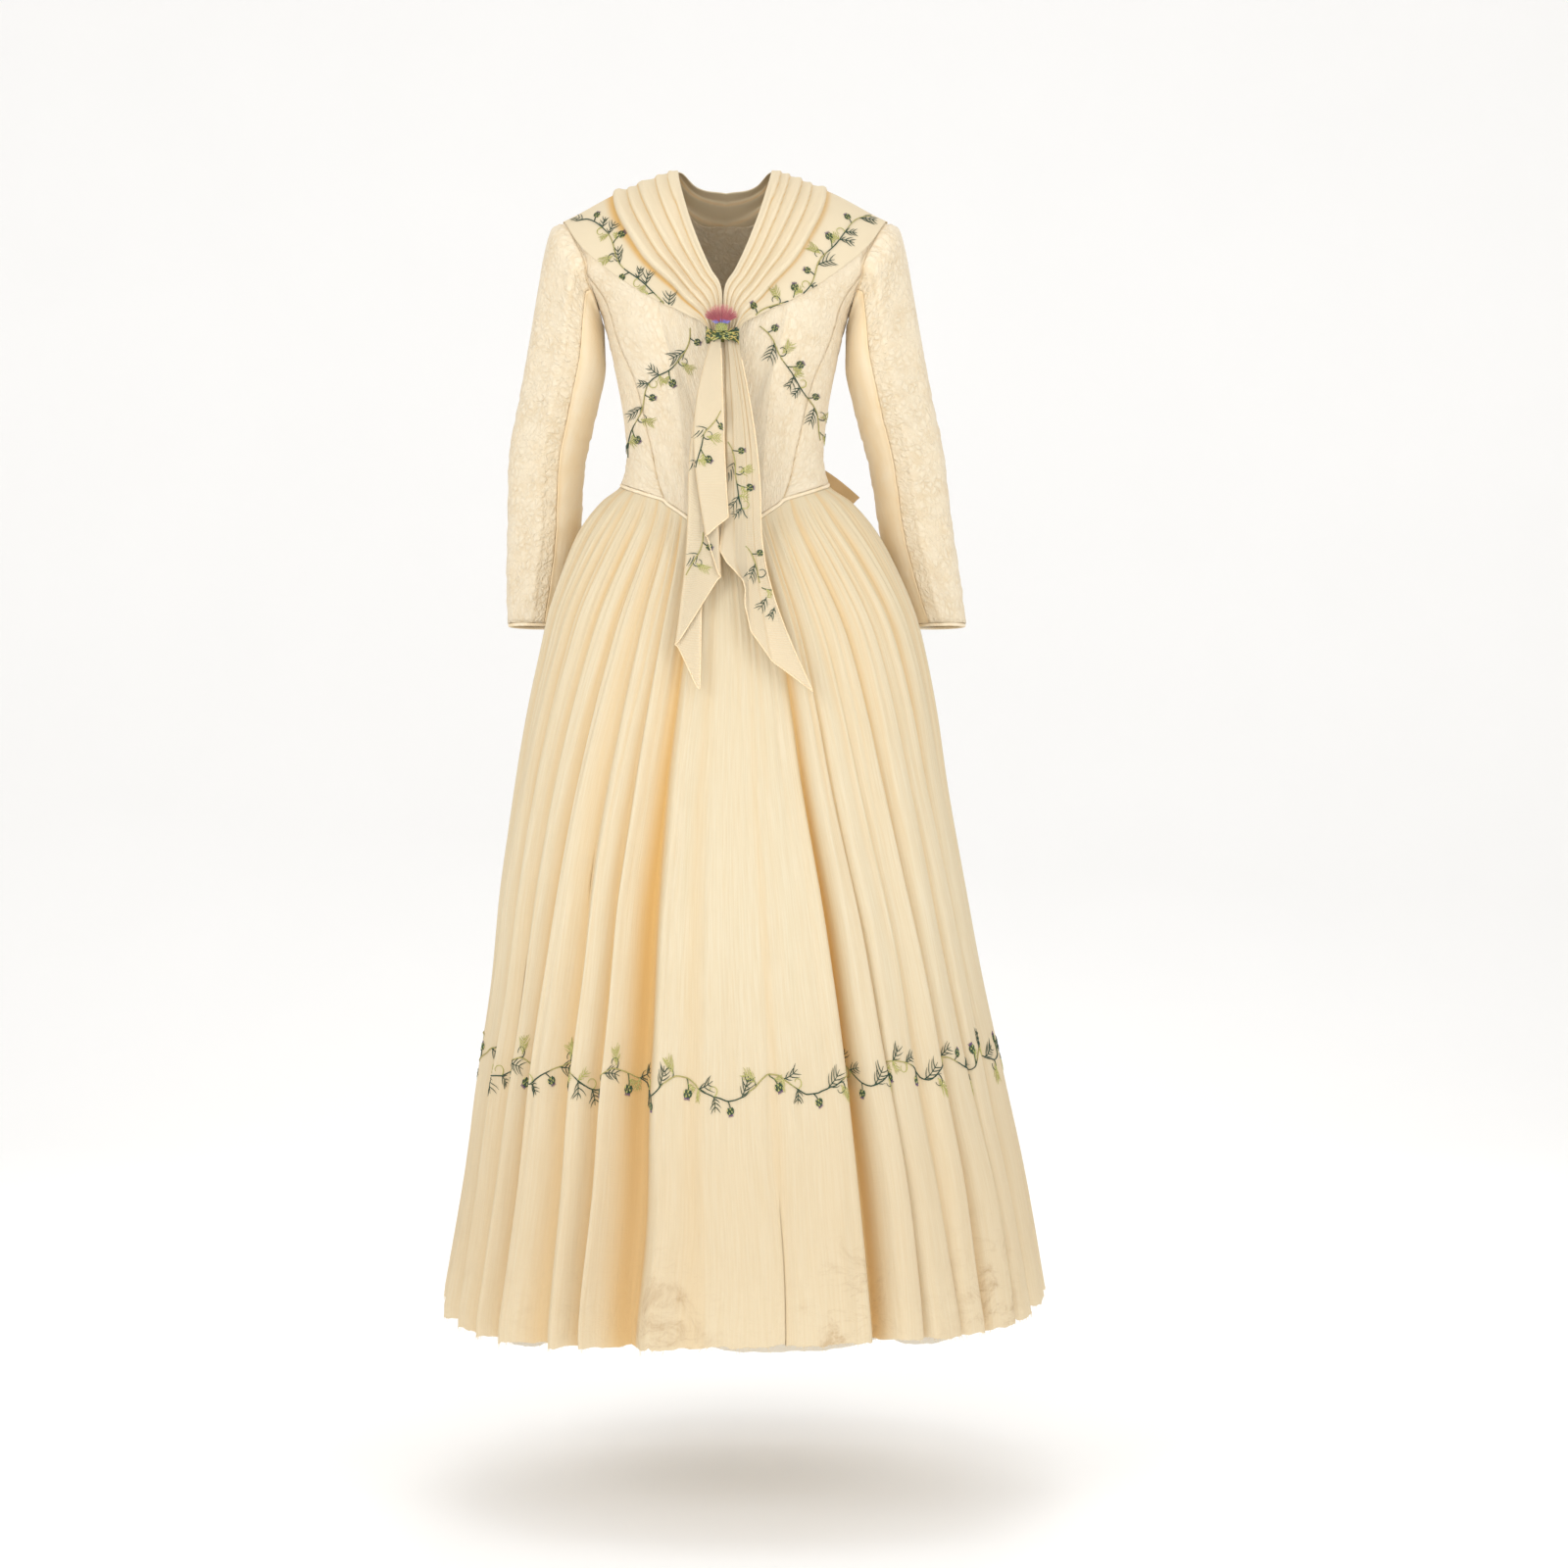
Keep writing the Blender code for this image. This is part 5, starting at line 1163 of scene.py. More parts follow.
def pleatColumns():
    # for each column: turn at the waist, turn at the hem, depth at the hem, sink, closeness to a valley, lean
    valleys = valleyRows()
    columns = []
    for k, here in enumerate(valleys):
        following = valleys[(k + 1) % len(valleys)]
        ahead = 2 * pi if k == len(valleys) - 1 else 0.0
        wide = math.degrees(following[1] + ahead - here[1]) > skirt["wideFrom"]
        count = skirt["wideColumns"] if wide else skirt["pleatColumns"]
        toLeft = here[0] < 0 or here[0] > pi  # which way the fold leans: towards the nearer side seam
        skew = 0.66 + 0.17 * math.sin(2.9 * k)
        power, bulge = (26.0, 0.1) if wide else (4.2 + 1.8 * math.sin(1.9 * k), skirt["bulge"])
        for step in range(count):
            share = step / count
            bend = share if wide else share ** skew if toLeft else 1 - (1 - share) ** skew
            close = abs(math.cos(pi * bend)) ** power
            lean = 0.0 if wide else math.sin(2 * pi * bend) * (following[1] + ahead - here[1])
            columns.append((
                mix(here[0], following[0] + ahead, share), mix(here[1], following[1] + ahead, share),
                mix(here[2], following[2], share), -bulge + (1 + bulge) * close, close,
                -lean if toLeft else lean, k,
            ))
    first = columns[0]
    columns.append((first[0] + 2 * pi, first[1] + 2 * pi, *first[2:]))
    return np.array(columns).T


def makeSkirt(gauze, pale, cord):
    rim = waistRim()
    turnWaist, turnHem, depth, sink, close, lean, pleat = pleatColumns()
    # rows crowd near the waist, where the gathers are
    share = np.linspace(0, 1, skirt["rowCount"] + 1)
    down = (0.35 * share + 0.65 * share ** 1.7)[:, None]
    wander = 0.01 * wobble(down * 7, pleat[None] * 2.3, 1.0) * ease(down * 2)
    hemTurn = turnHem[None] + wander - 0.1 * lean[None] * ease(down * 3)
    gather = wobble(turnWaist[None] * skirt["gathers"] / 1.6, down * 2, 0.5)
    gather = gather * skirt["gatherHeight"] * np.exp(-down * 11) * ease(down * 40)
    fine = wobble(turnWaist[None] * 47, down * 2, 2.5) * np.exp(-down * 3.0) * ease(down * 12)
    gather = gather + skirt["fineGather"] * fine * (1 - 0.75 * np.exp(-(turnWaist[None] / 0.22) ** 4))
    crest = skirt["ripple"] * (1 - close[None])
    ripple = crest * wobble(turnHem[None] * 21 + pleat[None], down * 5, 4.0) * ease(down * 1.6)
    inward = depth[None] * sink[None] * pleatShare(down) - gather - ripple
    uneven = 0.0022 * wobble(turnHem * 30, 0, 1.0) + 0.0008 * wobble(turnHem * 170, 0, 2.0)
    points = skirtPoints(turnWaist[None] + 0 * down, hemTurn, inward, down + 0 * hemTurn, rim, uneven[None])
    points = points[::-1]
    # cloth coordinates: breadth at the hem, counted from the middle of the front, and height from the hem
    across = lengthsAlong(points[0])
    across = across - np.interp(0.0, turnHem, across)
    along = lengthsOf(points, 0)
    uvs = np.stack(np.meshgrid(across, along), axis=-1)
    # painted golden shade: how far the cloth is inside a fold
    up = down[::-1]
    strength = np.clip(depth / 0.03, 0, 1.3)
    fold = (close[None] ** 2.2) * mix(0.1, 1.15, strength[None]) * mix(0.5, 1.0, ease(up * 1.3))
    # more painted shade in the hollows of the gathers, and a little all along the waist
    waistGatherShade = np.clip(-gather[::-1] / 0.0026, 0, 1) * 0.42 + 0.06 * (1 - ease(up * 1.5))
    fold = np.clip(fold + waistGatherShade, 0, 1)
    piece = clothPiece("skirt_gauze", points, gauze, fold=fold, uvs=uvs, wrap=True)
    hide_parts(*(f"skirt_{width}" for width in skirt["widths"]))
    made = {"points": points, "uvs": uvs}

    # pale layer under it, seen below the hem in places
    layer = underLayer
    turn = np.linspace(-pi, pi, layer["columns"] + 1)
    down = np.linspace(0, 1, layer["rows"] + 1)[:, None]
    ripple = layer["ripple"] * np.sin(layer["ripples"] * turn[None]) * down
    inset = layer["insetWaist"] + layer["insetHem"] * pleatShare(down) + ripple
    shows = np.zeros(len(turn))
    for middle, width in layer["showsAt"]:
        shows = np.maximum(shows, np.exp(-((np.degrees(turn) - middle) / width) ** 4))
    drop = mix(*layer["drop"], shows) + 0.0012 * wobble(turn * 40, 0, 3.0)
    turns = turn[None] + 0 * down
    under = skirtPoints(turns, turns, inset, down + 0 * turns, rim, drop[None])
    piece = clothPiece("under_layer_cloth", under[::-1], pale, wrap=True)
    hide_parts(*(f"underskirt_gore_{k}" for k in range(1, 10)))
    made["underEdge"] = under[-1]

    points, out, down = waistEdge()
    path = points + out * bodice["cloth"] / 2 + down * (skirt["cord"] + 2 * sleeve["seamGap"])
    closed = np.vstack([path[-3:], path, path[:4]])
    at = np.arange(len(path) * 8) / 8 + 3
    path = hermite(np.arange(len(closed)), closed, at)
    piece = closedCord("waist_piping_cord", path, skirt["cord"], cord)
    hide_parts("waist_piping")
    return made


# kerchief

kerchief = {
    "lift": 0.0062,
    "backExtraLift": 0.0016,
    "gatherLift": 0.004,
    "cloth": 0.0016,
    "wall": 0.001,
    "inner": ((0.0012, -0.2078), (0.0012, -0.164), (0.014, -0.136), (0.03, -0.098), (0.043, -0.06),
              (0.052, -0.025)),
    "neck": 0.056,
    "outer": ((0.0152, -0.206), (0.0235, -0.1965), (0.04, -0.188), (0.065, -0.175), (0.098, -0.154),
              (0.136, -0.125), (0.169, -0.0915)),
    "shoulder": 0.1895,
    "nape": ((0.0, -0.022), (0.036, -0.016)),
    "point": ((0.0, -0.3), (0.03, -0.284), (0.075, -0.224), (0.12, -0.16), (0.158, -0.108)),
    # valleys from the neck edge outwards, as shares of the breadth at the shoulder, half way and at the loop;
    # then the height of the fold that follows
    "left": (
        (0.0, 0.0, 0.0, 0.0042), (0.063, 0.1, 0.14, 0.0052), (0.18, 0.22, 0.3, 0.0066),
        (0.338, 0.38, 0.5, 0.0042), (0.416, 0.5, 0.66, 0.0125), (0.547, 0.66, 0.86, 0.0), (1, 1, 1, 0),
    ),
    "right": (
        (0.0, 0.0, 0.0, 0.0042), (0.063, 0.09, 0.14, 0.0046), (0.13, 0.19, 0.3, 0.006),
        (0.235, 0.31, 0.48, 0.0044), (0.32, 0.43, 0.64, 0.0085), (0.44, 0.6, 0.84, 0.0), (1, 1, 1, 0),
    ),
    "outerLift": 0.004,
    "columns": 128,
    "frontRows": 80,
    "backRows": 90,
    "blendRows": 13,
    "wander": 0.011,
    "fine": 0.0006,
}


def foldLift(valleys, heights, u):
    # height and shade of the folds across one row, valleys at the given shares
    index = np.clip(np.searchsorted(valleys, u, side="right") - 1, 0, len(valleys) - 2)
    width = np.maximum(valleys[index + 1] - valleys[index], 1e-6)
    s = np.clip((u - valleys[index]) / width, 0, 1)
    tall = heights[index]
    # flat pleats: a slow rise and a quick fall at the crease; tall ones are rounder with a broad soft trough
    soft = np.clip((tall - 0.007) / 0.005, 0, 1)
    shape = np.sin(pi * s ** mix(2.6, 1.5, soft)) ** mix(0.7, 1.0, soft)
    rise = tall * shape
    before = np.concatenate(([0.0], heights))[index]
    softBefore = np.clip((before - 0.007) / 0.005, 0, 1)
    width = mix(0.1, 0.2, soft)
    steep = ease((s - 1 + width) / width) * (tall > 0) * mix(0.75, 0.95, soft)
    reach = mix(0.06, 0.22, softBefore)
    after = ease((reach - s) / reach) * mix(0.5, 0.95, softBefore) * (before > 0)
    return rise, np.clip(steep + after, 0, 1)


def makeKerchief(gauze):
    u = np.linspace(0, 1, kerchief["columns"] + 1)
    breadths = mix(kerchief["neck"], kerchief["shoulder"], u)
    rows = kerchief["frontRows"]
    innerEdge, outerEdge = (
        spline(np.vstack([places(kerchief[line]), ridgePlace(kerchief[end])]), rows, crowdEnd)
        for line, end in (("inner", "neck"), ("outer", "shoulder")))
    foot = innerEdge[0] * (1 - u[:, None]) + outerEdge[0] * u[:, None]
    front = patch(foot, ridgePlace(breadths), innerEdge, outerEdge)
    v = np.linspace(0, 1, rows + 1)

    def frontSide(word, side):
        table = np.array(kerchief[word])
        lifts, folds = [], []
        for share in v:
            valleys = hermite((0.0, 0.5, 1.0), table[:, [2, 1, 0]].T, share)
            wander = wobble(np.arange(len(valleys)) * 2.1, share * 5, side) * kerchief["wander"]
            inner = (valleys > 0.01) & (valleys < 0.99)
            wandered = valleys + wander * math.sin(pi * share)
            valleys = np.maximum.accumulate(np.where(inner, wandered, valleys))
            rise, shade = foldLift(valleys, table[:, 3], u)
            # lower towards the loop and over the shoulder
            rise = rise * mix(1.0, 0.55, ease((0.4 - share) * 2.5))
            rise = rise * mix(1.0, 0.4, ease((share - 0.62) * 2.8))
            lifts.append(rise + kerchief["gatherLift"] * ease((0.25 - share) * 4))
            folds.append(shade)
        lifts, folds = np.array(lifts), np.array(folds)
        fine = wobble(u[None] * 60, v[:, None] * 7, 1.0 + side) * np.clip(lifts / 0.004, 0, 1)
        # the flat outer zone lies close on the bodice
        rest = mix(kerchief["lift"] + kerchief["cloth"], kerchief["outerLift"], ease((u[None] - 0.5) * 2.2))
        return offFigure(side * front[..., 0], front[..., 1], rest + lifts + kerchief["fine"] * fine), folds

    rightPoints, rightFolds = frontSide("right", 1)
    leftPoints, leftFolds = frontSide("left", -1)

    def backEdge(line, end):
        # from shoulder to shoulder round the back
        line = places(line, False)
        line[0, 0] = pi
        half = spline(np.vstack([line, ridgePlace(end, False)]), kerchief["backRows"] // 2, crowdEnd)
        return np.vstack([half[::-1], mirrored(half, True)[1:]])

    rows = kerchief["backRows"]
    upper = backEdge(kerchief["nape"], kerchief["neck"])
    lower = backEdge(kerchief["point"], kerchief["shoulder"])
    ridge = ridgePlace(breadths, False)
    back = patch(ridge, mirrored(ridge, True), upper, lower)
    lifts, folds = [], []
    rightTable, leftTable = np.array(kerchief["right"]), np.array(kerchief["left"])
    for r in range(rows + 1):
        share = r / rows
        table = mix(rightTable, leftTable, ease(share))
        fromMiddle = abs(share - 0.5) * 2
        rise, shade = foldLift(table[:, 0], table[:, 3], u)
        rise = rise * mix(0.45, 1.0, ease(fromMiddle))
        lifts.append(rise + kerchief["backExtraLift"] * ease((1 - fromMiddle) * 4))
        folds.append(shade * mix(0.6, 1.0, ease(fromMiddle)))
    backPoints = offFigure(back[..., 0], back[..., 1], kerchief["lift"] + kerchief["cloth"] + np.array(lifts))
    # both sheets of points meet at the shoulder: blended there over a few rows
    for k in range(1, kerchief["blendRows"]):
        share = 1 - ease(k / kerchief["blendRows"])
        backPoints[k] += (rightPoints[-1] - backPoints[0]) * share
        backPoints[-1 - k] += (leftPoints[-1] - backPoints[-1]) * share
    points = np.concatenate([rightPoints, backPoints[1:-1], leftPoints[::-1]], axis=0)
    # painted shade in the pleats, from foldLift, as the fold attribute
    fold = np.concatenate([rightFolds, np.array(folds)[1:-1], leftFolds[::-1]], axis=0)
    # rows run from the right loop end over the back to the left one, columns outwards: turned to face out
    points, fold = points[:, ::-1], fold[:, ::-1]
    if gridNormals(points)[20, 40, 1] > 0:
        points, fold = points[:, ::-1], fold[:, ::-1]
    piece = clothPiece("kerchief_gauze", points, gauze, fold=fold, thick=kerchief["wall"])
    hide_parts("kerchief_left", "kerchief_right", "kerchief_back")
    return piece


tails = {
    # each fold: breadth at the loop, half way and at its foot, height of its foot, place in depth
    "left": (
        (-0.0022, 0.0002, 0.0034, -0.419, -0.0025), (-0.0122, -0.0325, -0.0205, -0.44, 0.0012),
        (-0.003, -0.0065, -0.0012, -0.4865, 0.0049), (-0.0135, -0.039, -0.052, -0.564, 0.0086),
        (-0.006, -0.023, -0.0238, -0.614, 0.0123),
    ),
    "right": (
        (0.0018, 0.0035, 0.0005, -0.456, 0.0065), (0.0055, 0.013, 0.02, -0.49, 0.001),
        (0.0092, 0.026, 0.033, -0.55, 0.0), (0.0128, 0.034, 0.056, -0.583, 0.0042),
        (0.0163, 0.043, 0.101, -0.617, 0.003),
    ),
    "top": -0.2165,
    "steps": 4,
    "foldRoundness": 0.11,
    "foldRadius": 0.0018,
    "besideFold": 0.04,
    # where the foremost fold hangs: height, depth
    "path": ((-0.215, -0.1447), (-0.23, -0.1468), (-0.26, -0.15), (-0.32, -0.152), (-0.4, -0.151),
             (-0.46, -0.157), (-0.512, -0.181), (-0.56, -0.202), (-0.62, -0.224)),
    "columns": 104,
    "rows": 100,
    "wall": 0.0008,
    "hemRadius": 0.0008,
    # sway of the edge nearer the middle: height and shift, and how far into the cloth it reaches
    "edgeSway": (
        ((-0.28, 0.0), (-0.36, 0.002), (-0.42, 0.003), (-0.47, 0.0)),
        ((-0.4, 0.0), (-0.445, -0.003), (-0.47, -0.004), (-0.492, 0.004), (-0.502, 0.006), (-0.52, -0.002),
         (-0.545, -0.003), (-0.58, 0.0)),
    ),
    "edgeReach": (4.0, 1.6),
}


def pressedColumns(folds):
    columns = []
    for k in range(len(folds) - 1):
        depth = folds[k][4]
        side = 1 if folds[k + 1][1] > folds[k][1] else -1
        columns.append((k, 0.0, 0.0, (folds[max(k - 1, 0)][4] + depth) / 2))
        if k > 0:
            columns.append((k, tails["besideFold"], side * tails["foldRadius"], depth))
        columns.append((k, 0.5, 0.0, depth))
        columns.append((k, 1 - tails["besideFold"], -side * tails["foldRadius"], depth))
    columns.append((len(folds) - 2, 1.0, 0.0, folds[-2][4]))
    return columns


def openColumns(folds):
    columns = []
    for k in range(len(folds) - 1):
        for step in range(tails["steps"]):
            share = step / tails["steps"]
            bend = share + tails["foldRoundness"] * math.sin(2 * pi * share)
            columns.append((k, float(ease(share)), 0.0, mix(folds[k][4], folds[k + 1][4], bend)))
    columns.append((len(folds) - 2, 1.0, 0.0, folds[-1][4]))
    return columns


def foldBreadth(fold, down):
    top, halfWay, foot = fold[:3]
    if down < 0.5:
        return mix(top, halfWay, math.sin(down * pi))
    return mix(halfWay, foot, 1 - math.cos((down - 0.5) * pi))


def tailPoints(folds, columns):
    path = np.array(tails["path"])[::-1]
    shares = np.linspace(0, 1, tails["columns"] + 1)
    grid = []
    for r in range(tails["rows"] + 1):
        down = r / tails["rows"]
        row = []
        for k, share, shift, depth in columns:
            near, far = folds[k], folds[k + 1]
            height = mix(tails["top"], mix(near[3], far[3], share), down)
            breadth = mix(foldBreadth(near, down), foldBreadth(far, down), share) + shift
            row.append((breadth, float(hermite(path[:, 0], path[:, 1], height)) + depth, height))
        grid.append(alongLine(row, shares))
    return np.array(grid)


def makeTails(gauze, hem):
    made = {}
    spans = {"tail_left": (tails["left"], pressedColumns), "tail_right": (tails["right"], openColumns)}
    for k, (node, (folds, columnsOf)) in enumerate(spans.items()):
        points = tailPoints(folds, columnsOf(folds))[::-1]
        down = np.linspace(1, 0, points.shape[0])[:, None]
        u = np.linspace(0, 1, points.shape[1])[None]
        fine = 0.0007 * wobble(u * 14 + 2 * down, down * 4, 1.0 + k) * ease(down * 4)
        points[..., 1] -= np.abs(fine)
        edgeShare = ease(1 - u * tails["edgeReach"][k])
        points[..., 0] += edgeShare * np.interp(points[..., 2], *np.array(tails["edgeSway"][k]).T[:, ::-1])
        points[..., 1] -= 0.0035 * edgeShare * np.sin(points[..., 2] * 95 + k) * ease(down * 2.2)
        # shaded where the cloth turns away from the front
        fold = np.clip(0.55 - np.abs(gridNormals(points)[..., 1]) * 0.6, 0, 1)
        piece = clothPiece(node + "_gauze", points, gauze, fold=fold, thick=tails["wall"], offset=0.0)
        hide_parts(node)
        edge = np.vstack([points[:, 0][::-1][6:], points[0, 1:], points[1:-6, -1]])
        rolled = threadPiece(node + "_rolled_hem", [(edge, tails["hemRadius"])], hem, 6)
        made[node] = piece
    return made


# loop and thistle

loop = {
    "middle": (-0.0005, -0.139, -0.2142),
    "half": (0.0168, 0.0108),
    "endHeight": 0.0078,
    "middleHeight": 0.0046,
    "halfCloth": 0.0011,
    "leaves": 60,
    "leafRadius": 0.00055,
    "bulbMiddle": (-0.0012, -0.1555, -0.2054),
    "bulbRadii": (0.006, 0.0046, 0.0052),
    "tuftRoot": (-0.0012, -0.1555, -0.2004),
    "scalesRound": 13,
    "scaleRadius": 0.00062,
    "tuftThreads": 520,
    "tuftLength": 0.0205,
    "tuftSpread": 1.22,
    "tuftRadius": 0.00022,
    "collarThreads": 90,
    "collarLength": 0.0048,
    "collarSpread": 1.15,
    "collarRadius": 0.00042,
}


def loopPoint(turn, rise, grow):
    across, along = squared(turn, 2.6)
    tall = mix(loop["middleHeight"], loop["endHeight"], across * across)
    x, y, z = loop["middle"]
    wide, deep = loop["half"]
    return np.stack([x + (wide + grow) * across, y - (deep + grow) * along, z + tall * rise], axis=-1)


def makeLoop(materials):
    turn = np.linspace(0, 2 * pi, 129)[:, None]
    angle = np.linspace(0, 2 * pi, 25)[None]
    grow = loop["halfCloth"] * (1 + np.cos(angle)) + 0 * turn
    points = loopPoint(turn + 0 * angle, np.sin(angle) + 0 * turn, grow)
    piece = clothPiece("kerchief_loop_band", points, materials["loopCloth"], wrap=True)
    faceOutwards(piece.data)
    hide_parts("kerchief_loop")
    # leaves worked over it, fanning from its middle
    chance = random.Random(4)
    strokes = {"darkGreen": [], "lightGreen": [], "gold": []}
    for side in (-1, 1):
        for _ in range(loop["leaves"]):
            start = chance.uniform(0.0, 0.95)
            reach = chance.uniform(0.16, 0.34)
            height = chance.uniform(-0.8, 0.8)
            slant = chance.uniform(-0.7, 0.7) + height * 0.5
            share = np.linspace(0, 1, 6)
            t = side * np.clip(start + reach * share, 0, 1.5)
            rise = np.clip(height + slant * share, -1.35, 1.35)
            line = loopPoint(t, rise, 0.0026 + 0.0006 * np.sin(pi * share))
            colour = chance.choice(("darkGreen", "darkGreen", "lightGreen", "gold"))
            strokes[colour].append((line, loop["leafRadius"] * np.sin(pi * (0.12 + 0.83 * share)) + 0.0001))
    for colour, lines in strokes.items():
        leaves = threadPiece(f"loop_leaves_{colour}", lines, materials[colour], 6)

    # thistle: scaly bulb, violet collar and pink tuft
    x, y, z = loop["bulbMiddle"]
    wide, deep, tall = radii = loop["bulbRadii"]
    bulb = lumpPiece("thistle_bulb_body", (28, 18), (x, y, z), radii, (0.07, 7, 9), materials["bulb"])
    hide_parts("thistle_bulb")
    scales = []
    share = np.linspace(0, 1, 4)
    for ring in range(4):
        for k in range(loop["scalesRound"]):
            a = 2 * pi * (k + 0.5 * (ring % 2)) / loop["scalesRound"]
            h = -0.75 + 0.36 * ring + 0.5 * share
            r = np.sqrt(np.clip(1.02 - h * h, 0.02, 1)) + 0.14 * share
            line = np.stack([x + wide * r * math.cos(a), y + deep * r * math.sin(a), z + tall * h], axis=1)
            scales.append((line, loop["scaleRadius"] * (1 - 0.8 * share)))
    threadPiece("thistle_scales", scales, materials["lightGreen"], 4)
    rootX, rootY, rootZ = loop["tuftRoot"]
    strokes, collar = [], []
    share = np.linspace(0, 1, 5)
    for _ in range(loop["tuftThreads"]):
        fan = chance.uniform(-1, 1)
        tilt = chance.uniform(-1, 1)
        reach = loop["tuftLength"] * chance.uniform(0.6, 1.0) * (1 - 0.34 * fan * fan)
        angle = fan * loop["tuftSpread"] * (0.8 + 0.2 * share)
        out = reach * share
        line = np.stack([rootX + 0.0072 * fan + np.sin(angle) * out,
                         rootY + 0.0022 * tilt + out * 0.2 * tilt - 0.0012 * share,
                         rootZ + 0.0006 + np.cos(angle) * out], axis=1)
        strokes.append((line, loop["tuftRadius"] * (1 - 0.85 * share) + 0.00004))
    share = np.linspace(0, 1, 3)
    for _ in range(loop["collarThreads"]):
        fan = chance.uniform(-1, 1)
        tilt = chance.uniform(-1, 1)
        out = loop["collarLength"] * share * chance.uniform(0.6, 1.0)
        angle = fan * loop["collarSpread"]
        line = np.stack([rootX + 0.0066 * fan + np.sin(angle) * out,
                         rootY + 0.0034 * tilt - 0.0012 + out * 0.3 * tilt,
                         rootZ - 0.0014 + np.cos(angle) * out], axis=1)
        collar.append((line, loop["collarRadius"] * (1 - 0.6 * share)))
    tuft = threadPiece("thistle_tuft_threads", strokes, materials["tuft"], 4)
    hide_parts("thistle_tuft")
    threadPiece("thistle_collar", collar, materials["violet"], 4)


# ribbon bow at the back of the waist

bow = {
    "middle": (0.002, 0.0998, -0.35),
    "knotHalf": (0.011, 0.0085, 0.013),
    "halfWidth": 0.017,
    "halfPinch": 0.007,
    "gap": 0.0004,
    "forward": 0.35,
    # reach, arch, drop of the end, sway to the front, how far the layers part
    "loops": {"right": (0.146, 0.016, 0.038, 0.022, 0.024), "left": (-0.094, 0.008, 0.018, -0.012, 0.024)},
    # breadth of the foot, height of the foot, stand off the skirt
    "ends": {"right": (0.058, -0.64, 0.015), "left": (-0.042, -0.6, 0.019)},
    "steps": 90,
    "across": 16,
    "cup": 0.0012,
    "wall": 0.0008,
    "layerGap": 0.0016,
    "loopCrease": 0.001,
    "endCrease": 0.0015,
}


def ribbonPiece(name, path, halfWidths, acrosses, satin):
    span = np.linspace(-1, 1, bow["across"] + 1)
    acrosses = unit(acrosses)
    ahead = np.gradient(path, axis=0)
    thick = unit(np.cross(ahead, acrosses))
    # the ribbon cups a little between its edges
    cup = (1 - span ** 2)[None, :, None] * thick[:, None] * bow["cup"]
    points = path[:, None] + acrosses[:, None] * (halfWidths[:, None] * span[None])[..., None] + cup
    piece = clothPiece(name, points, satin, thick=bow["wall"], offset=0.0)
    return piece


def makeBow(satin):
    middle = np.array(bow["middle"])
    root = bow["knotHalf"][0] + bow["gap"]
    for word, (reach, arch, drop, sway, part) in bow["loops"].items():
        side = 1 if reach > 0 else -1
        share = np.linspace(0, 1, 2 * bow["steps"] + 1)
        turn = 2 * pi * share
        out = (1 - np.cos(turn)) / 2
        parted = np.sin(turn) / 2 + np.abs(np.sin(turn)) * bow["forward"]
        layer = parted * part + np.cos(turn / 2) * bow["layerGap"]
        crease = bow["loopCrease"] * wobble(out * 9, share * 3, 2.0) * out
        path = middle + np.stack([
            side * (root + (abs(reach) - root) * out),
            layer - sway * out * out + crease,
            arch * np.sin(pi * out) - drop * out * out,
        ], axis=1)
        half = mix(bow["halfPinch"], bow["halfWidth"], ease(out * 2.2))
        fall = arch * pi * np.cos(pi * out) - 2 * drop * out
        acrosses = np.stack([-side * fall, 0 * fall, 0 * fall + abs(reach) - root], axis=1)
        piece = ribbonPiece(f"sash_loop_{word}_ribbon", path, half, acrosses, satin)
        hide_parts(f"sash_loop_{word}")
    for word, (footX, footZ, stand) in bow["ends"].items():
        side = 1 if footX > 0 else -1
        coarse = []
        for k in range(10):
            share = k / 9
            height = mix(middle[2] - bow["knotHalf"][2] - 1.5 * bow["gap"], footZ, share)
            depth = float(hermite(skirtTable[:, 0], skirtTable[:, 4], height)) + stand
            breadth = mix(middle[0] + side * 0.004, footX, share ** 1.3)
            coarse.append((breadth, depth if k else middle[1], height))
        share = np.linspace(0, 1, bow["steps"] + 1)
        path = alongLine(coarse, share)
        path[:, 1] += bow["endCrease"] * wobble(share * 12, 0, 2.0 + side) * ease(share * 3)
        half = mix(bow["halfPinch"] / 2, bow["halfWidth"], ease(share * 3))
        acrosses = np.tile((1.0, 0.0, 0.0), (len(share), 1))
        piece = ribbonPiece(f"sash_end_{word}_ribbon", path, half, acrosses, satin)
        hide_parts(f"sash_end_{word}")
    wide, deep, tall = bow["knotHalf"]
    knot = lumpPiece("sash_knot_wrap", (36, 24), middle, (wide, deep, 0.92 * tall), (0.05, 9, 1.5), satin,
                     0.8, True)
    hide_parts("sash_knot")


# embroidery: short threads laid on the cloth, drawn first on a flat pattern in metres

stitchColours = ("darkGreen", "midGreen", "lightGreen", "paleStem", "purple")
# radii of the threads in metres, and how high they lie on the cloth
stitch = {
    "stem": 0.00062, "stalk": 0.0006, "rib": 0.00066, "barb": 0.00056, "curl": 0.00062, "spike": 0.00042,
    "lift": 0.0005,
}


def newPattern():
    return {colour: [] for colour in stitchColours}


def turned(direction, angle):
    c, s = math.cos(angle), math.sin(angle)
    return np.array([direction[0] * c - direction[1] * s, direction[0] * s + direction[1] * c])


def addStroke(pattern, colour, points, radii):
    pattern[colour].append((np.asarray(points, float), np.asarray(radii, float)))


def bentLine(start, direction, length, bend, count):
    # a line that sets out in a direction and turns by bend on its way
    points = [np.asarray(start, float)]
    steps = count - 1
    for k in range(steps):
        points.append(points[-1] + turned(direction, bend * (k + 0.5) / steps) * length / steps)
    return np.array(points)


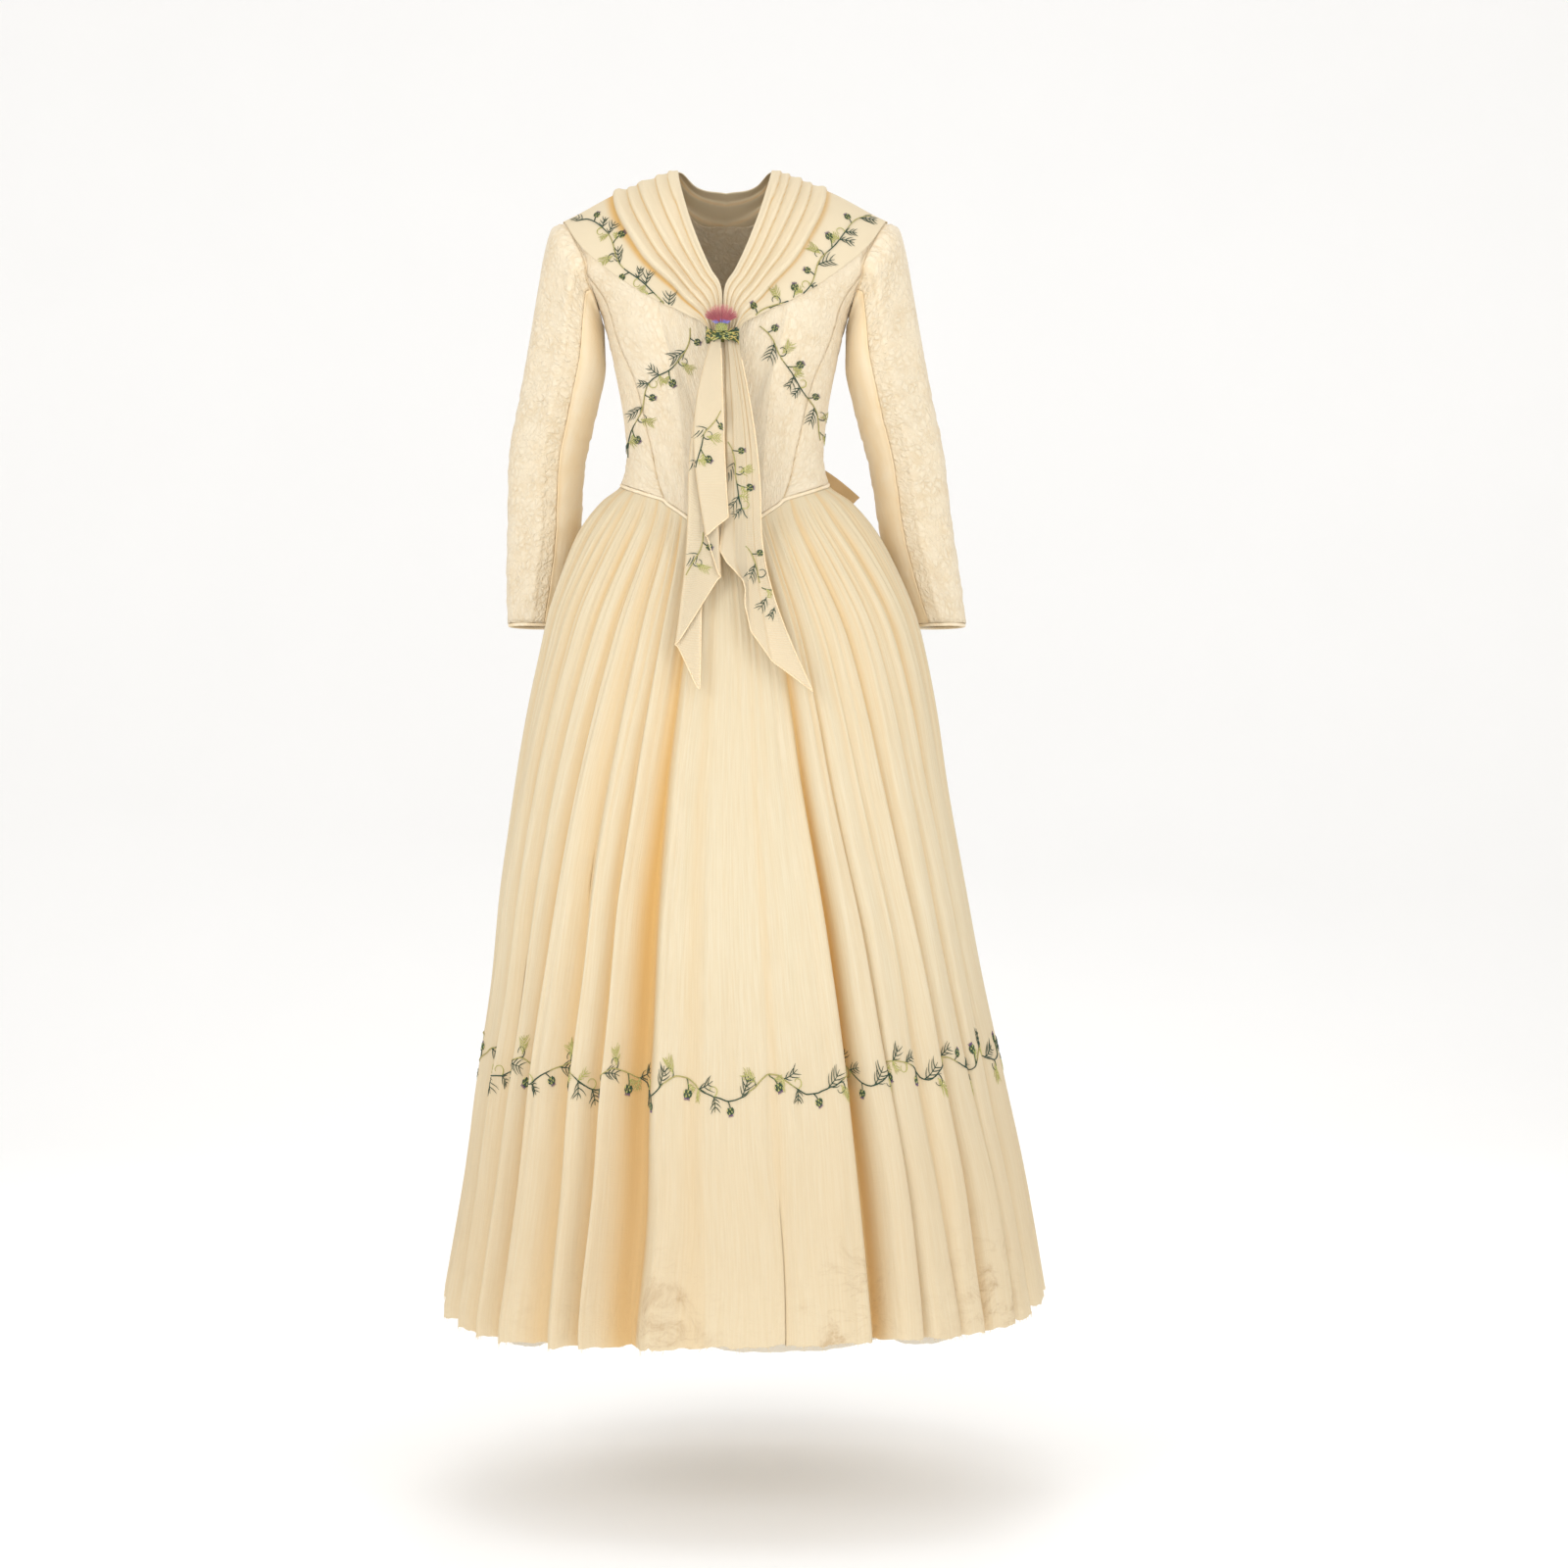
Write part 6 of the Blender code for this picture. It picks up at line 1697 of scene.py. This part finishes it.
def addLeaf(pattern, colour, start, direction, length, chance, barbs, bend):
    # spiky leaf: a rib with slanting barbs, longer at its middle
    rib = bentLine(start, direction, length, bend, 8)
    share = np.linspace(0, 1, 8)
    addStroke(pattern, colour, rib, stitch["rib"] * (1 - 0.6 * share))
    for k in range(barbs):
        at = 0.12 + 0.78 * k / barbs
        root = np.array([np.interp(at, share, rib[:, 0]), np.interp(at, share, rib[:, 1])])
        ahead = turned(direction, bend * at)
        size = length * (0.62 - 0.5 * abs(at - 0.38)) * chance.uniform(0.8, 1.2)
        for side in (-1, 1):
            barb = bentLine(root, turned(ahead, side * chance.uniform(0.75, 1.05)), size, -side * 0.5, 4)
            addStroke(pattern, colour, barb, stitch["barb"] * np.array([0.8, 1.0, 0.7, 0.2]))


def addBud(pattern, start, direction, size, chance):
    # thistle bud: rows of overlapping scales, purple at the tip, with a few spikes at its neck
    neck = np.asarray(start, float)
    side = turned(direction, pi / 2)
    for row, half in enumerate((0.3, 0.44, 0.42, 0.3)):
        for k in range(-2, 3):
            root = neck + direction * size * (0.19 * row - 0.05 * abs(k)) + side * size * half * k / 2
            scale = bentLine(root, turned(direction, 0.12 * k), size * 0.36, -0.2 * k, 3)
            colour = "midGreen" if (k + row) % 2 else "darkGreen"
            if (k + 2 * row) % 5 == 0:
                colour = "lightGreen"
            addStroke(pattern, colour, scale, size * 0.085 * np.array([0.8, 1.0, 0.35]))
    for k in range(-2, 3):
        root = neck + direction * size * 0.78 + side * size * 0.1 * k
        tip = bentLine(root, turned(direction, 0.22 * k), size * 0.34, 0.0, 3)
        addStroke(pattern, "purple", tip, size * 0.055 * np.array([1.0, 0.8, 0.3]))
    for angle in (-1.9, -1.3, 1.3, 1.9):
        ahead = turned(direction, angle + chance.uniform(-0.2, 0.2))
        spike = bentLine(neck, ahead, size * 0.42, -angle * 0.3, 3)
        addStroke(pattern, "lightGreen", spike, stitch["spike"] * np.array([1.0, 0.8, 0.3]))


def addCurl(pattern, colour, start, direction, size, hand):
    line = [np.asarray(start, float)]
    for k in range(14):
        angle = hand * (0.15 + 0.33 * k)
        line.append(line[-1] + turned(direction, angle) * size * 0.16 * (1 - 0.035 * k))
    share = np.linspace(0, 1, len(line))
    addStroke(pattern, colour, line, stitch["curl"] * (1 - 0.45 * share))


def growVine(spine, chance, period, wave, size):
    # a running stem that sways across its spine, with buds, leaves and curls at each bend
    pattern = newPattern()
    spine = np.asarray(spine, float)
    lengths = lengthsAlong(spine)
    total = lengths[-1]

    def sideAt(s):
        ahead = hermite(lengths, spine, min(s + 0.002, total)) - hermite(lengths, spine, max(s - 0.002, 0.0))
        ahead = ahead / np.linalg.norm(ahead)
        return np.array([-ahead[1], ahead[0]])

    def stemAt(s):
        sway = wave * math.sin(2 * pi * s / period + 0.4 * math.sin(5 * s / period))
        return hermite(lengths, spine, s) + sideAt(s) * sway

    count = max(int(total / 0.004), 4)
    line = np.array([stemAt(total * k / count) for k in range(count + 1)])
    halfWaves = max(int(total / period * 2 + 0.5), 1)
    for k in range(halfWaves):
        part = line[int(count * k / halfWaves):int(count * (k + 1) / halfWaves) + 2]
        if len(part) > 1:
            radii = stitch["stem"] + 0.00015 * np.sin(np.linspace(0, pi, len(part)))
            addStroke(pattern, "darkGreen" if k % 2 else "paleStem", part, radii)

    s = period * 0.12
    step = 0
    while s < total - period * 0.08:
        stem = stemAt(s)
        slope = stemAt(min(s + 0.003, total)) - stemAt(max(s - 0.003, 0))
        slope = slope / np.linalg.norm(slope)
        kind = step % 6
        flip = 1 if math.sin(2 * pi * s / period) > 0 else -1
        jitter = chance.uniform(-0.2, 0.2)

        def leaf(colour, start, angle, length, barbs, bend):
            addLeaf(pattern, colour, start, turned(slope, angle), length * size, chance, barbs, bend)

        def budOnStalk(colour, hand, angle, length, bend, budAngle, budSize):
            stalk = bentLine(stem, turned(slope, hand * (angle + jitter)), length * size, hand * bend, 5)
            addStroke(pattern, colour, stalk, stitch["stalk"])
            addBud(pattern, stalk[-1], turned(slope, hand * (budAngle + jitter)), budSize * size, chance)
            return stalk

        if kind == 0:
            budOnStalk("darkGreen", flip, 0.9, 0.009, 0.4, 1.35, 0.009)
        elif kind == 1:
            leaf("darkGreen", stem, -flip * (0.55 + jitter), 0.027, 4, -flip * 0.3)
        elif kind == 2:
            addCurl(pattern, "darkGreen", stem, turned(slope, flip * 0.7), 0.015 * size, flip)
            leaf("lightGreen", stem + sideAt(s) * flip * 0.004, flip * (1.6 + jitter), 0.021, 5, 0.4)
        elif kind == 3:
            stalk = budOnStalk("midGreen", -flip, 0.8, 0.015, 0.5, 1.4, 0.0102)
            leaf("lightGreen", stalk[2], -flip * 0.3, 0.012, 3, 0.3)
        elif kind == 4:
            leaf("darkGreen", stem, flip * (0.7 + jitter), 0.022, 3, flip * 0.5)
            leaf("lightGreen", stem, -flip * (1.3 + jitter), 0.015, 3, 0.2)
        else:
            addCurl(pattern, "lightGreen", stem, turned(slope, -flip * 0.6), 0.014 * size, -flip)
            leaf("darkGreen", stem, flip * (0.9 + jitter), 0.018, 3, -0.4)
        s += period * chance.uniform(0.135, 0.175)
        step += 1
    return pattern


def layPattern(pattern, surfaceAt, gathered):
    # lays each thread of the pattern on the surface and adds it to what is gathered by colour
    for colour, strokes in pattern.items():
        if not strokes:
            continue
        flat = np.vstack([points for points, _ in strokes])
        placed, normals, good = surfaceAt(flat[:, 0], flat[:, 1])
        at = 0
        for points, radii in strokes:
            span = slice(at, at + len(points))
            at += len(points)
            if not good[span].all():
                continue
            radii = np.broadcast_to(radii, len(points))
            lift = stitch["lift"] + radii[:, None] * 0.4
            gathered[colour].append((placed[span] + normals[span] * lift, radii))


def figureSurface(lift, front=True):
    def at(x, z):
        place = placeOf(x, z, front)
        points = offFigure(place[:, 0], place[:, 1], np.full(len(x), lift))
        base = onFigure(place[:, 0], place[:, 1])
        return points, unit(points - base), np.ones(len(x), bool)
    return at


def frontSurface(piece):
    # what is foremost of a piece at a breadth and height, seen from the front
    bm = bmesh.new()
    bm.from_mesh(piece.data)
    tree = BVHTree.FromBMesh(bm)
    bm.free()

    def at(x, z):
        points, normals, good = [], [], []
        for a, b in zip(x, z):
            point, normal = tree.ray_cast(Vector((a, -1.0, b)), Vector((0, 1, 0)), 2.0)[:2]
            good.append(point is not None)
            points.append((a, 0, b) if point is None else point)
            normal = np.array((0, -1.0, 0) if normal is None else normal)
            normals.append(normal if normal[1] < 0 else -normal)
        return np.array(points, float), np.array(normals, float), np.array(good)
    return at


def gridSurface(points, uvs):
    normals = gridNormals(points, True)
    across, along = uvs[0, :, 0], uvs[:, 0, 1]

    def at(x, y):
        span = across[-1] - across[0]
        x = (np.asarray(x) - across[0]) % span + across[0]
        c = np.interp(x, across, np.arange(len(across)))
        r = np.interp(y, along, np.arange(len(along)))
        c0, r0 = np.floor(c).astype(int), np.floor(r).astype(int)
        c0, r0 = np.clip(c0, 0, len(across) - 2), np.clip(r0, 0, len(along) - 2)
        fc, fr = (c - c0)[:, None], (r - r0)[:, None]
        out = []
        for field in (points, normals):
            out.append((field[r0, c0] * (1 - fc) + field[r0, c0 + 1] * fc) * (1 - fr)
                       + (field[r0 + 1, c0] * (1 - fc) + field[r0 + 1, c0 + 1] * fc) * fr)
        return out[0], unit(out[1]), np.ones(len(x), bool)
    return at


embroidery = {
    "seed": 11,
    # spines in breadth and height, as seen from the front
    "bodiceLeft": ((-0.037, -0.202), (-0.048, -0.232), (-0.059, -0.249), (-0.082, -0.262), (-0.095, -0.284),
                   (-0.103, -0.31), (-0.107, -0.34)),
    "bodiceRight": ((0.041, -0.2), (0.052, -0.216), (0.062, -0.23), (0.082, -0.25), (0.094, -0.276),
                    (0.103, -0.296), (0.112, -0.318)),
    "kerchiefLeft": ((-0.043, -0.195), (-0.062, -0.176), (-0.086, -0.158), (-0.108, -0.136), (-0.122, -0.11),
                     (-0.14, -0.084), (-0.158, -0.064), (-0.172, -0.06)),
    "kerchiefRight": ((0.032, -0.1955), (0.058, -0.178), (0.085, -0.16), (0.105, -0.138), (0.118, -0.112),
                      (0.132, -0.088), (0.15, -0.068), (0.172, -0.06)),
    # round the point at the back
    "kerchiefBack": ((0.168, -0.078), (0.15, -0.1), (0.112, -0.152), (0.07, -0.212), (0.03, -0.262),
                     (0.0, -0.277), (-0.03, -0.262), (-0.07, -0.212), (-0.112, -0.152), (-0.15, -0.1),
                     (-0.168, -0.078)),
    "tailLeftUpper": ((-0.002, -0.3), (-0.021, -0.322), (-0.022, -0.34), (-0.026, -0.364)),
    "tailLeftLower": ((-0.022, -0.436), (-0.03, -0.458), (-0.038, -0.486)),
    "tailRightUpper": ((0.006, -0.334), (0.012, -0.362), (0.02, -0.388), (0.028, -0.42)),
    "tailRightLower": ((0.026, -0.452), (0.036, -0.48), (0.052, -0.508), (0.066, -0.528)),
    "aboveKerchief": 0.0008,
    "bandPeriod": 0.126,
    "bandWave": 0.013,
    "smallPeriod": 0.086,
    "smallWave": 0.004,
    "smallSize": 0.8,
}


def makeEmbroidery(dress, materials):
    chance = random.Random(embroidery["seed"])
    gathered = newPattern()
    small = [embroidery[key] for key in ("smallPeriod", "smallWave", "smallSize")]
    hanging = dress["tails"]
    overBack = kerchief["lift"] + kerchief["cloth"] + embroidery["aboveKerchief"]
    for surface, spines in (
        (figureSurface(bodice["cloth"]), ("bodiceLeft", "bodiceRight")),
        (frontSurface(dress["kerchief"]), ("kerchiefLeft", "kerchiefRight")),
        (figureSurface(overBack, False), ("kerchiefBack",)),
        (frontSurface(hanging["tail_left"]), ("tailLeftUpper", "tailLeftLower")),
        (frontSurface(hanging["tail_right"]), ("tailRightUpper", "tailRightLower")),
    ):
        for spine in spines:
            layPattern(growVine(embroidery[spine], chance, *small), surface, gathered)
    # band round the skirt
    points, uvs = dress["skirt"]["points"], dress["skirt"]["uvs"]
    across, along = uvs[0, :, 0], uvs[:, 0, 1]
    middle = int(np.argmin(np.abs(across)))
    bandRow = float(np.interp(skirt["bandHeight"], points[:, middle, 2], np.arange(len(along))))
    height = float(np.interp(bandRow, np.arange(len(along)), along))
    total = across[-1] - across[0]
    count = round(total / embroidery["bandPeriod"])
    breadths = np.linspace(0, total, count * 8 + 1) + across[0]
    spine = np.stack([breadths, np.full(len(breadths), height)], axis=1)
    band = growVine(spine, chance, total / count, embroidery["bandWave"], 1.0)
    layPattern(band, gridSurface(points, uvs), gathered)
    for colour, strokes in gathered.items():
        piece = threadPiece(f"embroidery_{colour}", strokes, materials[colour], 3)


# painted shade: a thin dark line where two panels are sewn

seams = {"sleeveRadius": 0.00034, "bodiceRadius": 0.00036, "endRadius": 0.00008, "sunk": 0.0008}


def makeSeams(sleeveSeams, material):
    strokes = [(line[:-2], seams["sleeveRadius"]) for line in sleeveSeams]
    for seam in (frontSeam(88), backSeam(88)):
        for line in (seam, mirrored(seam)):
            points = offFigure(line[:, 0], line[:, 1], np.full(len(line), bodice["cloth"] - seams["sunk"]))
            # thinner towards the top, where the seam hardly shows
            radii = np.interp(points[:, 2], (-0.36, -0.28), (seams["bodiceRadius"], seams["endRadius"]))
            strokes.append((points, radii))
    threadPiece("seam_lines_threads", strokes, material, 6)


# frayed edge of the skirt and loose threads of the layer under it

fringe = {
    "seed": 6,
    "radius": 0.00016,
    "root": 0.0012,  # the threads start so far above the edge
    # name, threads, longest, material and slot
    "edges": (("skirt_frayed_edge", 900, 0.0075, "fray", "skirt_gauze"),
              ("under_frayed_edge", 420, 0.005, "frayPale", "under_layer")),
}


def makeFringe(dress, materials):
    chance = random.Random(fringe["seed"])
    edges = (dress["skirt"]["points"][0], dress["skirt"]["underEdge"])
    for edge, (name, count, longest, colour, slot) in zip(edges, fringe["edges"]):
        strokes = []
        for _ in range(count):
            at = chance.uniform(0, len(edge) - 1.001)
            k = int(at)
            start = edge[k] * (1 - at + k) + edge[k + 1] * (at - k)
            along = unit(edge[k + 1] - edge[k])
            long = longest * chance.uniform(0.25, 1.0) ** 1.5
            sway = chance.uniform(-0.7, 0.7)
            share = np.linspace(0, 1, 4)[:, None]
            line = start + np.array([0, 0, fringe["root"]]) + along * sway * long * share ** 1.5
            line = line - np.array([0, 0, 1.0]) * long * share
            strokes.append((line, fringe["radius"] * (1 - 0.5 * share[:, 0])))
        threadPiece(name, strokes, materials[colour], 4)


# the dress

makeStudio()
print("materials")
deep = colours["goldenFoldShade"]
materials = {
    "quilt": quiltMaterial("quiltedCloth", colours["plain"], 0.36, 0.62, 1.1),
    "quiltLeft": quiltMaterial("quiltedSleeveLeft", colours["plain"], 0.42, 0.8, 0.75),
    "quiltRight": quiltMaterial("quiltedSleeveRight", colours["plain"], 0.42, 0.8, -0.75),
    "plain": plainMaterial("smoothSleeveCloth"),
    "skirt": skirtMaterial("skirtGauze"),
    "under": gauzeMaterial("underLayer", colours["under"], (0.62, 0.5, 0.32), 900.0, 0.3, 0.3),
    "kerchief": gauzeMaterial("kerchiefGauze", colours["kerchief"], deep, 1100.0, 0.3, 0.18),
    "tail": gauzeMaterial("hangingGauze", colours["kerchiefPale"], deep, 400.0, 0.8, 0.26, 1.0),
    "cord": cordMaterial("coveredCord"),
    "ribbon": ribbonMaterial("satinRibbon"),
    "tuft": tuftMaterial("thistleTuft", -0.2, -0.181),
}
threads = {
    # name of the material, colour, second shade, roughness, fineness of the streaks
    "loopCloth": ("loopCloth", colours["midGreen"], (0.2, 0.19, 0.05), 0.6, 300.0),
    "gold": ("goldThread", (0.42, 0.3, 0.07), (0.6, 0.46, 0.16), 0.45),
    "darkGreen": ("darkGreenThread", colours["darkGreen"], (0.045, 0.085, 0.06)),
    "midGreen": ("greenThread", colours["midGreen"], (0.1, 0.14, 0.06)),
    "lightGreen": ("paleGreenThread", colours["lightGreen"], (0.54, 0.5, 0.2)),
    "paleStem": ("oliveThread", colours["paleStem"], (0.3, 0.3, 0.1)),
    "purple": ("purpleThread", colours["purple"], (0.16, 0.08, 0.2)),
    "violet": ("violetThread", colours["violet"], (0.32, 0.3, 0.62)),
    "bulb": ("thistleBulb", colours["bulb"], (0.36, 0.36, 0.1), 0.6, 500.0),
    "fray": ("looseThread", (0.8, 0.68, 0.46), (0.7, 0.54, 0.32), 0.8),
    "frayPale": ("paleLooseThread", (0.86, 0.81, 0.7), (0.78, 0.7, 0.56), 0.8),
    # seam: colour of the painted seam shade
    "seam": ("seamShade", (0.56, 0.4, 0.2), (0.66, 0.5, 0.28), 0.8),
    "hem": ("rolledHem", (0.84, 0.7, 0.48), (0.74, 0.56, 0.33), 0.8),
}
materials.update((key, threadMaterial(*values)) for key, values in threads.items())
print("bodice")
makeBodice(materials["quilt"])
print("sleeves")
quilts = {"left": materials["quiltLeft"], "right": materials["quiltRight"]}
dress = {"sleeves": makeSleeves(quilts, materials["plain"], materials["cord"])}
print("skirt")
dress["skirt"] = makeSkirt(materials["skirt"], materials["under"], materials["cord"])
print("kerchief")
dress["kerchief"] = makeKerchief(materials["kerchief"])
dress["tails"] = makeTails(materials["tail"], materials["hem"])
print("loop and thistle")
makeLoop(materials)
print("bow")
makeBow(materials["ribbon"])
print("embroidery")
makeEmbroidery(dress, materials)
makeFringe(dress, materials)
makeSeams(dress["sleeves"], materials["seam"])

print("floor")


def makeFloor():
    # one sweep: flat under the dress, then rising softly behind it
    bm = bmesh.new()
    bmesh.ops.create_grid(bm, x_segments=40, y_segments=90, size=0.5)
    reach, bend = studio["floorReach"], studio["floorBend"]
    for vertex in bm.verts:
        along = (vertex.co.y + 0.5) * (reach[1] - reach[0] + bend * pi / 2 + studio["wallHeight"])
        flat = reach[1] - reach[0]
        turn = min(max((along - flat) / bend, 0.0), pi / 2)
        up = max(along - flat - bend * pi / 2, 0.0)
        vertex.co = Vector((vertex.co.x * 2 * studio["floorHalf"],
                            reach[0] + min(along, flat) + bend * math.sin(turn),
                            studio["floorHeight"] + bend * (1 - math.cos(turn)) + up))
    mesh = bpy.data.meshes.new("studio_floor")
    bm.to_mesh(mesh)
    bm.free()
    mesh.shade_smooth()
    material, tree = newMaterial("paleFloor")
    clouds = noiseOf(tree, placeInSpace(tree), 3.0, 3.0)
    clothShader(tree, blendColour(tree, clouds, (0.95, 0.95, 0.95), (0.97, 0.97, 0.97)), None, 0.9)
    floor = newPiece("studio_floor", mesh, material)


makeFloor()

# every piece of the dress rides on its one body
starts = ("embroidery_", "loop_leaves_")
ends = ("_cloth", "_cord", "_gauze", "_ribbon", "_band", "_body", "_wrap", "_threads", "_hem", "_edge",
        "_collar", "_scales")
for thing in scene.objects:
    if thing.type == "MESH" and (thing.name.startswith(starts) or thing.name.endswith(ends)):
        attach(thing, "root")

# the cloths, as they were cut: gathered ones as full rectangles, shaped panels with their own area


sheets = {
    "held": {"bodice": "stretched", "under": "gathered", "skirt": "gathered"},  # the others are draped
    "skirtShare": 0.8,  # of the full rectangle, since the widths are gored to the waist
    "underShare": 0.6,
}


def declareSheets():
    for name, (width, length, area) in cuts.items():
        if name.endswith(("_cord", "_band")) or name.startswith("tail_"):
            continue
        flat, flatArea, together = (width, length), min(area, width * length), []
        if name == "kerchief_gauze":
            # long pleated scarf: its own stretch and the two hanging ends
            together = [piece for piece in scene.objects
                        if piece.name.startswith("tail_") and "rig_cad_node" not in piece]
            ends = [cuts["tail_left_gauze"], cuts["tail_right_gauze"]]
            flat = (length + ends[0][1] + ends[1][1], width)
            flatArea = min(area + ends[0][2] + ends[1][2], flat[0] * flat[1])
        elif name == "skirt_gauze":
            flatArea = sheets["skirtShare"] * width * length
            together = [bpy.data.objects["skirt_frayed_edge"]]
        elif name == "under_layer_cloth":
            flatArea = max(flatArea, sheets["underShare"] * width * length)
            together = [bpy.data.objects["under_frayed_edge"]]


declareSheets()
